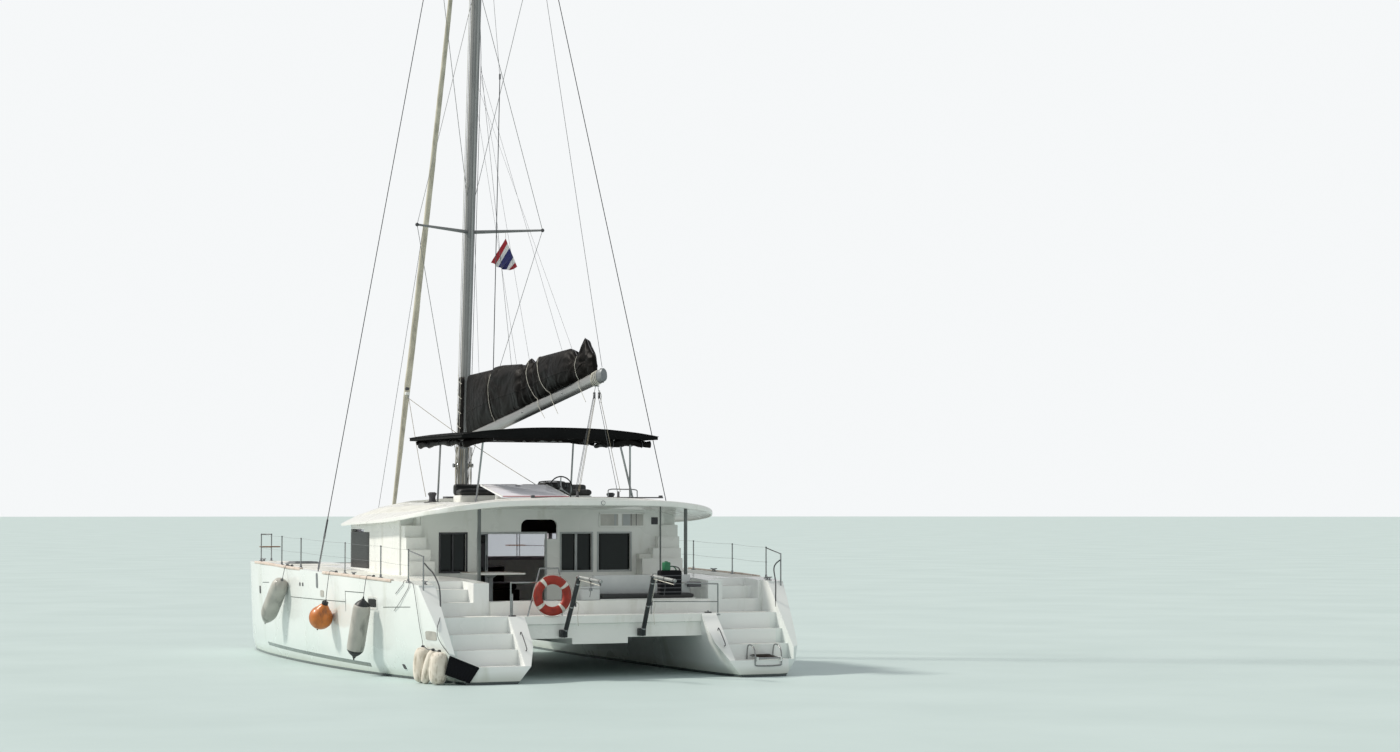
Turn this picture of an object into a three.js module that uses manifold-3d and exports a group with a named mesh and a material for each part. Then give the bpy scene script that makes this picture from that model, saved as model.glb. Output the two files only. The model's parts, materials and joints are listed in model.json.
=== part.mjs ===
// A 14 m cruising catamaran, afloat. Millimetres. +X is starboard, +Y is forward, +Z is up.
// The origin lies on the centreline at the waterline, halfway along the boat.
import * as THREE from "three";
import { mergeVertices } from "three/addons/utils/BufferGeometryUtils.js";
import Module from "manifold-3d";

const wasm = await Module();
wasm.setup();

// Driving dimensions of the whole boat
const BOW_Y = 6980;
const STERN_Y = -6980;
const KEEL_Z = -1300;
const MASTHEAD_Z = 21900;
const GAP = 0.3;

// Bridgedeck and cockpit
const BEAM_AFT_Y = -6150;
const BEAM_FACE_Y = -6080;
const LIP_Z = 1010;
const SILL_AFT_Y = -5600;
const SILL_FORE_Y = -5200;
const BULKHEAD_Y = -2600;
const CABIN_FRONT_Y = 2350;
const FOREDECK_Y = 3300;
const UNDERSIDE_Z = 740;
const FLOOR_Z = 1150;
const SILL_Z = 1400;
const FOREDECK_Z = 1900;
const COCKPIT_HALF = 2200;

// Roof and flybridge
const FLY_DECK_Z = 3215;
const ROOF_AFT_Y = -4880;

// Rig
const MAST_FOOT = [0, 2060, 3150];
const MAST_RAKE = 0.073;
const MAST_SECTION = { across: 95, along: 140 };
const GOOSENECK_Z = 4530;
const BOOM_LENGTH = 6640;
const BOOM_RISE = 9.5 * (Math.PI / 180);
const BOOM_SWING = 3.2 * (Math.PI / 180);
const HOUNDS_Z = 20600;
const WIRE = 6;

// Finishes, with the colour of each seen on the boat
const FINISH = {
  gelcoat: [0xf1f1ee, 0.3, 0],
  antifoul: [0x2c3440, 0.85, 0],
  glass: [0x10161a, 0.08, 0],
  alloy: [0xc9cac6, 0.4, 0.9],
  steel: [0xd2d4d6, 0.2, 1],
  bronze: [0x9a7b45, 0.4, 1],
  blackCloth: [0x121314, 0.9, 0],
  creamCloth: [0xd9d2bf, 0.85, 0],
  net: [0xe9e9e6, 0.9, 0],
  rubber: [0x17181a, 0.7, 0],
  buoyRed: [0xc4311c, 0.6, 0],
  orange: [0xd95f22, 0.5, 0],
  fenderGrey: [0x8d9aa0, 0.6, 0],
  fenderCream: [0xd8cda8, 0.6, 0],
  plastic: [0x1b1c1e, 0.5, 0],
  flagCloth: [0xb53a3a, 0.9, 0],
};

const rad = (degrees) => (degrees * Math.PI) / 180;
const lerp = (a, b, t) => a + (b - a) * t;

// Solids: a closed geometry becomes one that can be joined and cut
function solid(geometry) {
  const bare = geometry.clone();
  bare.deleteAttribute("normal");
  bare.deleteAttribute("uv");
  const merged = mergeVertices(bare, 1e-3);
  return new wasm.Manifold(
    new wasm.Mesh({
      numProp: 3,
      vertProperties: merged.attributes.position.array,
      triVerts: new Uint32Array(merged.index.array),
    })
  );
}

const joined = (solids) => solids.reduce((sum, next) => sum.add(next));

const cut = (body, ...tools) => tools.reduce((rest, tool) => rest.subtract(tool), body);

// The largest body that a cut leaves, without its crumbs
function largest(body) {
  const bodies = body.decompose();
  return bodies.reduce((best, next) => (next.volume() > best.volume() ? next : best));
}

// A neighbour grown by the seat gap along one direction, to cut with
const grown = (body, dx, dy, dz) => body.add(body.translate([dx * GAP, dy * GAP, dz * GAP]));

const group = new THREE.Group();

function addNode(name, body, finish) {
  const mesh = body.getMesh();
  const position = new Float32Array(mesh.numVert * 3);
  for (let i = 0; i < mesh.numVert; i += 1) {
    position.set(mesh.vertProperties.subarray(i * mesh.numProp, i * mesh.numProp + 3), i * 3);
  }
  const geometry = new THREE.BufferGeometry();
  geometry.setAttribute("position", new THREE.BufferAttribute(position, 3));
  geometry.setIndex(new THREE.BufferAttribute(mesh.triVerts, 1));
  const [color, roughness, metalness] = FINISH[finish];
  const node = new THREE.Mesh(
    geometry,
    new THREE.MeshStandardMaterial({ color, roughness, metalness, flatShading: true })
  );
  node.name = name;
  group.add(node);
}

// Basic shapes
function box(x0, x1, y0, y1, z0, z1) {
  const shape = new THREE.BoxGeometry(x1 - x0, y1 - y0, z1 - z0);
  shape.translate((x0 + x1) / 2, (y0 + y1) / 2, (z0 + z1) / 2);
  return solid(shape);
}

function outlineShape(points) {
  return new THREE.Shape(points.map(([u, v]) => new THREE.Vector2(u, v)));
}

// A plan outline (x, y) raised from z0 to z1
function plate(points, z0, z1) {
  const shape = new THREE.ExtrudeGeometry(outlineShape(points), {
    depth: z1 - z0,
    bevelEnabled: false,
  });
  shape.translate(0, 0, z0);
  return solid(shape);
}

// A side outline (y, z) carried across from x0 to x1
function profileAcross(points, x0, x1) {
  const shape = new THREE.ExtrudeGeometry(outlineShape(points), {
    depth: x1 - x0,
    bevelEnabled: false,
  });
  shape.applyMatrix4(new THREE.Matrix4().set(0, 0, 1, x0, 1, 0, 0, 0, 0, 1, 0, 0, 0, 0, 0, 1));
  return solid(shape);
}

// A round bar between two points, with another radius at its far end if given
function rod(from, to, radius, sides = 8, endRadius = radius) {
  const a = new THREE.Vector3(...from);
  const b = new THREE.Vector3(...to);
  const along = b.clone().sub(a);
  const shape = new THREE.CylinderGeometry(endRadius, radius, along.length(), sides);
  const turn = new THREE.Quaternion().setFromUnitVectors(
    new THREE.Vector3(0, 1, 0),
    along.clone().normalize()
  );
  shape.applyQuaternion(turn);
  const middle = a.add(b).multiplyScalar(0.5);
  shape.translate(middle.x, middle.y, middle.z);
  return solid(shape);
}

// A bent bar through a list of points, with a ball at each bend
function bentBar(points, radius, sides = 8) {
  const pieces = [];
  for (let i = 1; i < points.length; i += 1) {
    pieces.push(rod(points[i - 1], points[i], radius, sides));
    if (i < points.length - 1) pieces.push(ball(points[i], radius * 1.02, sides, 5));
  }
  return joined(pieces);
}

function ball(centre, radius, around = 12, down = 8) {
  const shape = new THREE.SphereGeometry(radius, around, down);
  shape.translate(...centre);
  return solid(shape);
}

// A turned piece round the line between two points: a profile of [radius, share of the length],
// which starts and ends on the line
function turned(profile, from, to, sides = 14) {
  const a = new THREE.Vector3(...from);
  const along = new THREE.Vector3(...to).sub(a);
  const shape = new THREE.LatheGeometry(
    profile.map(([r, share]) => new THREE.Vector2(r, share * along.length())),
    sides
  );
  const up = new THREE.Vector3(0, 1, 0);
  shape.applyQuaternion(new THREE.Quaternion().setFromUnitVectors(up, along.normalize()));
  shape.translate(a.x, a.y, a.z);
  return solid(shape);
}

// A loft through rings of equal length, capped by a fan at both ends
function loft(rings) {
  const count = rings[0].length;
  const points = rings.flat();
  const faces = [];
  for (let r = 0; r + 1 < rings.length; r += 1) {
    for (let k = 0; k < count; k += 1) {
      const a = r * count + k;
      const b = r * count + ((k + 1) % count);
      faces.push(a, b, a + count, b, b + count, a + count);
    }
  }
  for (const [r, flip] of [
    [0, false],
    [rings.length - 1, true],
  ]) {
    const ring = rings[r];
    const centre = [0, 1, 2].map((axis) => ring.reduce((sum, p) => sum + p[axis], 0) / count);
    const hub = points.push(centre) - 1;
    for (let k = 0; k < count; k += 1) {
      const a = r * count + k;
      const b = r * count + ((k + 1) % count);
      if (flip) faces.push(a, b, hub);
      else faces.push(b, a, hub);
    }
  }
  const geometry = new THREE.BufferGeometry();
  geometry.setAttribute("position", new THREE.BufferAttribute(new Float32Array(points.flat()), 3));
  geometry.setIndex(faces);
  let made = solid(geometry);
  if (made.volume() < 0) {
    for (let i = 0; i < faces.length; i += 3) faces.splice(i, 3, faces[i], faces[i + 2], faces[i + 1]);
    geometry.setIndex(faces);
    made = solid(geometry);
  }
  return made;
}

// Rows of a table in between its rows, on a smooth curve through every column
function smoothRows(table, steps) {
  const columns = table[0].length;
  const rows = [];
  for (let i = 0; i + 1 < table.length; i += 1) {
    const [p0, p1, p2, p3] = [-1, 0, 1, 2].map(
      (k) => table[Math.min(Math.max(i + k, 0), table.length - 1)]
    );
    for (let s = 0; s < steps; s += 1) {
      const t = s / steps;
      const row = [];
      for (let c = 0; c < columns; c += 1) {
        const m1 = ((p2[c] - p0[c]) * (p2[0] - p1[0])) / (p2[0] - p0[0] || 1);
        const m2 = ((p3[c] - p1[c]) * (p2[0] - p1[0])) / (p3[0] - p1[0] || 1);
        const [t2, t3] = [t * t, t * t * t];
        row.push(
          c === 0
            ? lerp(p1[0], p2[0], t)
            : (2 * t3 - 3 * t2 + 1) * p1[c] +
                (t3 - 2 * t2 + t) * m1 +
                (3 * t2 - 2 * t3) * p2[c] +
                (t3 - t2) * m2
        );
      }
      rows.push(row);
    }
  }
  rows.push(table[table.length - 1]);
  return rows;
}

// Hulls. Columns: y, outer gunwale x, inner deck edge x, sheer z, waterline outer x and
// inner x, depth of the canoe body, rake of the stem in mm for each metre of height.
const HULL_TABLE = [
  [BOW_Y, 3155, 3075, 1930, 3080, 3035, 260, 73],
  [6500, 3330, 2880, 1937, 3200, 2905, 400, 40],
  [5500, 3560, 2540, 1943, 3370, 2690, 490, 0],
  [4000, 3760, 2270, 1943, 3560, 2450, 560, 0],
  [1500, 3925, 2130, 1900, 3720, 2270, 600, 0],
  [-1000, 3935, 2030, 1850, 3740, 2200, 600, 0],
  [-3500, 3840, 1930, 1805, 3620, 2120, 520, 0],
  [-5000, 3710, 1830, 1765, 3420, 2090, 370, 0],
  [-6100, 3610, 1765, 1700, 3240, 2120, 180, 0],
  [STERN_Y, 3520, 1740, 1650, 3120, 2200, 30, 0],
];
const WALL_Z = [1480, 1040, 640, 300];

function hullRing([y, gunwale, deckEdge, sheer, outer, inner, depth, rake]) {
  const centre = (outer + inner) / 2;
  const half = (outer - inner) / 2;
  const at = (x, z) => [x, y - (rake * (sheer - z)) / 1000, z];
  const ring = [at(gunwale, sheer)];
  for (const z of WALL_Z) ring.push(at(lerp(outer, gunwale, Math.pow(z / sheer, 0.3)), z));
  for (let step = 0; step <= 8; step += 1) {
    const angle = (step / 8) * Math.PI;
    ring.push(at(centre + half * Math.cos(angle), -depth * Math.pow(Math.sin(angle), 0.8)));
  }
  for (const z of [...WALL_Z].reverse()) {
    ring.push(at(lerp(inner, deckEdge, Math.min(1, Math.pow(z / UNDERSIDE_Z, 0.7))), z));
  }
  ring.push(at(deckEdge, sheer));
  return ring;
}

const RUDDER = { x: 2640, y: -5750, bearing: -300, top: -330, foot: -1150 };
const DOOR_POCKET = { half: 2560, depth: 180 };
const CHANNEL = { inner: 2060, outer: 3330, upperInner: 2500, upperOuter: 3250 };
// Columns: y where the tread ends forward, tread z
const TREADS = [
  [-6600, 310],
  [-6350, 587],
  [-6100, 856],
  [-5500, FLOOR_Z],
];
const UPPER_TREADS = [
  [-5200, 1390],
  [-4900, 1620],
];

// Plan of the stern's outer corner, which is cut off at a slant
const CORNER = { outer: [3430, -6800], inner: [2930, -6985] };
function cornerCut() {
  const [ox, oy] = CORNER.outer;
  const [ix, iy] = CORNER.inner;
  const slope = (oy - iy) / (ox - ix);
  const farX = 4300;
  const plan = [
    [ix, iy],
    [farX, iy + slope * (farX - ix)],
    [farX, -7300],
    [ix, -7300],
  ];
  return plate(plan, -700, 2600);
}

function stepCut(treads, startY, x0, x1) {
  const top = 2600;
  const points = [[startY, top]];
  let y = startY;
  for (const [endY, z] of treads) {
    points.push([y, z], [endY, z]);
    y = endY;
  }
  points.push([y, top]);
  return profileAcross(points, x0, x1);
}

function hull() {
  const body = loft(smoothRows(HULL_TABLE, 3).map(hullRing));
  const outerSlope = profileAcross(
    [
      [-5780, 1700],
      [-7100, 230],
      [-7100, 2600],
      [-5780, 2600],
    ],
    CHANNEL.outer - 40,
    4200
  );
  const innerSlope = profileAcross(
    [
      [BEAM_AFT_Y, FLOOR_Z],
      [-7100, 190],
      [-7100, 2600],
      [-5500, 2600],
      [-5500, FLOOR_Z],
    ],
    1400,
    CHANNEL.inner + 40
  );
  const bearing = rod([RUDDER.x, RUDDER.y, RUDDER.bearing], [RUDDER.x, RUDDER.y, 0], 60, 12);
  return largest(
    cut(
      body.add(bearing),
      outerSlope,
      innerSlope,
      cornerCut(),
      stepCut(TREADS, -7200, CHANNEL.inner, CHANNEL.outer),
      stepCut(UPPER_TREADS, -5500, CHANNEL.upperInner, CHANNEL.upperOuter),
      box(1400, COCKPIT_HALF, SILL_AFT_Y, BULKHEAD_Y, FLOOR_Z, 2600),
      box(1400, DOOR_POCKET.half, BULKHEAD_Y - 1, BULKHEAD_Y + DOOR_POCKET.depth, FLOOR_Z, 2600)
    )
  );
}

const mirrored = (body) => body.mirror([1, 0, 0]);

// Ladder pin, held between two lugs on the starboard stern
const LADDER = { x0: 2500, x1: 2960, y: -7025, z: 345 };
function ladderLugs() {
  return joined(
    [LADDER.x0 - 20, LADDER.x1].map((x) =>
      box(x, x + 20, LADDER.y - 20, STERN_Y + 40, LADDER.z - 60, LADDER.z + 20)
    )
  );
}

const hullHalf = hull();
const hullStarboard = hullHalf.add(ladderLugs());
const hullPort = mirrored(hullHalf);
addNode("hull_starboard", hullStarboard, "gelcoat");
addNode("hull_port", hullPort, "gelcoat");

// Both hulls, grown by the seat gap to the sides, up and down, for all that stands on them
const hullsGrown = joined([
  grown(hullStarboard, -1, 0, 1),
  grown(hullPort, 1, 0, 1),
  grown(hullStarboard, 1, 0, -1),
  grown(hullPort, -1, 0, -1),
]);
const onHulls = (body) => largest(cut(body, hullsGrown));

// Height of a hull's deck at y
function deckZ(y) {
  const rows = smoothRows(HULL_TABLE, 3);
  for (let i = 0; i + 1 < rows.length; i += 1) {
    if (y <= rows[i][0] && y >= rows[i + 1][0]) {
      return lerp(rows[i][3], rows[i + 1][3], (rows[i][0] - y) / (rows[i][0] - rows[i + 1][0]));
    }
  }
  return HULL_TABLE[0][3];
}

// Keels with a flat shoe, spade rudders and sail drives, all under the hulls
const HULL_CENTRE = 2960;
function foil(x, topY, topZ, topChord, lowY, lowZ, lowChord, thick) {
  const ring = (y, z, chord) => {
    const points = [];
    for (let k = 0; k < 14; k += 1) {
      const angle = (k / 14) * Math.PI * 2;
      const along = Math.cos(angle);
      const taper = 0.62 + 0.38 * along;
      points.push([x + thick * 0.5 * Math.sin(angle) * taper, y + (chord / 2) * along, z]);
    }
    return points;
  };
  return loft([ring(topY, topZ, topChord), ring(lowY, lowZ, lowChord)]);
}

function keel() {
  return onHulls(foil(HULL_CENTRE, 600, -300, 2500, 500, KEEL_Z, 1900, 300));
}

function rudder() {
  const blade = foil(RUDDER.x, RUDDER.y - 110, RUDDER.top, 560, RUDDER.y - 90, RUDDER.foot, 440, 80);
  const onAxis = (z) => [RUDDER.x, RUDDER.y, z];
  const stock = rod(onAxis(RUDDER.top - 50), onAxis(RUDDER.bearing - GAP), 32, 12);
  return blade.add(stock);
}

const DRIVE = { x: 2800, y: -4150, z: -700 };
function sailDrive() {
  const leg = foil(DRIVE.x, DRIVE.y + 60, -250, 300, DRIVE.y + 40, DRIVE.z - 40, 240, 110);
  const pod = turned(
    [
      [0, 0],
      [50, 0.13],
      [75, 0.44],
      [70, 0.76],
      [48, 1],
      [0, 1],
    ],
    [DRIVE.x, DRIVE.y + 260, DRIVE.z],
    [DRIVE.x, DRIVE.y - 190, DRIVE.z],
    12
  );
  return onHulls(joined([leg, pod]));
}

const PROP = { y: DRIVE.y - 190.5, radius: 230 };
function propeller() {
  const hub = rod([DRIVE.x, PROP.y - 100, DRIVE.z], [DRIVE.x, PROP.y, DRIVE.z], 40, 12);
  const blades = [0, 1, 2].map((index) => {
    const blade = new THREE.BoxGeometry(90, 14, PROP.radius - 20);
    blade.translate(0, 0, (PROP.radius - 20) / 2 + 20);
    const twist = new THREE.Matrix4().makeRotationZ(0.6);
    blade.applyMatrix4(twist);
    blade.rotateY(rad(index * 120));
    blade.translate(DRIVE.x, PROP.y - 50, DRIVE.z);
    return solid(blade);
  });
  return joined([hub, ...blades]);
}

for (const [side, turn] of [
  ["starboard", (body) => body],
  ["port", mirrored],
]) {
  addNode(`keel_${side}`, turn(keel()), "antifoul");
  addNode(`rudder_${side}`, turn(rudder()), "antifoul");
  addNode(`saildrive_${side}`, turn(sailDrive()), "alloy");
  addNode(`propeller_${side}`, turn(propeller()), "bronze");
}

// Bridgedeck: saloon and cockpit floor, aft beam with its sill, foredeck and the pod under it
function bridgedeck() {
  const floor = profileAcross(
    [
      [BEAM_AFT_Y, FLOOR_Z - GAP],
      [BEAM_AFT_Y, LIP_Z],
      [BEAM_FACE_Y, LIP_Z - 20],
      [BEAM_FACE_Y, UNDERSIDE_Z],
      [CABIN_FRONT_Y + 200, UNDERSIDE_Z],
      [CABIN_FRONT_Y + 200, FLOOR_Z - GAP],
    ],
    -2400,
    2400
  );
  const sill = box(-COCKPIT_HALF + 1, COCKPIT_HALF - 1, SILL_AFT_Y, SILL_FORE_Y, 900, SILL_Z);
  const foredeck = profileAcross(
    [
      [CABIN_FRONT_Y, UNDERSIDE_Z],
      [FOREDECK_Y - 500, UNDERSIDE_Z + 60],
      [FOREDECK_Y - 80, 1150],
      [FOREDECK_Y, 1500],
      [FOREDECK_Y, FOREDECK_Z],
      [CABIN_FRONT_Y, FOREDECK_Z],
    ],
    -2400,
    2400
  );
  const pod = box(-800, 300, BEAM_FACE_Y, BULKHEAD_Y, 630, UNDERSIDE_Z + 20);
  return onHulls(joined([floor, sill, foredeck, pod]));
}
const deckBridge = bridgedeck();
addNode("bridgedeck", deckBridge, "gelcoat");

// Roof. Columns: y, half width, edge z, crown z, underside z
const ROOF_TABLE = [
  [2500, 700, 3040, 3190, 2990],
  [2150, 2020, 2880, 3240, 3000],
  [1500, 2820, 2745, 3290, 3030],
  [0, 3080, 2770, 3330, 3065],
  [-2000, 3130, 2825, 3340, 3075],
  [-3000, 3125, 2870, 3340, 3090],
  [-3700, 3080, 2930, 3335, 3120],
  [-4250, 2860, 3000, 3320, 3150],
  [-4700, 2360, 3080, 3305, 3175],
  [ROOF_AFT_Y, 1500, 3160, 3295, 3190],
];
const ROOF_STEPS = 12;

function roofRing([y, half, edge, crown, under]) {
  const top = [];
  const low = [];
  for (let k = 0; k <= ROOF_STEPS; k += 1) {
    const u = Math.sin(((k / ROOF_STEPS) * 2 - 1) * (Math.PI / 2));
    const x = half * u;
    const rise = 1 - Math.pow(Math.abs(u), 3.2);
    const flat = 1 - Math.pow(Math.abs(u), 7);
    top.push([x, y, lerp(edge + 35, crown, rise)]);
    low.push([x, y, lerp(edge, under, flat)]);
  }
  return [...top, ...low.reverse()];
}

const FLY_STAIR = { x0: 1260, x1: 2420, y0: -3950, y1: -2750 };
function hardtop() {
  const shell = loft(smoothRows(ROOF_TABLE, 2).map(roofRing));
  const well = box(-2150, 2150, -4350, 900, FLY_DECK_Z, 3600);
  const stair = box(FLY_STAIR.x0, 2150 - 60, FLY_STAIR.y0, FLY_STAIR.y1, 2500, 3600);
  return cut(shell, well, stair);
}
const roof = hardtop();
addNode("hardtop", roof, "gelcoat");
const roofGrown = grown(roof, 0, 0, -1);
const roofGrownUp = grown(roof, 0, 0, 1);

// Cabin sides and front: one wall that follows a plan outline, with its windows cut
const CABIN_WALL = 80;
// Columns: x, y of the wall's outside, from the port aft end round the front; mirrored to starboard
const CABIN_AFT_Y = -2450;
const CABIN_PLAN = [
  [-2890, CABIN_AFT_Y],
  [-2880, -1500],
  [-2840, -300],
  [-2760, 1000],
  [-2560, 1650],
  [-2080, 2060],
  [-1200, 2250],
  [0, 2300],
];
function cabinOutline(inset) {
  const half = CABIN_PLAN.map(([x, y]) => [x + Math.sign(-x) * inset, y - (y > 1200 ? inset : 0)]);
  const other = half
    .slice(0, -1)
    .reverse()
    .map(([x, y]) => [-x, y]);
  return [...half, ...other].reverse();
}

function cabinShell() {
  const outside = plate(cabinOutline(0), FLOOR_Z + GAP, 3400);
  const room = plate(cabinOutline(CABIN_WALL), FLOOR_Z - 50, 3500);
  const openAft = box(-2500, 2500, -3500, BULKHEAD_Y, FLOOR_Z - 100, 3500);
  // Closes each side's aft end, and runs aft to the bulkhead's edge
  const returns = joined([
    box(2520, 2889, CABIN_AFT_Y, CABIN_AFT_Y + 80, 1700, 3400),
    box(2520, 2600, BULKHEAD_Y, CABIN_AFT_Y + 80, 1700, 3400),
  ]);
  const front = box(-1950, 1950, 1500, 2600, 2080, 2760);
  const frontCorner = box(2020, 2700, 1180, 2400, 2080, 2700);
  const sideWindow = box(2500, 3100, -50, 1100, 2040, 2680);
  const corners = [frontCorner, sideWindow].flatMap((tool) => [tool, mirrored(tool)]);
  const walls = cut(outside, room, openAft, front, ...corners);
  const foredeckGrown = grown(deckBridge, 0, -1, 1);
  return largest(cut(walls.add(returns).add(mirrored(returns)), hullsGrown, foredeckGrown, roofGrown));
}
const cabin = cabinShell();
addNode("cabin_shell", cabin, "gelcoat");

// Glass band inside the cabin wall, whole round the front and both sides
function cabinGlass() {
  const outer = plate(cabinOutline(CABIN_WALL + GAP + 0.1), 2000, 2790);
  const inner = plate(cabinOutline(CABIN_WALL + 12), 1900, 2900);
  return largest(cut(outer, inner, box(-3000, 3000, -3600, -300, 1800, 3000)));
}
addNode("cabin_glass", cabinGlass(), "glass");

// Aft bulkhead with its window and door openings
const BULKHEAD = { y0: BULKHEAD_Y + 1, y1: BULKHEAD_Y + 60, half: 2515 };
const DOOR = { x0: -1340, x1: 50, top: 2610 };
// Columns: x0, x1 of each window
const AFT_WINDOWS = [
  [-2120, -1590],
  [380, 1030],
  [1170, 1860],
];
function aftBulkhead() {
  const panel = box(-BULKHEAD.half, BULKHEAD.half, BULKHEAD.y0, BULKHEAD.y1, FLOOR_Z, 3400);
  const windows = AFT_WINDOWS.map(([x0, x1]) => box(x0, x1, -2700, -2400, 1880, DOOR.top));
  const doorway = box(DOOR.x0, DOOR.x1, -2700, -2400, FLOOR_Z - 50, DOOR.top);
  const arch = box(-460, 300, -2700, -2400, 2500, 2880);
  return largest(cut(panel, ...windows, doorway, arch, hullsGrown, roofGrown));
}
addNode("aft_bulkhead", aftBulkhead(), "gelcoat");

const AFT_GLASS = { y0: BULKHEAD.y1 + GAP, y1: BULKHEAD.y1 + 9 };
addNode("aft_glass_port", box(-2160, -1560, AFT_GLASS.y0, AFT_GLASS.y1, 1840, 2650), "glass");
addNode("aft_glass_starboard", box(340, 1900, AFT_GLASS.y0, AFT_GLASS.y1, 1840, 2650), "glass");

// Sliding door leaf, stowed open to port inside the bulkhead
function saloonDoor() {
  const [x0, x1, y0, y1] = [-2510, -1110, AFT_GLASS.y1 + 12, AFT_GLASS.y1 + 47];
  const rollers = [x0 + 150, x1 - 150].map((x) =>
    rod([x, y0 + 5, FLOOR_Z + 14], [x, y1 - 5, FLOOR_Z + 14], 13.7, 12)
  );
  return joined([box(x0, x1, y0, y1, FLOOR_Z + 10, DOOR.top + 30), ...rollers]);
}
addNode("saloon_door", saloonDoor(), "glass");

// Sofa round the front of the saloon, seen through the windows
function saloonSofa() {
  const seat = box(-1900, 900, 900, 1900, FLOOR_Z, 1560);
  const back = box(-1900, 900, 1650, 1900, 1500, 1930);
  return onHulls(cut(joined([seat, back]), grown(cabin, 0, -1, 0), grown(deckBridge, 0, 0, 1)));
}
addNode("saloon_sofa", saloonSofa(), "blackCloth");

// Mast post under the roof, from the saloon floor
addNode(
  "mast_post",
  largest(cut(rod([0, 2080, FLOOR_Z + GAP], [0, 2080, 3300], 55, 12), roofGrown)),
  "alloy"
);

// Roof posts at the back of the cockpit
for (const [side, x] of [
  ["port", -2100],
  ["starboard", 2100],
]) {
  const post = rod([x, -4700, FLOOR_Z], [x, -4700, 3300], 34, 10);
  addNode(`roof_post_${side}`, onHulls(cut(post, roofGrown, grown(deckBridge, 0, 0, 1))), "alloy");
}

// Moulded stairs to the flybridge, at the cabin's aft corners
// Columns: inner x, outer x, aft y and top of each tread
const STAIR_STARBOARD = [
  [1950, 2519, -3450, 1480],
  [1950, 2519, -3200, 1800],
  [1985, 2860, -2900, 2110],
  [2250, 2860, -2820, 2310],
  [2400, 2860, -2740, 2540],
  [2500, 2860, -2660, 2770],
];
const STAIR_PORT = [
  [2350, 2860, -2950, 2090],
  [2400, 2860, -2870, 2310],
  [2460, 2860, -2770, 2540],
  [2520, 2860, -2670, 2770],
];
function flyStair(treads) {
  const steps = treads.map(([x0, x1, y, top]) => box(x0, x1, y, CABIN_AFT_Y - 2, FLOOR_Z, top));
  const curb = box(treads[0][0] + 40, 2480, -2740, -2606, FLOOR_Z, 2200);
  // Clears the bulkhead and the cabin wall's end
  const wallEnd = box(1500, 2603, BULKHEAD_Y - 3, 0, 1000, 3400);
  return cut(joined([...steps, curb]), wallEnd, grown(deckBridge, 0, 0, 1));
}
addNode("fly_stair", onHulls(flyStair(STAIR_STARBOARD)), "gelcoat");
addNode("fly_stair_port", onHulls(mirrored(flyStair(STAIR_PORT))), "gelcoat");

// Cockpit furniture
function cockpitTable() {
  const top = box(-1950, -950, -4200, -3150, 1850, 1885);
  const leg = rod([-1500, -3700, FLOOR_Z], [-1500, -3700, 1860], 50, 12);
  const foot = rod([-1500, -3700, FLOOR_Z], [-1500, -3700, FLOOR_Z + 20], 150, 16);
  return joined([top, leg, foot]);
}
addNode("cockpit_table", cockpitTable(), "gelcoat");

function cockpitSettee() {
  const side = box(-2190, -1700, -2950, -2605, FLOOR_Z, 1580);
  const across = box(-2190, -1380, -3050, -2605, FLOOR_Z, 1580);
  return joined([side, across]);
}
addNode("cockpit_settee", cockpitSettee(), "blackCloth");

function aftBench() {
  const seat = box(-50, 1930, -5560, -5150, SILL_Z + GAP, 1480);
  const back = box(-50, 1930, -5300, -5150, 1470, 1850);
  const locker = box(-430, -30, -5580, -5180, SILL_Z + GAP, 1650);
  return joined([seat, back, locker]);
}
addNode("aft_bench", aftBench(), "gelcoat");

// Flybridge: lounge seat, sloping table panel, helm console and wheel
addNode("fly_seat", box(-850, 2100, -150, 350, FLY_DECK_Z + GAP, 3610), "blackCloth");

const PANEL = { x0: -1500, x1: -120, aftY: -4300, foreY: -3100, aftZ: 3320, foreZ: 3555, thick: 30 };
function flyPanel() {
  const { x0, x1, aftY, foreY, aftZ, foreZ, thick } = PANEL;
  const legs = box(x0 + 150, x1 - 150, -3500, -3380, FLY_DECK_Z + GAP, 3480);
  const top = profileAcross(
    [
      [aftY, aftZ - thick],
      [foreY, foreZ - thick],
      [foreY, foreZ],
      [aftY, aftZ],
    ],
    x0,
    x1
  );
  return joined([legs, top]);
}
addNode("fly_panel", flyPanel(), "gelcoat");

const WHEEL = { x: 1020, y: -1000, z: 3490, radius: 250 };
const CONSOLE_Y = WHEEL.y + 135;
addNode(
  "helm_console",
  box(WHEEL.x - 300, WHEEL.x + 300, CONSOLE_Y, CONSOLE_Y + 460, FLY_DECK_Z + GAP, 3640),
  "gelcoat"
);

function helmWheel() {
  const rim = new THREE.TorusGeometry(WHEEL.radius, 14, 6, 24);
  rim.rotateX(Math.PI / 2);
  rim.translate(WHEEL.x, WHEEL.y, WHEEL.z);
  const hub = rod([WHEEL.x, WHEEL.y - 20, WHEEL.z], [WHEEL.x, CONSOLE_Y - GAP, WHEEL.z], 35, 10);
  const spokes = [0, 1, 2].map((index) => {
    const angle = rad(90 + index * 120);
    const tip = [
      WHEEL.x + WHEEL.radius * Math.cos(angle),
      WHEEL.y,
      WHEEL.z + WHEEL.radius * Math.sin(angle),
    ];
    return rod([WHEEL.x, WHEEL.y, WHEEL.z], tip, 9, 6);
  });
  return joined([solid(rim), hub, ...spokes]);
}
addNode("helm_wheel", helmWheel(), "steel");

// Bimini: posts, bows between their tops and a crowned canopy
const BIMINI = { half: 2030, foreY: -500, aftY: -3550, barTop: 4490, edgeZ: 4480, crownZ: 4650 };
const BOW_Z = BIMINI.barTop - 20;
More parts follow.
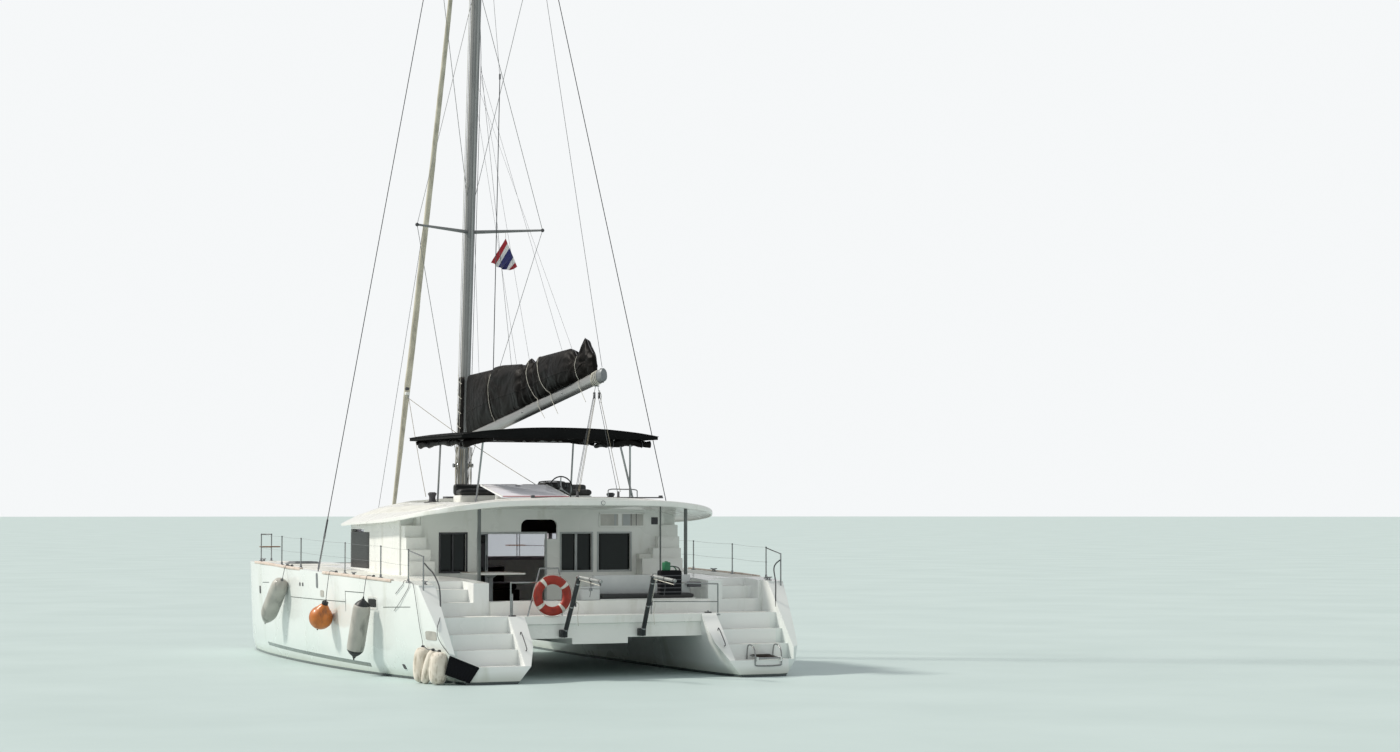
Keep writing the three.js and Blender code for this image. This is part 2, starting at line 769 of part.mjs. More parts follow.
// Columns: x and y of the foot, x and y of the top
const BIMINI_POSTS = [
  [-1460, -560, -1400, -560],
  [1400, -560, 1470, -560],
  [-1620, -3220, -1470, -3220],
  [1580, -3220, 1580, -3220],
  [1660, -3220, 1330, -3220],
];
function biminiFrame() {
  const bars = BIMINI_POSTS.map(([footX, footY, topX, topY]) =>
    rod([footX, footY, FLY_DECK_Z + GAP], [topX, topY, BIMINI.barTop - 5], 20)
  );
  for (const y of [-560, -3220]) bars.push(rod([-1900, y, BOW_Z], [1900, y, BOW_Z], 20));
  for (const s of [-1, 1]) bars.push(rod([s * 1850, -560, BOW_Z], [s * 1850, -3220, BOW_Z], 20));
  return largest(cut(joined(bars), roofGrownUp));
}
addNode("bimini_frame", biminiFrame(), "steel");

function biminiCanopy() {
  const ring = (y) => {
    const top = [];
    const low = [];
    for (let k = 0; k <= 12; k += 1) {
      const u = (k / 12) * 2 - 1;
      const crown = 1 - Math.pow(Math.abs(u), 2.4);
      top.push([BIMINI.half * u, y, lerp(BIMINI.edgeZ + 20, BIMINI.crownZ, crown)]);
      low.push([BIMINI.half * u, y, BIMINI.barTop + GAP]);
    }
    return [...top, ...low.reverse()];
  };
  return loft([ring(BIMINI.foreY), ring(BIMINI.aftY)]);
}
addNode("bimini_canopy", biminiCanopy(), "blackCloth");

// Mast with spreaders and diamond stays
const mastY = (z) => MAST_FOOT[1] - (z - MAST_FOOT[2]) * MAST_RAKE;
const SPREADERS = [
  { z: 8910, reach: 1390, back: 650 },
  { z: 15600, reach: 1240, back: 570 },
];

// The boom's pin stands parallel to the mast, behind it, between two plates
const GOOSENECK = [0, mastY(GOOSENECK_Z) - MAST_SECTION.along - 60, GOOSENECK_Z];
const PIN_HALF = 40;
function atGooseneck(body) {
  const matrix = new THREE.Matrix4()
    .makeTranslation(...GOOSENECK)
    .multiply(new THREE.Matrix4().makeRotationX(Math.atan(MAST_RAKE)));
  return body.transform(matrix.elements);
}

function ellipseRing(centre, across, along, sides) {
  return Array.from({ length: sides }, (_, k) => {
    const angle = (k / sides) * Math.PI * 2;
    return [centre[0] + across * Math.cos(angle), centre[1] + along * Math.sin(angle), centre[2]];
  });
}

function mast() {
  const foot = MAST_FOOT[2];
  const tube = loft([
    ellipseRing([0, mastY(foot), foot], MAST_SECTION.across, MAST_SECTION.along, 14),
    ellipseRing([0, mastY(19000), 19000], MAST_SECTION.across, MAST_SECTION.along, 14),
    ellipseRing([0, mastY(MASTHEAD_Z), MASTHEAD_Z], 80, 110, 14),
  ]);
  const pieces = [tube];
  const wire = (from, to) => pieces.push(rod(from, to, WIRE, 6));
  for (const s of [-1, 1]) {
    const tips = SPREADERS.map(({ z, reach, back }) => {
      const tip = [s * reach, mastY(z) - back, z + 40];
      pieces.push(rod([0, mastY(z), z], tip, 40, 8, 22));
      return tip;
    });
    wire([s * 60, mastY(3750), 3750], tips[0]);
    wire(tips[0], [0, mastY(14200), 14200]);
    wire([s * 60, mastY(9500), 9500], tips[1]);
    wire(tips[1], [0, mastY(HOUNDS_Z), HOUNDS_Z]);
  }
  for (const z of [PIN_HALF, -PIN_HALF - 12]) pieces.push(atGooseneck(box(-30, 30, -26, 120, z, z + 12)));
  return joined(pieces);
}
const mastBody = mast();
addNode("mast", largest(cut(mastBody, roofGrownUp)), "alloy");
const mastGrown = joined([grown(mastBody, 1, 0, 0), grown(mastBody, -1, 0, 0), grown(mastBody, 0, 1, 0)]);

// Cap shrouds from the chainplates to the hounds
const CHAINPLATE_Y = -500;
for (const [side, s] of [
  ["port", -1],
  ["starboard", 1],
]) {
  const low = [s * 3905, CHAINPLATE_Y, deckZ(CHAINPLATE_Y) - 30];
  const high = [s * 60, mastY(HOUNDS_Z), HOUNDS_Z];
  const along = (z) => {
    const t = (z - low[2]) / (high[2] - low[2]);
    return low.map((v, axis) => lerp(v, high[axis], t));
  };
  const shroud = joined([rod(low, high, WIRE, 6), rod(along(2600), along(2900), 18, 8)]);
  addNode(`shroud_${side}`, largest(cut(shroud, hullsGrown, mastGrown)), "steel");
}

// Crossbeam between the bows, on a spine from the foredeck that carries the foot of the stay
const CROSSBEAM = { y: 6750, z: 1780, radius: 100 };
const SPINE = { half: 130, low: 1690, top: 1845, tipY: 7090 };
const STAY_FOOT = [0, 7030, SPINE.top];
function crossbeam(radius) {
  return rod([-3000, CROSSBEAM.y, CROSSBEAM.z], [3000, CROSSBEAM.y, CROSSBEAM.z], radius, 14);
}
const spine = box(-SPINE.half, SPINE.half, FOREDECK_Y + GAP, SPINE.tipY, SPINE.low, SPINE.top);
const crossbeamBody = onHulls(joined([crossbeam(CROSSBEAM.radius), spine]));
addNode("crossbeam", crossbeamBody, "alloy");

// Columns: height at which each length of the rolled sail starts, its radius there
const GENOA_TABLE = [
  [2500, 42],
  [3200, 46],
  [4400, 56],
  [5400, 66],
  [6100, 74],
  [9000, 66],
  [14000, 50],
  [19600, 38],
];
const GENOA_SAG = 120;
function genoa() {
  const foot = STAY_FOOT;
  const head = [0, mastY(HOUNDS_Z) + 100, HOUNDS_Z];
  const at = (z) => {
    const t = (z - foot[2]) / (head[2] - foot[2]);
    const [x, y] = foot.map((v, axis) => lerp(v, head[axis], t));
    return [x, y - 4 * GENOA_SAG * t * (1 - t), z];
  };
  const pieces = [
    rod(foot, at(2150), 20, 8),
    rod(at(2080), at(2230), 110, 14),
    rod(at(2150), at(2600), 22, 8),
    rod(at(19500), head, 12, 8),
  ];
  for (let i = 0; i + 1 < GENOA_TABLE.length; i += 1) {
    const [[z0, r0], [z1, r1]] = [GENOA_TABLE[i], GENOA_TABLE[i + 1]];
    pieces.push(rod(at(z0), at(z1 + 15), r0, 10, r1));
  }
  return largest(cut(joined(pieces), mastGrown, grown(crossbeamBody, 0, 0, 1)));
}
addNode("genoa", genoa(), "creamCloth");

// Net between the bows, over the spine
function trampoline() {
  const net = plate(
    [
      [-2560, FOREDECK_Y + 60],
      [2560, FOREDECK_Y + 60],
      [2900, CROSSBEAM.y - 160],
      [-2900, CROSSBEAM.y - 160],
    ],
    1850,
    1862
  );
  const lashings = [-2, -1, 0, 1, 2].flatMap((k) => [
    rod([k * 900, FOREDECK_Y + GAP, 1856], [k * 900, FOREDECK_Y + 100, 1856], 5, 6),
    rod([k * 900, CROSSBEAM.y - 200, 1856], [k * 900, CROSSBEAM.y - 50, 1856], 5, 6),
  ]);
  return largest(cut(joined([net, ...lashings]), crossbeam(CROSSBEAM.radius + GAP), hullsGrown));
}
addNode("trampoline", trampoline(), "net");

// Pulpits, stanchions and lifelines, one run on each side
const RAIL_Z = 600;
const WIRE_Z = 310;
const PULPIT_INNER = [2900, 6350];
// Columns: x, y of each stanchion, from the bow aft to the gate
const STANCHIONS = [
  [3060, 6600],
  [3480, 5100],
  [3700, 2750],
  [3720, 1300],
  [3700, -1600],
  [3630, -3580],
  [3612, -5120],
];
function lifelines() {
  const base = (x, y) => [x, y, deckZ(y) - 20];
  const at = (x, y, up) => [x, y, deckZ(y) + up];
  const [bowX, bowY] = STANCHIONS[0];
  const bars = [rod(base(...PULPIT_INNER), at(...PULPIT_INNER, RAIL_Z), 13, 8)];
  for (const up of [RAIL_Z - 8, WIRE_Z]) bars.push(rod(at(...PULPIT_INNER, up), at(bowX, bowY, up), 13, 6));
  STANCHIONS.forEach(([x, y], index) => {
    bars.push(rod(base(x, y), at(x, y, RAIL_Z), 13, 8));
    if (index > 0) {
      const [px, py] = STANCHIONS[index - 1];
      const [top, middle] = index === 1 ? [13, 10] : [5, 5];
      bars.push(rod(at(px, py, RAIL_Z - 8), at(x, y, RAIL_Z - 8), top, 6));
      bars.push(rod(at(px, py, WIRE_Z), at(x, y, WIRE_Z), middle, 6));
    }
  });
  return onHulls(joined(bars));
}
const lifelinesStarboard = lifelines();
const lifelinesPort = mirrored(lifelinesStarboard);
addNode("lifelines_starboard", lifelinesStarboard, "steel");
addNode("lifelines_port", lifelinesPort, "steel");

// Gate rails: a low post at the head of the boarding steps and a strap from the last stanchion
const GATE_POST = { x: 3570, y: -5830, top: 2250 };
function gateRail() {
  const [x, y] = STANCHIONS[STANCHIONS.length - 1];
  const top = [x, y, deckZ(y) + RAIL_Z - 20];
  const bars = [
    rod([GATE_POST.x, GATE_POST.y, 1500], [GATE_POST.x, GATE_POST.y, GATE_POST.top], 14),
    rod(top, [GATE_POST.x, GATE_POST.y, GATE_POST.top - 15], 12),
  ];
  return largest(cut(onHulls(joined(bars)), grown(lifelinesStarboard, 0, -1, 0)));
}
addNode("gate_rail_starboard", gateRail(), "steel");
addNode("gate_rail_port", mirrored(gateRail()), "steel");

// Rails along the aft beam. They stand on its top
const onBeam = (body) => largest(cut(body, grown(deckBridge, 0, 0, 1), hullsGrown));
const BEAM_TOP = FLOOR_Z - 40;
const STERN_RAIL_Y = -6080;
// Columns of each bar's points: x, z
const railBar = (points, radius) =>
  bentBar(
    points.map(([x, z]) => [x, STERN_RAIL_Y, z]),
    radius
  );
function sternRailPort() {
  const frame = [
    [-1680, BEAM_TOP],
    [-1440, 2010],
    [-1080, 2010],
    [-1000, 1760],
    [-1000, BEAM_TOP],
  ];
  const side = [
    [-2000, BEAM_TOP],
    [-2000, 1760],
    [-1250, 1760],
  ];
  const low = [
    [-1600, 1430],
    [-1000, 1430],
  ];
  const high = [
    [-1300, 1760],
    [-1000, 1760],
  ];
  return onBeam(joined([railBar(side, 14), railBar(frame, 14), railBar(low, 10), railBar(high, 12)]));
}
function sternRailStarboard() {
  const frame = [
    [2130, BEAM_TOP],
    [2130, 1690],
    [750, 1740],
  ];
  const post = [
    [770, BEAM_TOP],
    [770, 1740],
  ];
  const low = [
    [770, 1380],
    [2130, 1360],
  ];
  return onBeam(joined([railBar(frame, 14), railBar(post, 14), railBar(low, 10)]));
}
addNode("stern_rail_port", sternRailPort(), "steel");
addNode("stern_rail_starboard", sternRailStarboard(), "steel");

// Davits on the aft beam. Columns: x of the foot, x of the arm's fore end, x of its tip
const DAVITS = { port: [-1010, -960, -850], starboard: [540, 500, 590] };
for (const [side, [footX, headX, tipX]] of Object.entries(DAVITS)) {
  const strut = rod([footX, -6200, 770], [headX, -6800, 1880], 42, 10);
  const arm = rod([headX, -6720, 1870], [tipX, -7560, 1800], 32, 10);
  const foot = box(footX - 60, footX + 60, -6240, BEAM_FACE_Y, 760, 900);
  addNode(`davit_${side}`, largest(cut(joined([strut, arm, foot]), grown(deckBridge, 0, -1, 0))), "alloy");
}

// Lifebuoy on the port stern rail
const BUOY = { centre: [-1220, STERN_RAIL_Y - 72.8, 1520], radius: 285, tube: 82 };
function lifebuoy() {
  const ring = new THREE.TorusGeometry(BUOY.radius, BUOY.tube, 10, 28);
  ring.rotateX(Math.PI / 2);
  ring.scale(1, 0.75, 1);
  ring.translate(...BUOY.centre);
  return solid(ring);
}
addNode("lifebuoy", lifebuoy(), "buoyRed");

// Covered unit clamped on the starboard stern rail
function railUnit() {
  const y = STERN_RAIL_Y - 130;
  const clamp = box(940, 1180, y, STERN_RAIL_Y - 14 - GAP, 1690, 1750);
  const body = box(850, 1300, y - 100, y + 80, 1500, 1960);
  const top = box(940, 1080, y - 80, y + 60, 1940, 2110);
  return joined([body, top, clamp]);
}
addNode("rail_unit", railUnit(), "plastic");

// Fenders on the port side, with their lines up to the lifeline
const wireX = (y) => {
  const index = STANCHIONS.findIndex((row) => row[1] <= y);
  const [[x0, y0], [x1, y1]] = [STANCHIONS[index - 1], STANCHIONS[index]];
  return lerp(x0, x1, (y0 - y) / (y0 - y1));
};
function fenderLine([x, y, z]) {
  const overRail = [-wireX(y) - 200, y, deckZ(y) + 40];
  return bentBar([[x, y, z - 60], overRail, [-wireX(y), y, deckZ(y) + WIRE_Z]], 7, 6);
}
const hung = (body) => largest(cut(onHulls(body), grown(lifelinesPort, -1, 0, 0)));
// Profile: radius as a share of the fender's own, share of its length
const FENDER_PROFILE = [
  [0, 0],
  [0.2, 0.015],
  [0.92, 0.13],
  [1, 0.2],
  [1, 0.83],
  [0.9, 0.89],
  [0.2, 0.985],
  [0, 1],
];
function fender(low, top, radius) {
  const profile = FENDER_PROFILE.map(([share, along]) => [share * radius, along]);
  return hung(joined([turned(profile, low, top, 16), fenderLine(top)]));
}
addNode("fender_fore", fender([-4150, 2350, 760], [-4050, 1500, 1660], 175), "fenderGrey");
addNode("fender_mid", fender([-4100, -3460, 330], [-4030, -3780, 1430], 165), "fenderGrey");

const BALL = { centre: [-4130, -1450, 1000], radius: 230, collar: [-4085, -1600, 1310] };
function buoyFender() {
  const neck = turned(
    [
      [0, 0],
      [120, 0.3],
      [60, 0.85],
      [55, 1],
      [0, 1],
    ],
    BALL.centre,
    BALL.collar
  );
  return hung(joined([ball(BALL.centre, BALL.radius, 18, 12), neck, fenderLine(BALL.collar)]));
}
addNode("fender_ball", buoyFender(), "orange");

// Columns: x, y, height of the top
const STERN_FENDERS = [
  [-3640, -5990, 640],
  [-3610, -6330, 590],
  [-3570, -6620, 585],
];
const STERN_FENDER_RADIUS = 150;
function sternFenders() {
  const profile = [
    [0, 0],
    [0.55, 0.05],
    [1, 0.2],
    [1, 0.8],
    [0.6, 0.95],
    [0, 1],
  ].map(([share, along]) => [share * STERN_FENDER_RADIUS, along]);
  const bodies = STERN_FENDERS.map(([x, y, top]) => turned(profile, [x, y, 0], [x + 30, y, top]));
  const cord = bentBar(STERN_FENDERS.map(([x, y, top]) => [x + 30, y, top - 20]), 9, 6);
  return onHulls(joined([...bodies, cord]));
}
addNode("fenders_stern", sternFenders(), "fenderCream");

// Boom with the mainsail in its bag; both swing on the gooseneck
function boomFrame(body) {
  const matrix = new THREE.Matrix4()
    .makeTranslation(...GOOSENECK)
    .multiply(new THREE.Matrix4().makeRotationZ(BOOM_SWING))
    .multiply(new THREE.Matrix4().makeRotationX(-BOOM_RISE));
  return body.transform(matrix.elements);
}

function boom() {
  const spar = loft(
    [-110, -BOOM_LENGTH].map((y) =>
      Array.from({ length: 14 }, (_, k) => {
        const angle = (k / 14) * Math.PI * 2;
        return [75 * Math.cos(angle), y, 125 * Math.sin(angle)];
      })
    )
  );
  const toggle = rod([0, 0, GAP - PIN_HALF], [0, 0, PIN_HALF - GAP], 24, 12);
  return boomFrame(joined([spar, box(-18, 18, -130, 0, -28, 28)])).add(atGooseneck(toggle));
}
const boomBody = boom();
addNode("boom", boomBody, "alloy");

// Columns: distance aft of the gooseneck, height of the bag's top over the boom's axis,
// half width, lean aft of the ring for each mm of height
const BAG_TABLE = [
  [110, 1320, 90, 0.17],
  [900, 1240, 190, 0.08],
  [1650, 1190, 220, 0],
  [2950, 980, 230, 0],
  [3120, 880, 220, 0],
  [3480, 940, 230, 0],
  [3710, 780, 220, 0],
  [3890, 890, 235, 0],
  [5240, 780, 240, 0],
  [5490, 600, 215, 0],
  [5740, 750, 220, 0],
  [6130, 760, 190, 0],
  [6330, 560, 120, 0],
];
function sailBag() {
  const rings = BAG_TABLE.map(([aft, top, half, lean]) => {
    const ring = [];
    for (let k = 0; k <= 12; k += 1) {
      const angle = (k / 12) * Math.PI;
      const wide = Math.pow(Math.sin(angle), 0.7);
      const z = lerp(90, top, (1 - Math.cos(angle)) / 2);
      ring.push([half * wide, -aft - lean * z, z]);
    }
    for (let k = 11; k > 0; k -= 1) {
      const angle = (k / 12) * Math.PI;
      const wide = Math.pow(Math.sin(angle), 0.7);
      const z = lerp(90, top, (1 - Math.cos(angle)) / 2);
      ring.push([-half * wide, -aft - lean * z, z]);
    }
    return ring;
  });
  return largest(cut(boomFrame(loft(rings)), grown(boomBody, 0, 0, 1)));
}
addNode("sail_bag", sailBag(), "blackCloth");

// Flag under the starboard spreader, on its halyard. Columns: x, z of the limp cloth's outline
const FLAG_OUTLINE = [
  [684, 8779],
  [945, 8189],
  [788, 8116],
  [653, 8123],
  [496, 8176],
  [372, 8260],
];
function flag() {
  const [x] = FLAG_OUTLINE[0];
  const y = mastY(SPREADERS[0].z) - 325;
  const halyard = rod([x, y, 8940], [x, y, 8740], 4, 6);
  const cloth = new THREE.ExtrudeGeometry(outlineShape(FLAG_OUTLINE), { depth: 8, bevelEnabled: false });
  cloth.rotateX(Math.PI / 2);
  cloth.translate(0, y + 4, 0);
  return joined([solid(cloth), halyard]);
}
addNode("flag", largest(cut(flag(), grown(mastBody, 0, 0, -1))), "flagCloth");

// Mat hung on the slanted corner of the port stern. Columns: distance outboard, z
const MAT_OUTLINE = [
  [0, 305],
  [170, 30],
  [600, 190],
  [520, 520],
];
function sternMat() {
  const shape = new THREE.ExtrudeGeometry(outlineShape(MAT_OUTLINE), { depth: 26, bevelEnabled: false });
  const [ox, oy] = CORNER.outer;
  const [ix, iy] = CORNER.inner;
  const outboard = new THREE.Vector3(ox - ix, oy - iy, 0).normalize();
  const up = new THREE.Vector3(0, 0, 1);
  const off = outboard.clone().cross(up);
  const place = new THREE.Matrix4().makeBasis(outboard, up, off);
  place.setPosition(ix + off.x * GAP, iy + off.y * GAP, 0);
  return mirrored(solid(shape.applyMatrix4(place)));
}
addNode("stern_mat", sternMat(), "rubber");

// Swim ladder, folded down flat on the starboard platform
function swimLadder() {
  const pinned = (x, t) => [x, LADDER.y + 385 * t, LADDER.z + 36 * t];
  const middle = (LADDER.x0 + LADDER.x1) / 2;
  const bars = [-200, 200].map((dx) => rod(pinned(middle + dx, 0), pinned(middle + dx, 1), 14, 8));
  const rungs = [0.48, 0.94].map((t) => rod(pinned(middle - 200, t), pinned(middle + 200, t), 14, 8));
  const pin = rod(pinned(LADDER.x0 + GAP, 0), pinned(LADDER.x1 - GAP, 0), 16, 8);
  return joined([...bars, ...rungs, pin]);
}
addNode("swim_ladder", swimLadder(), "steel");

// Deck hatch lids forward of the cabin, hinged at their front edge
for (const [side, s] of [
  ["port", -1],
  ["starboard", 1],
]) {
  const x = s * 3000;
  const top = deckZ(3560) + 32;
  addNode(`hatch_${side}`, onHulls(box(x - 260, x + 260, 3300, 3820, top - 40, top)), "glass");
}

export default group;
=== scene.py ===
"""The looks of a 14 m sailing catamaran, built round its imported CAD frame.

Metres. +X is starboard, +Y is forward, +Z is up, and the origin lies on the centreline at the waterline.
"""

from __future__ import annotations

import json
import logging
import math
from dataclasses import dataclass
from enum import Enum
from typing import Sequence

import bmesh
import bpy
import numpy as np
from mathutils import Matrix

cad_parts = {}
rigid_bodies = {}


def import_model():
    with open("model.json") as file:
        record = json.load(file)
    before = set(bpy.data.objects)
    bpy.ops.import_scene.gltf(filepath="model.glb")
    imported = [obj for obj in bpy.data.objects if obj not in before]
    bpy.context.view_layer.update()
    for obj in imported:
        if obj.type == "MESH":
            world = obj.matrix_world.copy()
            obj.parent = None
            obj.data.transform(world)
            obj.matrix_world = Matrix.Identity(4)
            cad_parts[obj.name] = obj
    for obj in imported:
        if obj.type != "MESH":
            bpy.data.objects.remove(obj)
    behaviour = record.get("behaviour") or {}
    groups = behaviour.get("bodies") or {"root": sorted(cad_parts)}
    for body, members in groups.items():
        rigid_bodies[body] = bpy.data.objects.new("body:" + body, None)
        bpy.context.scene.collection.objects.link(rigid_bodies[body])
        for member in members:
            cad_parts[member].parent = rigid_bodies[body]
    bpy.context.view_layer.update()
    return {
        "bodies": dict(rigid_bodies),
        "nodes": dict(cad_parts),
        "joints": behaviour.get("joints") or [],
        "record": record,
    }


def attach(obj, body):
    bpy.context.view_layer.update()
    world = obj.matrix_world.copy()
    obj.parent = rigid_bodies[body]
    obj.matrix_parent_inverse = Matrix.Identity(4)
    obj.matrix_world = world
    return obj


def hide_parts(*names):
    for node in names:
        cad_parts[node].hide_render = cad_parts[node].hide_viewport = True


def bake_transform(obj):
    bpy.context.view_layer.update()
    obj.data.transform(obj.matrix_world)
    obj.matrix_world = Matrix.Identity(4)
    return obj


Array = np.ndarray
Point = Sequence[float]
Tree = bpy.types.NodeTree
Node = bpy.types.Node
Socket = bpy.types.NodeSocket
Piece = bpy.types.Object
LOG = logging.getLogger("catamaran")
FRAME: dict = {}


# ---- Finishes ----


def linear(code: str) -> tuple[float, float, float, float]:
    """Turns an sRGB hex colour to linear.

    Args:
        code: The colour, as "#rrggbb".

    Returns:
        Linear red, green, blue and an alpha of 1.
    """
    srgb = np.array([int(code[i : i + 2], 16) for i in (1, 3, 5)]) / 255
    light = np.where(srgb <= 0.04045, srgb / 12.92, ((srgb + 0.055) / 1.055) ** 2.4)
    return (*light.tolist(), 1.0)


def add(tree: Tree, kind: str, inputs: dict | None = None, **settings) -> Node:
    """Adds one shader node with its settings, values and links.

    Args:
        tree: The node tree it goes into.
        kind: The node's type without "ShaderNode".
        inputs: A value, a socket or a node for each input, by name or number.
        **settings: The node's own properties.

    Returns:
        The node.
    """
    node = tree.nodes.new("ShaderNode" + kind)
    for key, value in settings.items():
        setattr(node, key, value)
    for key, value in (inputs or {}).items():
        if isinstance(value, Node):
            value = value.outputs[0]
        if isinstance(value, Socket):
            tree.links.new(value, node.inputs[key])
        else:
            node.inputs[key].default_value = value
    return node


class Relief(Enum):
    """The kinds of fine relief that a surface can have."""

    SPECKLE = "speckle"
    BRUSHED = "brushed"
    WEAVE = "weave"
    CREASED = "creased"
    BRAID = "braid"
    NONSKID = "nonskid"


@dataclass(frozen=True)
class Finish:
    """A real surface: what it is made of and how it was made.

    Attributes:
        name: The material's name.
        base: Its main colour.
        tint: The colour that it drifts to in patches.
        patch: The size of those patches, in metres.
        rough: Its roughness.
        drift: How far its roughness varies.
        relief: The kind of its fine relief.
        grain: The spacing of that relief, in metres.
        height: The height of that relief, in metres.
        metallic: 1 for bare metal.
        coat: The strength of a clear layer over it.
        sheen: The strength of the fibre ends' sheen.
        stain: The colour of the dirt on it, if it has any.
        stained: The share of it that the dirt covers.
        clear: How much light it lets through.
        gloss: The strength of its mirror-like reflection, 0.5 for a hard smooth surface.
    """

    name: str
    base: str
    tint: str
    patch: float = 0.6
    rough: float = 0.5
    drift: float = 0.1
    relief: Relief = Relief.SPECKLE
    grain: float = 0.004
    height: float = 0.0003
    metallic: float = 0.0
    coat: float = 0.0
    sheen: float = 0.0
    stain: str = ""
    stained: float = 0.3
    clear: float = 0.0
    gloss: float = 0.5

    def material(self) -> bpy.types.Material:
        """Builds the material once, and returns the same one after that."""
        made = bpy.data.materials.get(self.name)
        if made:
            return made
        made = bpy.data.materials.new(self.name)
        made.use_nodes = True
        tree = made.node_tree
        tree.nodes.clear()
        place = add(tree, "TexCoord").outputs["Object"]
        drift = add(tree, "TexNoise", {"Vector": place, "Scale": 1 / self.patch, "Detail": 5.0})
        low, high = max(0.02, self.rough - self.drift), min(1.0, self.rough + self.drift)
        span = {"From Min": 0.3, "From Max": 0.7, "To Min": low, "To Max": high}
        rough = add(tree, "MapRange", {"Value": drift, **span})
        height = self.fine(tree, place)
        bump = add(tree, "Bump", {"Height": height, "Distance": self.height, "Strength": 1.0})
        sockets = {
            "Base Color": self.colour(tree, place, drift),
            "Roughness": rough,
            "Metallic": self.metallic,
            "Coat Weight": self.coat,
            "Coat Roughness": 0.08,
            "Sheen Weight": self.sheen,
            "Sheen Roughness": 0.5,
            "Transmission Weight": self.clear,
            "Specular IOR Level": self.gloss,
            "Normal": bump,
        }
        add(tree, "OutputMaterial", {"Surface": add(tree, "BsdfPrincipled", sockets)})
        return made

    def colour(self, tree: Tree, place: Socket, drift: Node) -> Socket:
        """The colour: base drifting to tint in patches, then the dirt.

        Args:
            tree: The material's node tree.
            place: Object coordinates.
            drift: The noise of the patches.

        Returns:
            The socket that gives the colour.
        """
        share = add(tree, "MapRange", {"Value": drift, "From Min": 0.35, "From Max": 0.68})
        mixed = mix(tree, share, linear(self.base), linear(self.tint))
        return self.dirtied(tree, place, mixed)

    def dirtied(self, tree: Tree, place: Socket, under: Socket) -> Socket:
        """Lays dirt over a colour, in streaks that run down.

        Args:
            tree: The material's node tree.
            place: Object coordinates.
            under: The clean colour.

        Returns:
            The socket that gives the dirtied colour.
        """
        if not self.stain:
            return under
        squeezed = add(tree, "Mapping", {"Vector": place, "Scale": (1.0, 1.0, 0.22)})
        streaks = add(tree, "TexNoise", {"Vector": squeezed, "Scale": 2.2 / self.patch, "Detail": 8.0})
        edge = 0.72 - 0.3 * self.stained
        span = {"From Min": edge - 0.08, "From Max": edge + 0.1, "To Max": 0.75}
        return mix(tree, add(tree, "MapRange", {"Value": streaks, **span}), under, linear(self.stain))

    def fine(self, tree: Tree, place: Socket) -> Node:
        """The fine relief, from 0 to 1.

        Args:
            tree: The material's node tree.
            place: Object coordinates.

        Returns:
            The node that gives it.
        """
        if self.relief is Relief.BRUSHED:
            drawn = add(tree, "Mapping", {"Vector": place, "Scale": (1.0, 1.0, 0.05)})
            return add(tree, "TexNoise", {"Vector": drawn, "Scale": 1 / self.grain, "Detail": 2.0})
        if self.relief is Relief.WEAVE:
            thread = {"Vector": place, "Scale": 0.1 / self.grain, "Distortion": 0.6}
            warp, weft = (add(tree, "TexWave", thread, bands_direction=way).outputs["Fac"] for way in "XZ")
            return add(tree, "Math", {0: warp, 1: weft}, operation="MULTIPLY")
        if self.relief is Relief.CREASED:
            return add(tree, "TexNoise", {"Vector": place, "Scale": 2.2, "Detail": 1.0, "Distortion": 1.4})
        if self.relief is Relief.BRAID:
            path = add(tree, "UVMap", uv_map="along")
            strand = {"Vector": path, "Scale": 0.32 / self.grain, "Distortion": 0.0}
            return add(tree, "TexWave", strand, bands_direction="DIAGONAL")
        if self.relief is Relief.NONSKID:
            return add(tree, "TexVoronoi", {"Vector": place, "Scale": 1 / self.grain, "Randomness": 0.15})
        return add(tree, "TexNoise", {"Vector": place, "Scale": 1 / self.grain, "Detail": 3.0})


def mix(tree: Tree, share: Node | Socket, first: Socket | tuple, second: Socket | tuple) -> Socket:
    """Mixes two colours.

    Args:
        tree: The node tree.
        share: The second colour's share.
        first: The first colour.
        second: The second colour.

    Returns:
        The socket that gives the mixed colour.
    """
    return add(tree, "Mix", {0: share, 6: first, 7: second}, data_type="RGBA").outputs[2]


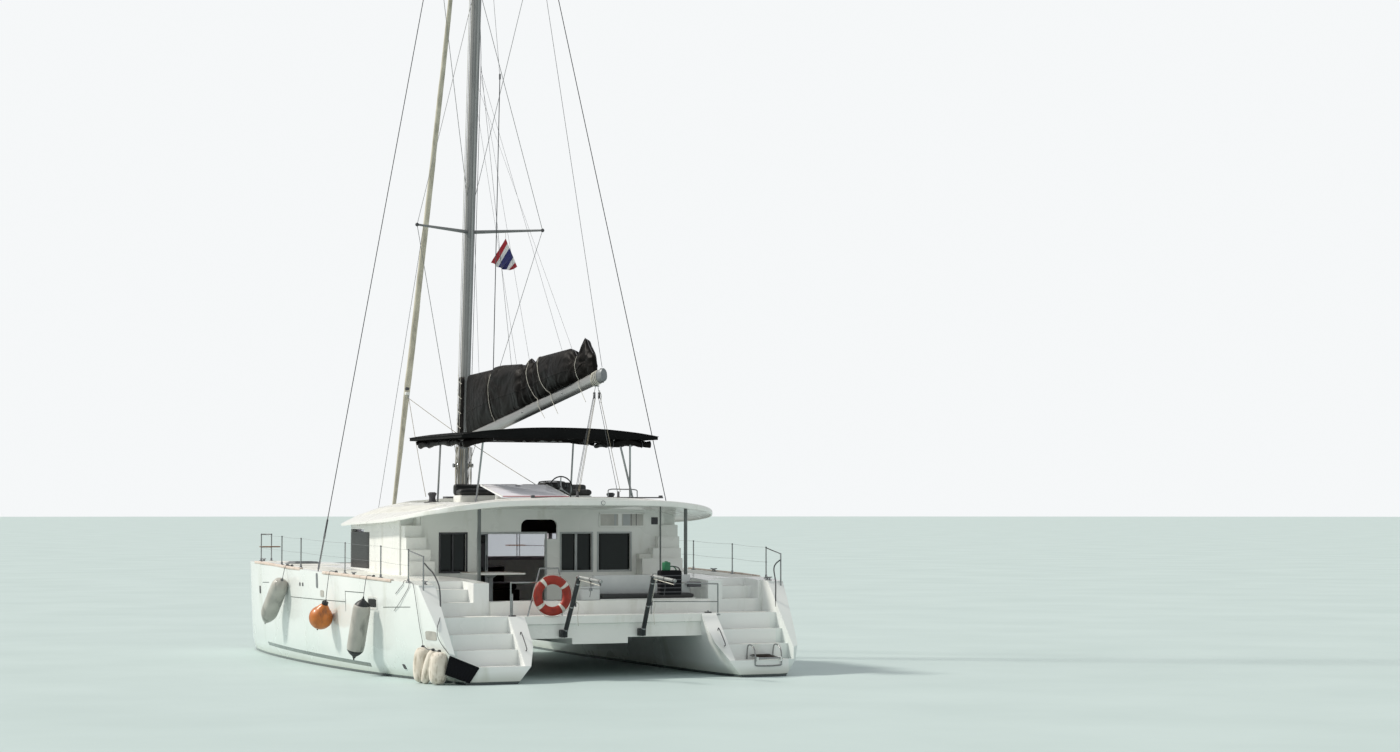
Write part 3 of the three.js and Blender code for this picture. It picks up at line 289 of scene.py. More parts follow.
@dataclass(frozen=True)
class Topsides(Finish):
    """Sprayed gelcoat of a hull, over a painted shadow band under its chine, a boot line at the waterline
    and antifouling, with a painted reflection of water on its outer sides.
    """

    bottom: str = "#262c33"
    boot: str = "#3a4444"
    painted_water_reflection: str = "#bcd3d0"
    chine_shadow: str = "#5d6966"
    weed: str = "#8d9477"
    paint_top: float = 0.012
    boot_top: float = 0.05
    chine_shadow_height: float = 0.217
    chine_shadow_slope: float = 0.0113
    chine_shadow_half: float = 0.038
    chine_shadow_middle: float = 0.25
    chine_shadow_reach: float = 3.55
    outer: float = 3.2

    def colour(self, tree: Tree, place: Socket, drift: Node) -> Socket:
        """The colour by height: bottom paint, boot line, weed stain, the painted shadow band under the
        chine, then clean gelcoat with a painted reflection of water on the outer sides.

        Args:
            tree: The material's node tree.
            place: Object coordinates.
            drift: The noise of the patches.

        Returns:
            The socket that gives the colour.
        """
        above = super().colour(tree, place, drift)
        x, y, z = add(tree, "SeparateXYZ", {"Vector": place}).outputs
        # Painted shadow under the chine's knuckle: a darker grey-green band that slopes along the outer
        # side.
        slope = add(tree, "Math", {0: y, 1: -self.chine_shadow_slope, 2: z}, operation="MULTIPLY_ADD")
        off = add(tree, "Math", {0: slope, 1: self.chine_shadow_height}, operation="SUBTRACT")
        fore = add(tree, "Math", {0: y, 1: self.chine_shadow_middle}, operation="SUBTRACT")
        near, far, wide = (add(tree, "Math", {0: value}, operation="ABSOLUTE") for value in (off, fore, x))
        band = add(tree, "Math", {0: near, 1: self.chine_shadow_half}, operation="LESS_THAN")
        reach = add(tree, "Math", {0: far, 1: self.chine_shadow_reach}, operation="LESS_THAN")
        side = add(tree, "Math", {0: wide, 1: self.outer}, operation="GREATER_THAN")
        # Painted reflection of water: the outer sides drift to pale blue-green towards the waterline.
        painted_water_reflection = add(tree, "MapRange", {"Value": z, "From Min": 1.5, "From Max": 0.1, "To Max": 0.4})
        outside = add(tree, "Math", {0: painted_water_reflection, 1: side}, operation="MULTIPLY")
        seen = mix(tree, outside, above, linear(self.painted_water_reflection))
        marked = add(tree, "Math", {0: band, 1: reach}, operation="MULTIPLY")
        chine_shadowed = add(tree, "Math", {0: marked, 1: side}, operation="MULTIPLY")
        seen = mix(tree, chine_shadowed, seen, linear(self.chine_shadow))
        ragged = add(tree, "Math", {0: drift, 1: 0.16, 2: z}, operation="MULTIPLY_ADD")
        weed = add(tree, "MapRange", {"Value": ragged, "From Min": 0.3, "From Max": 0.12, "To Max": 0.45})
        seen = mix(tree, weed, seen, linear(self.weed))
        for top, paint in ((self.boot_top, self.boot), (self.paint_top, self.bottom)):
            below = add(tree, "Math", {0: z, 1: top}, operation="LESS_THAN")
            seen = mix(tree, below, seen, linear(paint))
        return seen


@dataclass(frozen=True)
class Glazing(Finish):
    """Tinted acrylic or toughened glass, which shows its own dark colour and a reflection."""

    def fine(self, tree: Tree, place: Socket) -> Node:
        """The faint waviness of the pane, from 0 to 1."""
        return add(tree, "TexNoise", {"Vector": place, "Scale": 1.6, "Detail": 1.0})


@dataclass(frozen=True)
class Striped(Finish):
    """Sewn cloth in bands across its own length, which its UV map gives."""

    bands: tuple[str, ...] = ()

    def colour(self, tree: Tree, place: Socket, drift: Node) -> Socket:
        """The colour of each band, by the UV map's second axis.

        Args:
            tree: The material's node tree.
            place: Object coordinates.
            drift: The noise of the patches.

        Returns:
            The socket that gives the colour.
        """
        across = add(tree, "SeparateXYZ", {"Vector": add(tree, "UVMap", uv_map="along")}).outputs[1]
        seen: Socket | tuple = linear(self.bands[0])
        for index, band in enumerate(self.bands[1:], 1):
            past = add(tree, "Math", {0: across, 1: index / len(self.bands)}, operation="GREATER_THAN")
            seen = mix(tree, past, seen, linear(band))
        return self.dirtied(tree, place, seen)


# Sprayed and polished polyester gelcoat: a hard gloss that has gone a little dull, with faint rain streaks,
# and on the outer sides a painted shadow band under the chine and a painted reflection of water.
TOPSIDES = Topsides(
    "gelcoat_topsides", "#eef0ee", "#e3e8e5", 1.4, 0.24, 0.07, height=0.0002, grain=0.02, coat=0.35,
    stain="#c3c6b8", stained=0.12,
)
GELCOAT = Finish(
    "gelcoat_moulded", "#eff0ec", "#e6e8e3", 0.9, 0.28, 0.08, height=0.0002, grain=0.02, coat=0.3,
    stain="#c9c8bb", stained=0.1,
)
# Moulded diamond non-slip, drawn at 22 mm where the real one is 6 mm, so that it shows.
NONSKID = Finish(
    "gelcoat_nonskid", "#dfe0db", "#d2d4ce", 0.5, 0.62, 0.08, Relief.NONSKID, 0.022, 0.0012,
    stain="#b5b3a6", stained=0.22,
)
# The bottom of a moulded groove: flat grey, as no light reaches in.
SHADOW_LINE = Finish("moulded_groove", "#5d6461", "#4b524f", 0.3, 0.7, 0.1)
# Rolled bottom paint: dead matt, with weed on it.
ANTIFOUL = Finish(
    "antifouling_paint", "#262c33", "#34403f", 0.5, 0.85, 0.08, height=0.0008, stain="#46513f", stained=0.5
)
# Toughened glass and cast acrylic: dark, smooth and mirror-like; the acrylic is a little rougher.
GLASS = Glazing("tinted_glass", "#090c0e", "#0f1416", 1.2, 0.06, 0.02, height=0.0006, coat=0.1, gloss=0.25)
LENS = Glazing("tinted_acrylic", "#1a2226", "#222c30", 0.6, 0.1, 0.03, height=0.0004, coat=0.4)
# Anodised extrusions: a matt silver grey, with the die's lines along them.
MAST_ALLOY = Finish(
    "anodised_spar", "#8b8c8c", "#7c7e7f", 1.6, 0.48, 0.08, Relief.BRUSHED, 0.006, 0.0002, metallic=0.5,
    stain="#6d6e6c", stained=0.2,
)
BOOM_ALLOY = Finish(
    "anodised_boom", "#a9aaa9", "#989a9b", 1.2, 0.4, 0.08, Relief.BRUSHED, 0.006, 0.0002, metallic=0.7,
    stain="#77787a", stained=0.15,
)
# Sand-cast aluminium: a grainy grey with soft highlights.
CAST_ALLOY = Finish("cast_aluminium", "#8d9193", "#7c8083", 0.2, 0.5, 0.1, height=0.0005, metallic=0.6)
# Polished stainless tube: hard bright highlights, with tea stains. The strands of wire break them up.
STEEL = Finish(
    "polished_stainless", "#a0a2a3", "#8a8c8d", 0.4, 0.2, 0.08, Relief.BRUSHED, 0.003, 0.0001, metallic=1.0,
    stain="#8d7f6c", stained=0.08,
)
WIRE_ROPE = Finish(
    "stainless_wire", "#4a4d4f", "#3c3f41", 0.2, 0.45, 0.1, Relief.BRUSHED, 0.003, 0.0003, metallic=0.6
)
# Cast bronze: dull brown gold with green patches.
BRONZE = Finish("cast_bronze", "#8f7444", "#6d6a44", 0.1, 0.4, 0.12, height=0.0006, metallic=1.0)
# Woven acrylic cloth, dyed black: no highlight, only broad creases; over the bimini the weave shows.
BLACK_CANVAS = Finish(
    "black_canvas", "#060505", "#120f0d", 0.5, 0.5, 0.08, Relief.CREASED, 0.006, 0.06, gloss=0.12
)
ROOF_CANVAS = Finish(
    "bimini_canvas", "#0c0d0e", "#161718", 0.7, 0.8, 0.06, Relief.WEAVE, 0.006, 0.0006, sheen=0.03,
    gloss=0.12,
)
# Grained vinyl over foam: a soft broad highlight, greyed by salt.
BLACK_VINYL = Finish(
    "black_vinyl", "#18191a", "#242627", 0.3, 0.5, 0.1, height=0.0006, grain=0.006, coat=0.1,
    stain="#3b3b38", stained=0.15,
)
# The roll of sail under its woven sun strip: dirty cream, creased along the roll.
SAILCLOTH = Finish(
    "sun_strip_cloth", "#cbc5b4", "#b7b1a1", 0.35, 0.82, 0.06, Relief.CREASED, 0.006, 0.004, sheen=0.2,
    stain="#8b8779", stained=0.45,
)
# Braided polyester: matt, with the braid as a slanting relief. The net cord is too thin to show one.
WHITE_ROPE = Finish(
    "white_polyester_rope", "#cfcdc4", "#b9b6aa", 0.1, 0.85, 0.05, Relief.BRAID, 0.012, 0.0012, sheen=0.3,
    stain="#77746a", stained=0.3,
)
DARK_ROPE = Finish(
    "dark_polyester_rope", "#33363a", "#45494c", 0.1, 0.85, 0.05, Relief.BRAID, 0.012, 0.0012, sheen=0.3
)
NET_CORD = Finish(
    "knotless_net_cord", "#e2e1dc", "#cfcec8", 0.3, 0.85, 0.05, sheen=0.2, stain="#a5a398", stained=0.3
)
# Moulded rubber: black and nearly without highlight.
RUBBER = Finish(
    "moulded_rubber", "#07080c", "#101116", 0.2, 0.65, 0.1, height=0.0005, gloss=0.15, stain="#202220",
    stained=0.1,
)
# Moulded nylon and ABS: an even half-gloss.
PLASTIC = Finish("black_plastic", "#1a1c1d", "#26292b", 0.15, 0.42, 0.08, height=0.0004, grain=0.008)
WHITE_PLASTIC = Finish("white_plastic", "#e5e6e2", "#d6d8d3", 0.2, 0.4, 0.06)
# Painted foam, rough and faded, and its woven reflective tape.
BUOY_RED = Finish(
    "painted_foam", "#a02a16", "#862010", 0.12, 0.5, 0.08, height=0.0006, stain="#6b3a30", stained=0.2
)
BUOY_BAND = Finish(
    "reflective_tape", "#dad7cf", "#c9c6bc", 0.08, 0.45, 0.06, Relief.WEAVE, 0.008, 0.0004, stain="#9a968a",
    stained=0.3,
)
# Rotomoulded vinyl of the fenders: waxy, scuffed and stained.
ORANGE_VINYL = Finish(
    "orange_vinyl", "#c8742a", "#ab5f1f", 0.15, 0.42, 0.08, height=0.0004, coat=0.2, stain="#7a4a2a",
    stained=0.35,
)
GREY_VINYL = Finish(
    "grey_vinyl", "#b6b4ac", "#a4a29b", 0.3, 0.48, 0.08, height=0.0004, coat=0.15, stain="#6f716b",
    stained=0.28,
)
BLUE_VINYL = Finish("dark_end_vinyl", "#121619", "#1c2225", 0.1, 0.5, 0.08, height=0.0004)
# A weathered rub strip: pale brown and matt.
CAP_STRIP = Finish(
    "weathered_rub_strip", "#d6cabf", "#c6b4a6", 0.3, 0.6, 0.08, stain="#8f7c6c", stained=0.25
)
# Woven bunting in bands: matt, with its weave as a fine relief.
FLAG_CLOTH = Striped(
    "flag_bunting", "#a51f2d", "#a51f2d", 0.3, 0.85, 0.05, Relief.WEAVE, 0.006, 0.0006, sheen=0.3,
    bands=("#a51f2d", "#e6e5e4", "#2c2f6b", "#2c2f6b", "#e6e5e4", "#a51f2d"),
)
# The studio floor: an even pale green, half matt.
FLOOR = Finish("studio_floor", "#b9cac9", "#b3c4c3", 4.0, 0.55, 0.04, height=0.0001)
# Trim that has faded from red: pale pink and nearly matt.
PINK_TRIM = Finish("faded_red_trim", "#c98f93", "#b97d82", 0.2, 0.6, 0.1)
# Gelcoat moulded against a polished tool, smoother than the deck, whose extra whiteness and lavender tint
# are a painted highlight of sky light, and a duller one whose grey is painted shade.
POLISHED_PAINTED_LIGHT = Finish(
    "gelcoat_polished_painted_light", "#fafaff", "#f1f1fb", 0.7, 0.3, 0.03, coat=0.3, height=0.0001, grain=0.05
)
BENCH_PAINTED_SHADE = Finish("gelcoat_painted_shade", "#c6c9c8", "#b9bdbd", 0.5, 0.4, 0.08, stain="#9fa09b", stained=0.25)
# Powder-coated aluminium: grey with a satin highlight.
POST_GREY = Finish(
    "painted_alloy_post", "#6c716f", "#5d6261", 0.3, 0.42, 0.08, Relief.BRUSHED, 0.006, 0.0002, metallic=0.5
)
FRAME_GREY = Finish("painted_window_frame", "#b9bdbd", "#a9adae", 0.4, 0.45, 0.06)
# Oiled teak: brown with a drawn-out grain.
TEAK = Finish("oiled_teak", "#8a6240", "#6f4d30", 0.12, 0.6, 0.08, Relief.BRUSHED, 0.01, 0.0004)
# The darker moulded ends of a fender: mid grey with a half-gloss.
GREY_END = Finish("grey_end_vinyl", "#6f7373", "#626666", 0.1, 0.5, 0.08, height=0.0004)
# Knitted fleece over a fender: deep matt pile, dirty at the waterline.
FLEECE = Finish(
    "fender_fleece", "#e4ddd0", "#d3cabb", 0.12, 0.92, 0.04, height=0.003, grain=0.012, sheen=0.5,
    stain="#8b8169", stained=0.5,
)
# Dark painted steel of the davits and the bare weathered alloy of their arms.
DAVIT_PAINT = Finish("painted_davit", "#26292b", "#35393b", 0.2, 0.45, 0.1, height=0.0004, metallic=0.3)
ARM_GREY = Finish(
    "weathered_alloy", "#a5a8a7", "#8c908f", 0.2, 0.5, 0.1, height=0.0006, metallic=0.4, stain="#5e6261",
    stained=0.35,
)
# Moulded green nylon of a cap and a hose: an even half-gloss.
GREEN_PLASTIC = Finish("green_plastic", "#1f6a45", "#1a5a3c", 0.2, 0.45, 0.08)
# Old rope, bleached to tan: matt and dirty.
TAN_ROPE = Finish(
    "weathered_rope", "#8d8573", "#6f6858", 0.15, 0.88, 0.05, Relief.BRAID, 0.012, 0.0012, sheen=0.3,
    stain="#4d483c", stained=0.4,
)
# Lightly smoked glass of the cabin front, seen through from the cockpit.
CLEAR_GLASS = Glazing("smoked_clear_glass", "#e2dae4", "#d8d0da", 1.2, 0.04, 0.01, height=0.0004, clear=1.0)
# Vinyl of the sofa covers: dark brown with hardly a highlight.
BROWN_VINYL = Finish(
    "brown_vinyl", "#1d1411", "#281c16", 0.3, 0.55, 0.1, height=0.0006, grain=0.006, gloss=0.3
)
# A dark pane over the cabin side and in the hull ports: nearly black, with a weak reflection.
DARK_PANE = Glazing("dark_side_window", "#14100d", "#1c1713", 1.2, 0.2, 0.02, height=0.0004, gloss=0.1)
# Stained wood: nearly black, with a drawn-out grain.
DARK_WOOD = Finish(
    "dark_saloon_wood", "#2a1d16", "#1c130e", 0.12, 0.5, 0.08, Relief.BRUSHED, 0.01, 0.0003, gloss=0.3
)
# Frosted acrylic: a pale even grey.
FROSTED = Glazing("frosted_acrylic", "#c6c5bf", "#b2b1ab", 0.3, 0.3, 0.05, height=0.0004)


# ---- Surfaces ----


def unit(vectors: Array) -> Array:
    """The vectors at length 1."""
    return vectors / np.maximum(np.linalg.norm(vectors, axis=-1, keepdims=True), 1e-12)


def smooth_path(points: Sequence[Point], count: int) -> Array:
    """A smooth curve through a few points, at even steps.

    Formula: a Catmull-Rom curve through the points, sampled finely and then again at equal lengths.

    Args:
        points: The points that it passes through.
        count: How many points to return.

    Returns:
        The points, one row each.
    """
    knots = np.asarray(points, float)
    ends = np.vstack([2 * knots[0] - knots[1], knots, 2 * knots[-1] - knots[-2]])
    t = np.linspace(0, len(knots) - 1 - 1e-9, count * 8)
    i = t.astype(int)
    f = (t - i)[:, None]
    a, b, c, d = (ends[i + k] for k in range(4))
    fine = 0.5 * (2 * b + (c - a) * f + (2 * a - 5 * b + 4 * c - d) * f**2 + (3 * b - a - 3 * c + d) * f**3)
    along = np.concatenate([[0], np.cumsum(np.linalg.norm(np.diff(fine, axis=0), axis=1))])
    at = np.linspace(0, along[-1], count)
    return np.stack([np.interp(at, along, fine[:, k]) for k in range(fine.shape[1])], axis=1)


def straight(start: Point, end: Point, count: int = 2) -> Array:
    """Points at even steps on a straight line."""
    share = np.linspace(0, 1, count)[:, None]
    return np.asarray(start, float) * (1 - share) + np.asarray(end, float) * share


def circle(radius: float, sides: int) -> Array:
    """A closed ring of points in a plane, whose last point is its first."""
    turn = np.linspace(0, 2 * np.pi, sides + 1)
    return radius * np.stack([np.cos(turn), np.sin(turn)], axis=1)


def rounded_rectangle(width: float, depth: float, corner: float, steps: int = 4) -> Array:
    """The outline of a rectangle with round corners, centred, whose last point is its first.

    Formula: each corner is a quarter circle about a point set in by the corner's radius.

    Args:
        width: Its size along the first axis.
        depth: Its size along the second axis.
        corner: The radius of its corners.
        steps: The points in each corner.

    Returns:
        The outline's points.
    """
    corner = min(corner, width / 2, depth / 2)
    turn = np.linspace(0, np.pi / 2, steps)[None, :] + np.arange(4)[:, None] * np.pi / 2
    middle = np.array([[1, 1], [-1, 1], [-1, -1], [1, -1]]) * (np.array([width, depth]) / 2 - corner)
    ring = middle[:, None, :] + corner * np.stack([np.cos(turn), np.sin(turn)], axis=-1)
    return np.vstack([ring.reshape(-1, 2), ring[0, :1]])


def sweep(path: Array, profile: Array, up: Point = (0, 0, 1), scale: Array | float = 1.0) -> Array:
    """Carries a profile along a path.

    Formula: at each point of the path the profile stands in the plane across it, its first axis level
    with the path's side, its second towards up, both times the scale there.

    Args:
        path: The path's points.
        profile: The profile's points, in two axes, or one profile for each point of the path.
        up: The direction that the profile's second axis leans to.
        scale: The profile's size, the same all along or for each point.

    Returns:
        A grid of points, path by profile.
    """
    forward = unit(np.gradient(path, axis=0))
    side = unit(np.cross(forward, np.asarray(up, float)))
    rise = np.cross(side, forward)
    profiles = np.broadcast_to(profile, (len(path), *profile.shape[-2:]))
    sized = profiles * np.broadcast_to(np.asarray(scale, float), len(path))[:, None, None]
    return path[:, None] + sized[..., :1] * side[:, None] + sized[..., 1:] * rise[:, None]


def turned(profile: Sequence[Point], start: Point, end: Point, sides: int = 20) -> Array:
    """Turns a profile about the line between two points.

    Formula: every row of the profile is a radius and a share of the way from start to end, and
    becomes a circle of that radius at that place.

    Args:
        profile: Radius and share of the length, one row each.
        start: Where share 0 is.
        end: Where share 1 is.
        sides: The sides of each circle.

    Returns:
        A grid of points, profile by circle.
    """
    start, end = np.asarray(start, float), np.asarray(end, float)
    axis = unit(end - start)
    side = unit(np.cross(axis, (0, 0, 1) if abs(axis[2]) < 0.9 else (1, 0, 0)))
    rise = np.cross(side, axis)
    rows = np.asarray(profile, float)
    ring = circle(1, sides)
    flat = ring[:, :1] * side + ring[:, 1:] * rise
    centres = start + rows[:, 1:] * (end - start)
    return centres[:, None] + rows[:, :1, None] * flat[None]


def faces_of(name: str) -> tuple[Array, Array]:
    """Reads a CAD node's mesh.

    Args:
        name: The node.

    Returns:
        Its points, and for each of its triangles the numbers of three points.
    """
    mesh = FRAME["nodes"][name].data
    points = np.empty(len(mesh.vertices) * 3)
    mesh.vertices.foreach_get("co", points)
    mesh.calc_loop_triangles()
    corners = np.empty(len(mesh.loop_triangles) * 3, np.int32)
    mesh.loop_triangles.foreach_get("vertices", corners)
    return points.reshape(-1, 3), corners.reshape(-1, 3)


def rectangle(x0: float, x1: float, y0: float, y1: float) -> list[Point]:
    """The four corners of a rectangle, in order round it."""
    return [(x0, y0), (x1, y0), (x1, y1), (x0, y1)]


def flange(radius: float, neck: float, share: float = 0.6) -> list[Point]:
    """The profile of a foot: full radius up to a share of its height, then in to a neck."""
    return [(0, 0), (radius, 0), (radius, share), (neck, 1), (0, 1)]


def flat_loop(width: float, depth: float, corner: float, centre: Point, steps: int = 4) -> Array:
    """A level rectangle with round corners about a centre."""
    ring = rounded_rectangle(width, depth, corner, steps)
    return np.column_stack([ring, np.zeros(len(ring))]) + centre


def thicken(made: Piece, thickness: float) -> None:
    """Gives a sheet its thickness, half of it to each side."""
    thick = made.modifiers.new("thickness", "SOLIDIFY")
    thick.thickness, thick.offset = thickness, 0


class Shape:
    """Surfaces gathered into one piece, each with its own finish."""

    def __init__(self) -> None:
        """Starts with no surface."""
        self.points: list[Array] = []
        self.marks: list[Array] = []
        self.faces: list[list[int]] = []
        self.kinds: list[int] = []
        self.finishes: list[Finish] = []
        self.count = 0

    def put(self, points: Array, faces: list, finish: Finish, marks: Array | None = None) -> Shape:
        """Adds points and the faces between them.

        Args:
            points: The points, one row each.
            faces: For each face, the numbers of its points.
            finish: The faces' finish.
            marks: Each point's place on the surface, for its UV map.

        Returns:
            The shape itself.
        """
        if finish not in self.finishes:
            self.finishes.append(finish)
        self.points.append(np.asarray(points, float))
        self.marks.append(np.zeros((len(points), 2)) if marks is None else marks.reshape(-1, 2))
        self.faces += (np.asarray(faces) + self.count).tolist()
        self.kinds += [self.finishes.index(finish)] * len(faces)
        self.count += len(points)
        return self

    def grid(self, points: Array, finish: Finish, marks: Array | None = None) -> Shape:
        """Adds a surface given as a grid of points. A closed one repeats its first row at its end.

        Args:
            points: The points, by row, column and axis.
            finish: Its finish.
            marks: A UV pair for each point, or none.

        Returns:
            The shape itself.
        """
        u, v = points.shape[:2]
        at = np.arange(u * v).reshape(u, v)
        quads = np.stack([at[:-1, :-1], at[1:, :-1], at[1:, 1:], at[:-1, 1:]], axis=-1).reshape(-1, 4)
        return self.put(points.reshape(-1, 3), quads, finish, marks)

    def closed(self, points: Array, finish: Finish, marks: Array | None = None) -> Shape:
        """Adds a grid whose first and last rows are closed by a face each.

        Args:
            points: The points, by row, column and axis.
            finish: Its finish.
            marks: A UV pair for each point, or none.

        Returns:
            The shape itself.
        """
        self.grid(points, finish, marks)
        for row in (points[0], points[-1]):
            if np.ptp(row, axis=0).max() > 1e-5:
                self.put(row[:-1], [list(range(len(row) - 1))], finish)
        return self

    def tube(
        self, path: Array, radius: Array | float, finish: Finish, sides: int = 8,
        up: Point = (0.31, 0.17, 0.94),
    ) -> Shape:
        """Adds a round bar or rope along a path.

        Formula: a circle of the radius at each point of the path, in the plane across it.

        Args:
            path: The points down its middle.
            radius: Its radius, the same all along or for each point.
            finish: Its finish.
            sides: The sides of its circle.
            up: Any direction that the path never runs along.

        Returns:
            The shape itself.
        """
        path = np.asarray(path, float)
        rings = sweep(path, circle(1, sides), up, radius)
        along = np.concatenate([[0], np.cumsum(np.linalg.norm(np.diff(path, axis=0), axis=1))])
        round_it = np.linspace(0, 1, sides + 1) * 2 * np.pi * float(np.mean(radius))
        return self.closed(rings, finish, np.stack(np.meshgrid(along, round_it, indexing="ij"), axis=-1))

    def rod(self, start: Point, end: Point, radius: float, finish: Finish, sides: int = 10) -> Shape:
        """Adds a straight bar with slightly rounded ends.

        Args:
            start: The middle of one end.
            end: The middle of the other.
            radius: Its radius.
            finish: Its finish.
            sides: The sides of its circle.

        Returns:
            The shape itself.
        """
        long = float(np.linalg.norm(np.subtract(end, start)))
        soft = min(0.25 * radius, 0.2 * long) / long
        rows = [[0, 0], [radius * 0.75, 0], [radius, soft], [radius, 1 - soft], [radius * 0.75, 1], [0, 1]]
        return self.grid(turned(rows, start, end, sides), finish)

    def turn(
        self, rows: Sequence[Point], start: Point, end: Point, finish: Finish, sides: int = 20
    ) -> Shape:
        """Adds a profile turned about the line between two points."""
        return self.grid(turned(rows, start, end, sides), finish)

    def wire(
        self, start: Point, end: Point, radius: float, finish: Finish, sides: int, steps: int
    ) -> Shape:
        """Adds a straight taut wire or rope in even steps."""
        return self.tube(straight(start, end, steps), radius, finish, sides)

    def slab(
        self,
        centre: Point,
        size: Point,
        finish: Finish,
        corner: float = 0.02,
        edge: float = 0.006,
        axes: Array | None = None,
        crown: float = 0.0,
        steps: int = 3,
    ) -> Shape:
        """Adds a moulded block with round corners in plan and soft edges above and below.

        Formula: the plan's outline is repeated up the height, set in by edge * (1 - sin t) near the
        bottom and the top as t runs over a quarter turn; the top's middle is raised by crown.

        Args:
            centre: Its middle.
            size: Its size along its own three axes.
            finish: Its finish.
            corner: The radius of the corners in plan.
            edge: The radius of the soft edges.
            axes: Its three axes as rows, if it is turned.
            crown: How far the middle of its top stands above its edge.
            steps: The rings in each soft edge.

        Returns:
            The shape itself.
        """
        width, depth, tall = size
        edge = min(edge, width / 2.2, depth / 2.2, tall / 2.2)
        t = np.linspace(0, np.pi / 2, steps)
        inset = edge * np.concatenate([1 - np.sin(t), 1 - np.sin(t[::-1])])
        below = -tall / 2 + edge * (1 - np.cos(t))
        level = np.concatenate([below, -below[::-1]])
        sized = zip(width - 2 * inset, depth - 2 * inset, np.maximum(corner - inset, 1e-4), level)
        rings = np.stack([flat_loop(w, d, round_by, (0, 0, z)) for w, d, round_by, z in sized])
        if crown:
            shrink = np.linspace(1, 0, 6)[1:, None, None]
            cap = rings[-1:] * np.array([1, 1, 0]) * shrink
            cap[..., 2:] = level[-1] + crown * (1 - shrink**2)
            rings = np.concatenate([rings, cap])
        turned_to = np.eye(3) if axes is None else np.asarray(axes, float)
        return self.closed(rings @ turned_to + np.asarray(centre, float), finish)

    def panel(
        self, skin: Skin, corners: Sequence[Point], counts: tuple[int, int], rounding: float,
        rise: float = 0.003,
    ) -> Shape:
        """Lays a thin non-slip panel on a surface from above."""
        return self.grid(skin.patch(corners, rise, 2, 1, counts, rounding), NONSKID)

    def node(self, name: str, finish: Finish, choose: Sequence[tuple[Finish, Choice]] = ()) -> Shape:
        """Adds a copy of a CAD node's faces.

        Args:
            name: The node.
            finish: Its main finish.
            choose: Other finishes, each with the rule that says which faces it is on.

        Returns:
            The shape itself.
        """
        points, corners = faces_of(name)
        tri = points[corners]
        normals = unit(np.cross(tri[:, 1] - tri[:, 0], tri[:, 2] - tri[:, 0]))
        which = np.zeros(len(corners), int)
        for number, (_, rule) in enumerate(choose, 1):
            which[rule(tri.mean(axis=1), normals)] = number
        for number, kind in enumerate([finish, *(other for other, _ in choose)]):
            if (which == number).any():
                self.put(points, corners[which == number], kind)
        return self

    def piece(
        self,
        name: str,
        slot: str = "",
        replaces: str = "",
        angle: float = 38.0,
        body: str = "root",
        bevel: float = 0.0,
        flatten: bool = False,
        outward: bool = True,
    ) -> Piece:
        """Makes the piece.

        Args:
            name: Its name.
            slot: The record's material slot. It is not used.
            replaces: The CAD node that it stands for.
            angle: The angle in degrees past which an edge is sharp.
            body: The CAD body that it rides on, or none to leave it on no body.
            bevel: The width of a bevel on its sharp edges, or 0.
            flatten: Whether triangles in one plane become one face.
            outward: Whether its faces are turned outwards.

        Returns:
            The piece.
        """
        mesh = bpy.data.meshes.new(name)
        mesh.from_pydata(np.vstack(self.points).tolist(), [], self.faces)
        loops = np.empty(len(mesh.loops), np.int32)
        mesh.loops.foreach_get("vertex_index", loops)
        layer = mesh.uv_layers.new(name="along")
        layer.data.foreach_set("uv", np.vstack(self.marks)[loops].astype(np.float32).ravel())
        mesh.polygons.foreach_set("material_index", np.array(self.kinds, np.int32))
        for finish in self.finishes:
            mesh.materials.append(finish.material())
        work = bmesh.new()
        work.from_mesh(mesh)
        bmesh.ops.remove_doubles(work, verts=work.verts, dist=1e-5)
        bmesh.ops.dissolve_degenerate(work, edges=work.edges, dist=1e-6)
        if flatten:
            flat = math.radians(0.5)
            parts = {"verts": work.verts, "edges": work.edges}
            bmesh.ops.dissolve_limit(work, angle_limit=flat, delimit={"MATERIAL"}, **parts)
        loose = [v for v in work.verts if not v.link_faces]
        bmesh.ops.delete(work, geom=loose, context="VERTS")
        if outward:
            bmesh.ops.recalc_face_normals(work, faces=work.faces)
        work.to_mesh(mesh)
        work.free()
        mesh.shade_smooth()
        mesh.set_sharp_from_angle(angle=math.radians(angle))
        made = bpy.data.objects.new(name, mesh)
        bpy.context.scene.collection.objects.link(made)
        if bevel:
            soft = made.modifiers.new("soft_edges", "BEVEL")
            soft.width, soft.segments = bevel, 2
            soft.limit_method, soft.angle_limit = "ANGLE", math.radians(angle)
            soft.harden_normals = True
        if body:
            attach(made, body)
        if replaces:
            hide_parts(replaces)
        LOG.info("%s: %d faces on %s", name, len(mesh.polygons), body)
        return made


class Choice:
    """Rules that pick faces of a CAD node by where they are and where they face."""

    def __init__(self, up: float = -2.0, low: Point = (-99, -99, -99), high: Point = (99, 99, 99)) -> None:
        """Keeps the rule's limits.

        Args:
            up: The least upward share of a face's direction.
            low: The lowest corner of the box that the face's middle lies in.
            high: The highest corner of that box.
        """
        self.up, self.low, self.high = up, np.array(low), np.array(high)

    def __call__(self, middles: Array, normals: Array) -> Array:
        """Whether the rule picks each face."""
        inside = ((middles >= self.low) & (middles <= self.high)).all(axis=1)
        return inside & (normals[:, 2] >= self.up)


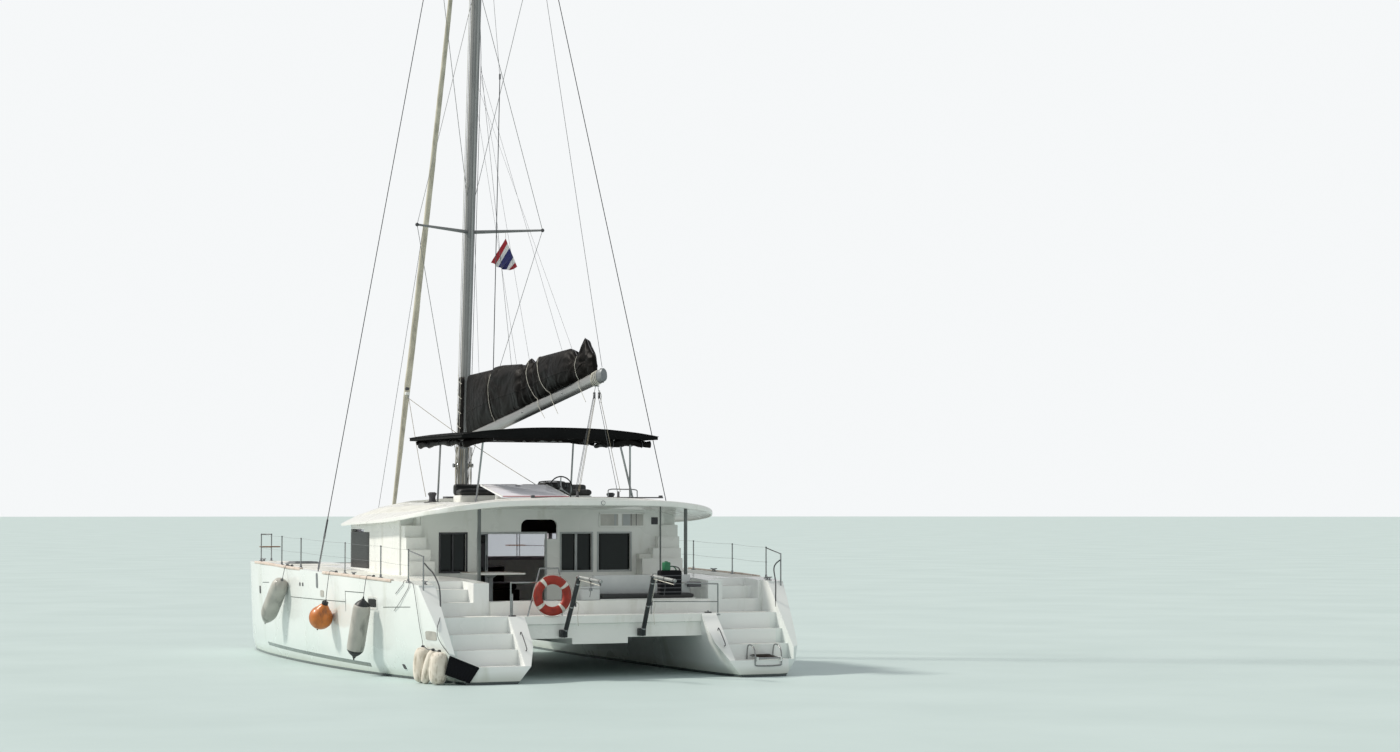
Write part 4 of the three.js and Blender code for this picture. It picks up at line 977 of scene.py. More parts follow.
class Skin:
    """The outside of some CAD nodes, as seen along one axis, for thin trim that lies on it."""

    def __init__(self, *names: str) -> None:
        """Gathers the nodes' triangles."""
        read = (faces_of(name) for name in names)
        self.triangles = np.concatenate([points[corners] for points, corners in read])

    def meet(self, flat: Array, axis: int, side: int) -> Array:
        """Where a line along an axis, coming from outside on one side, first meets the nodes.

        Formula: each point is tested against every triangle by its three shares in the plane across
        the axis, and the outermost of the triangles that hold it gives its height.

        Args:
            flat: The points' two other coordinates, in their order.
            axis: 0, 1 or 2.
            side: 1 from the positive side, -1 from the negative.

        Returns:
            The points in space.
        """
        others = [k for k in range(3) if k != axis]
        a, b, c = (self.triangles[:, k][:, others] for k in range(3))
        tall = self.triangles[:, :, axis]
        b, c = b - a, c - a
        area = b[:, 0] * c[:, 1] - c[:, 0] * b[:, 1]
        solid = np.abs(area) > 1e-9
        a, b, c, tall, area = a[solid], b[solid], c[solid], tall[solid], area[solid]
        p = flat.reshape(-1, 1, 2)
        off = p - a
        v = (off[..., 0] * c[:, 1] - c[:, 0] * off[..., 1]) / area
        w = (b[:, 0] * off[..., 1] - off[..., 0] * b[:, 1]) / area
        u = 1 - v - w
        held = np.minimum(np.minimum(u, v), w) > -1e-6
        at = u * tall[:, 0] + v * tall[:, 1] + w * tall[:, 2]
        best = np.where(held, side * at, -np.inf).max(axis=1)
        known = np.isfinite(best)
        best = np.where(known, best, np.median(best[known]) if known.any() else 0.0)
        out = np.empty((len(best), 3))
        out[:, others] = p[:, 0]
        out[:, axis] = side * best
        return out.reshape(*flat.shape[:-1], 3)

    def strip(
        self, path: Array, width: float, rise: float, axis: int, side: int, sink: float = 0.004
    ) -> Array:
        """A thin strip that lies on the outside along a path.

        Formula: four rails, two at the strip's edges on the surface and two raised off it, each
        point of which is dropped onto the surface along the axis.

        Args:
            path: The path's points in the two other coordinates.
            width: The strip's width.
            rise: How far it stands off the surface.
            axis: The axis along which it is dropped.
            side: The side that it is dropped from.
            sink: How deep its edges go under the surface.

        Returns:
            A grid of points, path by profile, closed round the profile.
        """
        forward = unit(np.gradient(path, axis=0))
        across = np.stack([-forward[:, 1], forward[:, 0]], axis=1) * width / 2
        on = self.meet(np.stack([path - across, path + across], axis=1), axis, side)
        lift = np.zeros(3)
        lift[axis] = side
        low, high = on - lift * sink, on + lift * rise
        return np.stack([low[:, 0], high[:, 0], high[:, 1], low[:, 1], low[:, 0]], axis=1)

    def patch(
        self, corners: Array, rise: float, axis: int, side: int, counts: tuple[int, int] = (16, 8),
        rounding: float = 0.08,
    ) -> Array:
        """A thin plate with round corners that lies on the outside.

        Formula: a grid between four corners whose own corners are drawn in, every point dropped onto
        the surface along the axis and raised, with a last ring that goes under the surface.

        Args:
            corners: The four corners in the two other coordinates, in order round the plate.
            rise: How far it stands off the surface.
            axis: The axis along which it is dropped.
            side: The side that it is dropped from.
            counts: The grid's points each way.
            rounding: How much the corners are drawn in, as a share of the plate.

        Returns:
            A grid of points.
        """
        u, v = np.meshgrid(*(np.linspace(-1, 1, n) for n in counts), indexing="ij")
        pull = rounding * (np.abs(u) * np.abs(v)) ** 6
        s, t = ((1 + u * (1 - pull)) / 2)[..., None], ((1 + v * (1 - pull)) / 2)[..., None]
        a, b, c, d = np.asarray(corners, float)
        flat = a * (1 - s) * (1 - t) + b * s * (1 - t) + c * s * t + d * (1 - s) * t
        on = self.meet(flat, axis, side)
        on[..., axis] += side * rise
        rim = np.pad(on, ((1, 1), (1, 1), (0, 0)), mode="edge")
        edge = np.ones(rim.shape[:2], bool)
        edge[1:-1, 1:-1] = False
        rim[..., axis][edge] -= side * (rise + 0.004)
        return rim


# ---- The studio ----


@dataclass
class Studio:
    """The pale floor at the waterline, the light and the camera at the photograph's place."""

    eye: Point = (-19.29, -51.33, 3.11)
    pitch: float = 92.82
    yaw: float = -24.95
    lens: float = 68.76
    floor_reach: float = 900.0
    sun_from: Point = (-0.62, 0.36, 0.7)
    sun_strength: float = 3.1
    sun_spread: float = 6.0
    sky_strength: float = 0.64
    backdrop: float = 0.97
    sky: str = "#f9fbfc"
    sunlight: str = "#fff8ee"

    def build(self) -> None:
        """Makes the camera, the floor, the sun and the sky."""
        scene = bpy.context.scene
        scene.view_settings.view_transform = "Standard"
        lens = bpy.data.cameras.new("camera")
        lens.lens, lens.sensor_width, lens.clip_end = self.lens, 36, 3000
        camera = bpy.data.objects.new("camera", lens)
        camera.location = self.eye
        camera.rotation_euler = (math.radians(self.pitch), 0, math.radians(self.yaw))
        scene.collection.objects.link(camera)
        scene.camera = camera
        self.floor()
        sun = bpy.data.lights.new("sun", "SUN")
        sun.energy, sun.angle = self.sun_strength, math.radians(self.sun_spread)
        sun.color = linear(self.sunlight)[:3]
        lamp = bpy.data.objects.new("sun", sun)
        toward = unit(np.array(self.sun_from))
        lamp.rotation_euler = (math.acos(toward[2]), 0, math.atan2(toward[0], -toward[1]))
        scene.collection.objects.link(lamp)
        scene.world = bpy.data.worlds.new("sky")
        scene.world.use_nodes = True
        tree = scene.world.node_tree
        seen = add(tree, "LightPath").outputs["Is Camera Ray"]
        strength = add(
            tree, "MapRange", {"Value": seen, "To Min": self.sky_strength, "To Max": self.backdrop}
        )
        light = tree.nodes["Background"]
        light.inputs["Color"].default_value = linear(self.sky)
        tree.links.new(strength.outputs[0], light.inputs["Strength"])

    def floor(self) -> None:
        """Makes the floor, a wide disc at the waterline."""
        ring = circle(self.floor_reach, 64)
        share = np.array([0.0, 0.1, 0.4, 1.0])[:, None, None]
        disc = np.dstack([ring[None] * share, np.zeros((4, 65))])
        Shape().grid(disc, FLOOR).piece("floor", outward=False)


# ---- Hulls ----


@dataclass
class Dress:
    """How a CAD node is dressed: its finish, its sharp angle and the bevel on its edges."""

    node: str
    finish: Finish
    slot: str
    angle: float = 32.0
    bevel: float = 0.0
    body: str = "root"
    others: tuple = ()

    def piece(self) -> Piece:
        """Makes the piece that stands for the node."""
        shape = Shape().node(self.node, self.finish, self.others)
        worn = (self.node + "_skin", self.slot, self.node, self.angle, self.body, self.bevel)
        return shape.piece(*worn, flatten=True)


DECK = Choice(0.75, (-99, -99, 0.25))


@dataclass
class Hulls:
    """Both hulls with their keels, rudders, sail drives and propellers."""

    def build(self) -> None:
        """Dresses the hulls and what is under them."""
        for side in ("port", "starboard"):
            Dress(f"hull_{side}", TOPSIDES, "gelcoat", 30).piece()
            Dress(f"keel_{side}", ANTIFOUL, "antifoul", 30).piece()
            Dress(f"rudder_{side}", ANTIFOUL, "antifoul", 30, body=f"rudder_{side}").piece()
            Dress(f"saildrive_{side}", ANTIFOUL, "alloy", 30).piece()
            Dress(f"propeller_{side}", BRONZE, "bronze", 30, 0.002, body=f"propeller_{side}").piece()


# ---- Lengths of rope and cloth ----


def ripple(u: Array, v: Array, seed: int, waves: int = 7, fine: float = 3.0, sharp: float = 0.6) -> Array:
    """An uneven relief from -1 to 1 over two coordinates, like that of slack cloth.

    Formula: a sum of sine waves of random direction, length and phase; a share of each is folded
    over by its absolute value, which gives it creases.

    Args:
        u: The first coordinate.
        v: The second coordinate.
        seed: The seed of the random draws.
        waves: How many waves are added.
        fine: The most turns in a unit of length.
        sharp: The share of each wave that is creased.

    Returns:
        The relief at each point.
    """
    draw = np.random.default_rng(seed)
    turns = draw.uniform(0.25, 1.0, waves) * fine
    way = draw.uniform(0, np.pi, waves)
    phase = draw.uniform(0, 2 * np.pi, waves)
    arg = 2 * np.pi * turns * (u[..., None] * np.cos(way) + v[..., None] * np.sin(way)) + phase
    wave = (1 - sharp) * np.sin(arg) + sharp * (1 - 2 * np.abs(np.sin(arg / 2)))
    return (wave / turns).sum(axis=-1) / (1 / turns).sum()


@dataclass
class Line:
    """A rope: the points that it passes through, its diameter and its finish."""

    name: str
    points: Sequence[Point]
    diameter: float = 0.012
    finish: Finish = WHITE_ROPE
    body: str = "root"
    count: int = 24

    def free(self, far_end: str = "object", stiffness: str = "limp", lay: str = "hanging") -> None:
        """Args:
            far_end: What its far end is. It is not used.
            stiffness: How stiff it is. It is not used.
            lay: How it lies. It is not used.
        """
        path = smooth_path(self.points, self.count) if self.count else np.asarray(self.points)
        shape = Shape().tube(path, self.diameter / 2, self.finish, 8)
        made = shape.piece(self.name, angle=80, body=self.body)


@dataclass
class Pad:
    """A cushion: a crowned block whose cover a cloth solver swells between its seams."""

    name: str
    centre: Point
    size: Point
    finish: Finish = BLACK_VINYL
    cap: float = 0.014
    fill: float = 0.7
    sag: float = 0.0

    def build(self) -> None:
        """Makes the cushion: block, swelling, then one subdivision."""
        shape = Shape().slab(self.centre, self.size, self.finish, 0.05, 0.04, crown=0.01)
        made = shape.piece(self.name, "black_cloth", angle=80)
        swell(made, self.cap)
        points = np.empty(len(made.data.vertices) * 3, np.float32)
        made.data.vertices.foreach_get("co", points)
        points = points.reshape(-1, 3)
        low = points[:, 2].min()
        share = (points[:, 0] - self.centre[0]) / self.size[0] * 2
        tall = np.clip((points[:, 2] - low) / self.size[2] + 0.4, 0, 1)
        points[:, 2] -= self.sag * (1 - share**2) * tall
        made.data.vertices.foreach_set("co", points.ravel())


PAD_MESH = 0.022
AIR_PRESSURE = 4.0
CLOTH_FRAMES = 20


def settled(piece: Piece) -> bpy.types.Mesh:
    """The mesh that a piece has under its modifiers, which are then cleared.

    Args:
        piece: The piece.

    Returns:
        The mesh, which is not yet the piece's own.
    """
    held = piece.evaluated_get(bpy.context.evaluated_depsgraph_get())
    mesh = bpy.data.meshes.new_from_object(held)
    piece.modifiers.clear()
    return mesh


def swell(piece: Piece, cap: float) -> None:
    """Swells a closed piece with Blender's cloth solver, and keeps the swollen mesh.

    Args:
        piece: The piece, whose mesh is replaced.
        cap: The furthest that a point may move.
    """
    scene, view = bpy.context.scene, bpy.context.view_layer
    remesh = piece.modifiers.new("even", "REMESH")
    remesh.mode, remesh.voxel_size, remesh.use_smooth_shade = "VOXEL", PAD_MESH, True
    view.update()
    even = settled(piece)
    finishes = list(piece.data.materials)
    piece.data = even
    even.materials.clear()
    for material in finishes:
        even.materials.append(material)
    rest = np.empty(len(even.vertices) * 3, np.float32)
    even.vertices.foreach_get("co", rest)
    cloth = piece.modifiers.new("cloth", "CLOTH").settings
    cloth.use_pressure, cloth.uniform_pressure_force = True, AIR_PRESSURE
    cloth.effector_weights.gravity, cloth.quality = 0.0, 4
    for frame in range(1, CLOTH_FRAMES + 1):
        scene.frame_set(frame)
    moved = settled(piece)
    now = np.empty(len(moved.vertices) * 3, np.float32)
    moved.vertices.foreach_get("co", now)
    bpy.data.meshes.remove(moved)
    scene.frame_set(1)
    step = (now - rest).reshape(-1, 3)
    far = np.linalg.norm(step, axis=1, keepdims=True)
    kept = rest.reshape(-1, 3) + step * np.minimum(1, cap / np.maximum(far, 1e-9))
    even.vertices.foreach_set("co", kept.astype(np.float32).ravel())
    even.update()
    finer = piece.modifiers.new("finer", "SUBSURF")
    finer.levels = finer.render_levels = 1
    view.update()
    piece.data = settled(piece)
    piece.data.shade_smooth()


# ---- Boom and sail bag ----


MAST_RAKE = 0.073
MAST_FOOT = (2.06, 3.15)
# Distance aft, top, half width and lean of the bag.
BAG = np.array([
    [0.11, 1.32, 0.09, 0.17], [0.5, 1.28, 0.15, 0.12], [0.9, 1.24, 0.19, 0.08], [1.6, 1.17, 0.2, 0.0],
    [1.68, 1.12, 0.17, 0.0], [1.8, 1.19, 0.21, 0.0], [2.1, 1.15, 0.2, 0.0], [3.0, 0.98, 0.22, 0.0],
    [3.12, 0.9, 0.18, 0.0], [3.18, 0.8, 0.14, 0.0], [3.3, 0.92, 0.2, 0.0], [3.48, 1.0, 0.14, 0.0],
    [3.56, 0.9, 0.19, 0.0], [3.66, 0.88, 0.17, 0.0], [3.74, 0.72, 0.14, 0.0], [3.84, 0.84, 0.2, 0.0],
    [3.95, 0.93, 0.22, 0.0], [5.3, 0.79, 0.22, 0.0], [5.46, 0.72, 0.19, 0.0], [5.58, 0.56, 0.15, 0.0],
    [5.64, 0.5, 0.12, 0.0], [5.74, 0.6, 0.15, 0.0], [5.9, 0.76, 0.15, 0.0], [5.96, 0.86, 0.1, -0.01],
    [6.02, 0.8, 0.13, -0.03], [6.08, 0.82, 0.1, -0.06], [6.14, 0.7, 0.13, -0.08], [6.24, 0.56, 0.12, -0.1],
    [6.33, 0.46, 0.07, -0.12],
])
TIES = ((1.68, 0.85), (3.45, 0.7), (4.05, 0.6), (5.66, 0.45))
TIE_PINCH = np.array([1.66, 3.6, 4.2, 5.72])


def mast_y(z: float | Array) -> float | Array:
    """The mast's y at a height."""
    return MAST_FOOT[0] - (z - MAST_FOOT[1]) * MAST_RAKE


@dataclass
class Boom:
    """The boom with the mainsail in its bag; its own axes are across, aft along the spar, and up."""

    pin: Point = (0.0, 1.7593, 4.53)
    swing: float = math.radians(3.2)
    rise: float = math.radians(9.5)

    def place(self, points: Array) -> Array:
        """Turns points from the boom's own axes (across, aft, up) to the boat's.

        Args:
            points: The points in the boom's own axes.

        Returns:
            The points in the boat's.
        """
        points = np.asarray(points, float)
        across, aft, up = points[..., 0], points[..., 1], points[..., 2]
        forward = -aft * math.cos(self.rise) + up * math.sin(self.rise)
        tall = aft * math.sin(self.rise) + up * math.cos(self.rise)
        x = across * math.cos(self.swing) - forward * math.sin(self.swing)
        y = across * math.sin(self.swing) + forward * math.cos(self.swing)
        return np.stack([x, y, tall], axis=-1) + np.asarray(self.pin)

    def bag_side(self, aft: Array, turn: Array) -> Array:
        """The bag's outside in the boom's own axes.

        Formula: at each distance aft the section is half * |sin t|^0.75 wide at height
        0.09 + (top - 0.09) * (1 - cos t) / 2, so it is round below and folds to a ridge above;
        slack cloth waves out of it by about 40 mm, and folds run out like rays from each tie.

        Args:
            aft: The distance aft of the pin.
            turn: The angle round the section, 0 at the boom and pi at the ridge.

        Returns:
            The points across, aft and up.
        """
        top, half, lean = (np.interp(aft, BAG[:, 0], BAG[:, k]) for k in (1, 2, 3))
        up = 0.09 + (top - 0.09) * (1 - np.cos(turn)) / 2
        side = np.sign(np.sin(turn))
        wide = half * np.abs(np.sin(turn)) ** 0.75
        slack = 1.6 * ripple(aft * 0.8 + 0.5 * up, up * 1.3 - 0.35 * aft + 3 * side, 11, 5, 1.9, 0.8)
        fine = ripple(aft * 1.4, up * 2.2 + 5 * side, 5, 8, 5.0, 0.5)
        ends = np.clip(np.abs(np.sin(turn)) * 2, 0, 1)
        for tie_aft, tie_up in TIES:
            far = np.hypot(aft - tie_aft, up - tie_up)
            rays = np.abs(np.sin(5.0 * np.arctan2(up - tie_up, aft - tie_aft) + 0.7 * tie_aft))
            slack = slack + 1.1 * np.exp(-far / 0.5) * (rays - 0.6)
        near = (aft[..., None] - TIE_PINCH) / 0.14
        pinch = 1 - 0.75 * np.exp(-(near**2)).max(axis=-1)
        across = side * wide + side * ends * (0.034 * slack + 0.006 * fine) * (0.35 + 0.65 * pinch)
        return np.stack([across, aft + lean * up, up + 0.012 * fine * ends], axis=-1)

    def build(self) -> None:
        """Makes the spar, the bag and its ties."""
        self.spar()
        self.bag()
        self.ties()

    def spar(self) -> None:
        """Makes the spar: an oval tube with a groove along each side, its end castings and sheaves."""
        turn = np.linspace(0, 2 * np.pi, 41)
        groove = 1 - 0.05 * np.exp(-((np.abs(np.cos(turn)) - 1) / 0.02) ** 2)
        ring = np.stack([0.075 * np.cos(turn) * groove, 0.125 * np.sin(turn)], axis=1)
        aft = np.array([0.11, 0.13, 0.2, 6.4, 6.43, 6.62, 6.64])
        size = np.array([0.82, 1.0, 1.0, 1.0, 1.03, 1.03, 0.9])
        flat = np.stack([ring[:, 0], np.zeros(41), ring[:, 1]], axis=1)
        rings = flat * size[:, None, None] + aft[:, None, None] * (0, 1, 0)
        shape = Shape().closed(self.place(rings[:4]), BOOM_ALLOY).closed(self.place(rings[3:]), CAST_ALLOY)
        pins = [(0.03, 6.55, up, 0.04, PLASTIC, 16) for up in (-0.1, 0.1)]
        pins += [(0.082, back, 0.0, 0.02, STEEL, 10) for back in (0.6, 3.0, 4.9)]
        for half, back, up, radius, finish, sides in pins:
            shape.rod(self.place([-half, back, up]), self.place([half, back, up]), radius, finish, sides)
        shape.rod(self.place([0, 0.0, -0.045]), self.place([0, 0.0, 0.045]), 0.0235, STEEL, 16)
        shape.slab(self.place([0, 0.07, 0]), (0.036, 0.14, 0.056), CAST_ALLOY, 0.008, 0.005, self.axes())
        for k in range(5):
            back = 6.22 + 0.05 * k + 0.02 * np.sin(turn + k)
            loop = np.column_stack([0.083 * np.cos(turn), back, 0.133 * np.sin(turn)])
            shape.tube(self.place(loop), 0.009, WHITE_ROPE, 6, (0.1, 1, 0.1))
        shape.piece("boom_spar", "alloy", "boom", 35, body="boom")

    def axes(self) -> Array:
        """The boom's own axes as rows: across, forward, up."""
        base = self.place([0, 0, 0])
        return unit(np.stack([self.place(p) - base for p in ([1, 0, 0], [0, -1, 0], [0, 0, 1])]))

    def bag(self) -> None:
        """Makes the bag, its zip along the ridge and its seams."""
        aft, turn = np.meshgrid(np.linspace(0.11, 6.33, 260), np.linspace(0, 2 * np.pi, 49), indexing="ij")
        side = self.bag_side(aft, turn)
        shape = Shape().closed(self.place(side), BLACK_CANVAS, np.stack([aft, turn], axis=-1))
        shape.piece("sail_bag_cover", "black_cloth", "sail_bag", 70, body="boom")
        seams = Shape()
        run = np.linspace(0.14, 6.3, 200)
        for angle in (0.42 * np.pi, 1.58 * np.pi):
            line = self.bag_side(run, np.full_like(run, angle))
            line[:, 0] += 0.002 * np.sign(line[:, 0])
            seam = sweep(line, rounded_rectangle(0.006, 0.03, 0.002))
            seams.grid(self.place(seam), BLACK_CANVAS)
        ridge = self.bag_side(run, np.full_like(run, np.pi)) + (0, 0, 0.002)
        seams.tube(self.place(ridge), 0.009, PLASTIC, 6)
        seams.piece("sail_bag_seams", "black_cloth", angle=60, body="boom")

    def ties(self) -> None:
        """Makes the white ties that come down the bag's port side and round the boom, most ending in a
        hanging tail.
        """
        runs = ((1.65, 1.68, 0.0), (3.78, 3.4, 0.2), (4.4, 4.0, 0.24), (5.66, 5.74, 0.26))
        for number, (low, high, tail) in enumerate(runs, 1):
            turn = np.linspace(1.02 * np.pi, 1.89 * np.pi, 14)
            share = (turn - turn[0]) / (turn[-1] - turn[0])
            side = self.bag_side(high + (low - high) * share, turn)
            side[:, 0] -= 0.011
            down = [[-0.086, low + (0.03 if tail else 0.0), 0.06]]
            if tail:
                down += [[-0.096, low + 0.06, -0.04], [-0.09, low + 0.12, -0.13]]
                down += [[-0.085, low + 0.2, -0.13 - tail / 2], [-0.08, low + 0.28, -0.13 - tail]]
            path = self.place(np.vstack([side, down]))
            Line(f"bag_tie_{number}", path, body="boom", count=46).free("knot")


# ---- Bimini and flybridge ----


@dataclass
class Bimini:
    """The canopy over the helm: frame, stretched cover and the side curtains rolled up under its edges."""

    half: float = 2.03
    fore: float = -0.5
    aft: float = -3.55
    edge: float = 4.495
    crown: float = 4.645

    def cover(self, across: Array, along: Array) -> Array:
        """The cover's height: crown * (1 - |u|^2.4) between the edges, with a sag between the bows.

        Args:
            across: From -1 to 1 across the boat.
            along: From 0 at the fore edge to 1 at the aft edge.

        Returns:
            The points of the cover.
        """
        rise = (self.crown - self.edge) * (1 - np.abs(across) ** 2.4)
        sag = 0.012 * np.sin(np.pi * np.clip((along - 0.02) / 0.87, 0, 1)) * (1 - across**8)
        slack = 0.004 * ripple(across * 2, along * 3, 21, 7, 2.0, 0.3)
        x = self.half * across
        y = self.fore + (self.aft - self.fore) * along
        return np.stack([x, y, self.edge + rise - sag + slack], axis=-1)

    def build(self) -> None:
        """Makes the frame, the cover and the rolled curtains."""
        Dress("bimini_frame", STEEL, "steel", 40).piece()
        across, along = np.meshgrid(np.linspace(-1, 1, 81), np.linspace(0, 1, 61), indexing="ij")
        top = self.cover(across, along)
        hung = np.pad(top, ((1, 1), (1, 1), (0, 0)), mode="edge")
        skirt = np.ones(hung.shape[:2], bool)
        skirt[1:-1, 1:-1] = False
        hung[skirt, 2] = self.edge - 0.06
        marks = np.stack(np.meshgrid(np.linspace(0, 1, 83), np.linspace(0, 1, 63), indexing="ij"), axis=-1)
        shape = Shape().grid(hung, ROOF_CANVAS, marks)
        made = shape.piece("bimini_cover", "black_cloth", "bimini_canopy", 80, outward=False)
        thicken(made, 0.003)
        self.trim()
        self.curtains()

    def trim(self) -> None:
        """Makes the sewn hem round the cover, the seams across it and the pockets over the bows."""
        shape = Shape()
        run = np.linspace(-1, 1, 60)
        for at in (0.0, 0.02, 0.33, 0.66, 0.89, 1.0):
            line = self.cover(run, np.full_like(run, at)) + (0, 0, 0.002)
            wide = 0.05 if at in (0.0, 1.0) else 0.03
            shape.closed(sweep(line, rounded_rectangle(wide, 0.008, 0.003)), ROOF_CANVAS)
        for at in (-1.0, 1.0):
            line = self.cover(np.full(60, at), (run + 1) / 2) + (0, 0, 0.002)
            shape.closed(sweep(line, rounded_rectangle(0.05, 0.008, 0.003)), ROOF_CANVAS)
        shape.piece("bimini_seams", "black_cloth", angle=50)

    def curtains(self) -> None:
        """Makes the curtains, rolled and strapped up under the edges, each of its own slackness."""
        rolls = (
            # name, start, end, thickness, droop, seed
            ("aft", (-1.96, -3.42, 4.35), (1.92, -3.42, 4.35), 0.075, 0.14, 4),
            ("fore", (-1.93, -0.62, 4.4), (1.9, -0.62, 4.4), 0.055, 0.04, 9),
            ("port", (-1.9, -0.72, 4.38), (-1.9, -3.2, 4.38), 0.056, 0.12, 17),
            ("starboard", (1.88, -0.72, 4.4), (1.88, -3.2, 4.4), 0.05, 0.05, 23),
        )
        for name, start, end, thick, droop, seed in rolls:
            line = straight(start, end, 150)
            long = float(np.linalg.norm(np.subtract(end, start)))
            s = np.linspace(0, long, 150)
            turn = np.linspace(0, 2 * np.pi, 25)
            crosswise = abs(end[0] - start[0]) > 1
            if crosswise:
                along = (self.fore - line[:, 1]) / (self.fore - self.aft)
                line[:, 2] += self.cover(line[:, 0] / self.half, along)[:, 2] - self.edge
            straps = np.abs(((s / 0.62) % 1) - 0.5) * 2
            tied = 1 - 0.34 * np.exp(-(((1 - straps) / 0.12) ** 2))
            lump = 1 + 0.6 * ripple(s, np.zeros_like(s), seed, 7, 2.2, 0.7)
            slack = 0.6 + 1.2 * ripple(s, np.ones_like(s), seed + 1, 6, 1.1, 0.6)
            line[:, 2] -= droop * slack * np.clip(straps, 0.2, 1)
            folds = 1 + 0.2 * ripple(s[:, None] * 1.2, np.cos(turn)[None] * 0.5, seed + 2, 8, 4.0, 0.7)
            radius = thick * (tied * lump)[:, None] * folds
            profile = np.stack([np.cos(turn) * radius, np.sin(turn) * radius * 1.25], axis=-1)
            shape = Shape().closed(sweep(line, profile), BLACK_CANVAS)
            for at in np.flatnonzero(np.diff(np.sign(straps - 0.97)) > 0):
                band = circle(1, 16) * (thick * 1.02 * lump[at], thick * 1.2 * lump[at])
                flat = (0, 1, 0) if crosswise else (1, 0, 0)
                loop = line[at] + band[:, :1] * flat + band[:, 1:] * (0, 0, 1)
                shape.tube(loop, 0.006, PLASTIC, 6, unit(np.subtract(end, start)))
            shape.piece(f"curtain_roll_{name}", "black_cloth", angle=75)


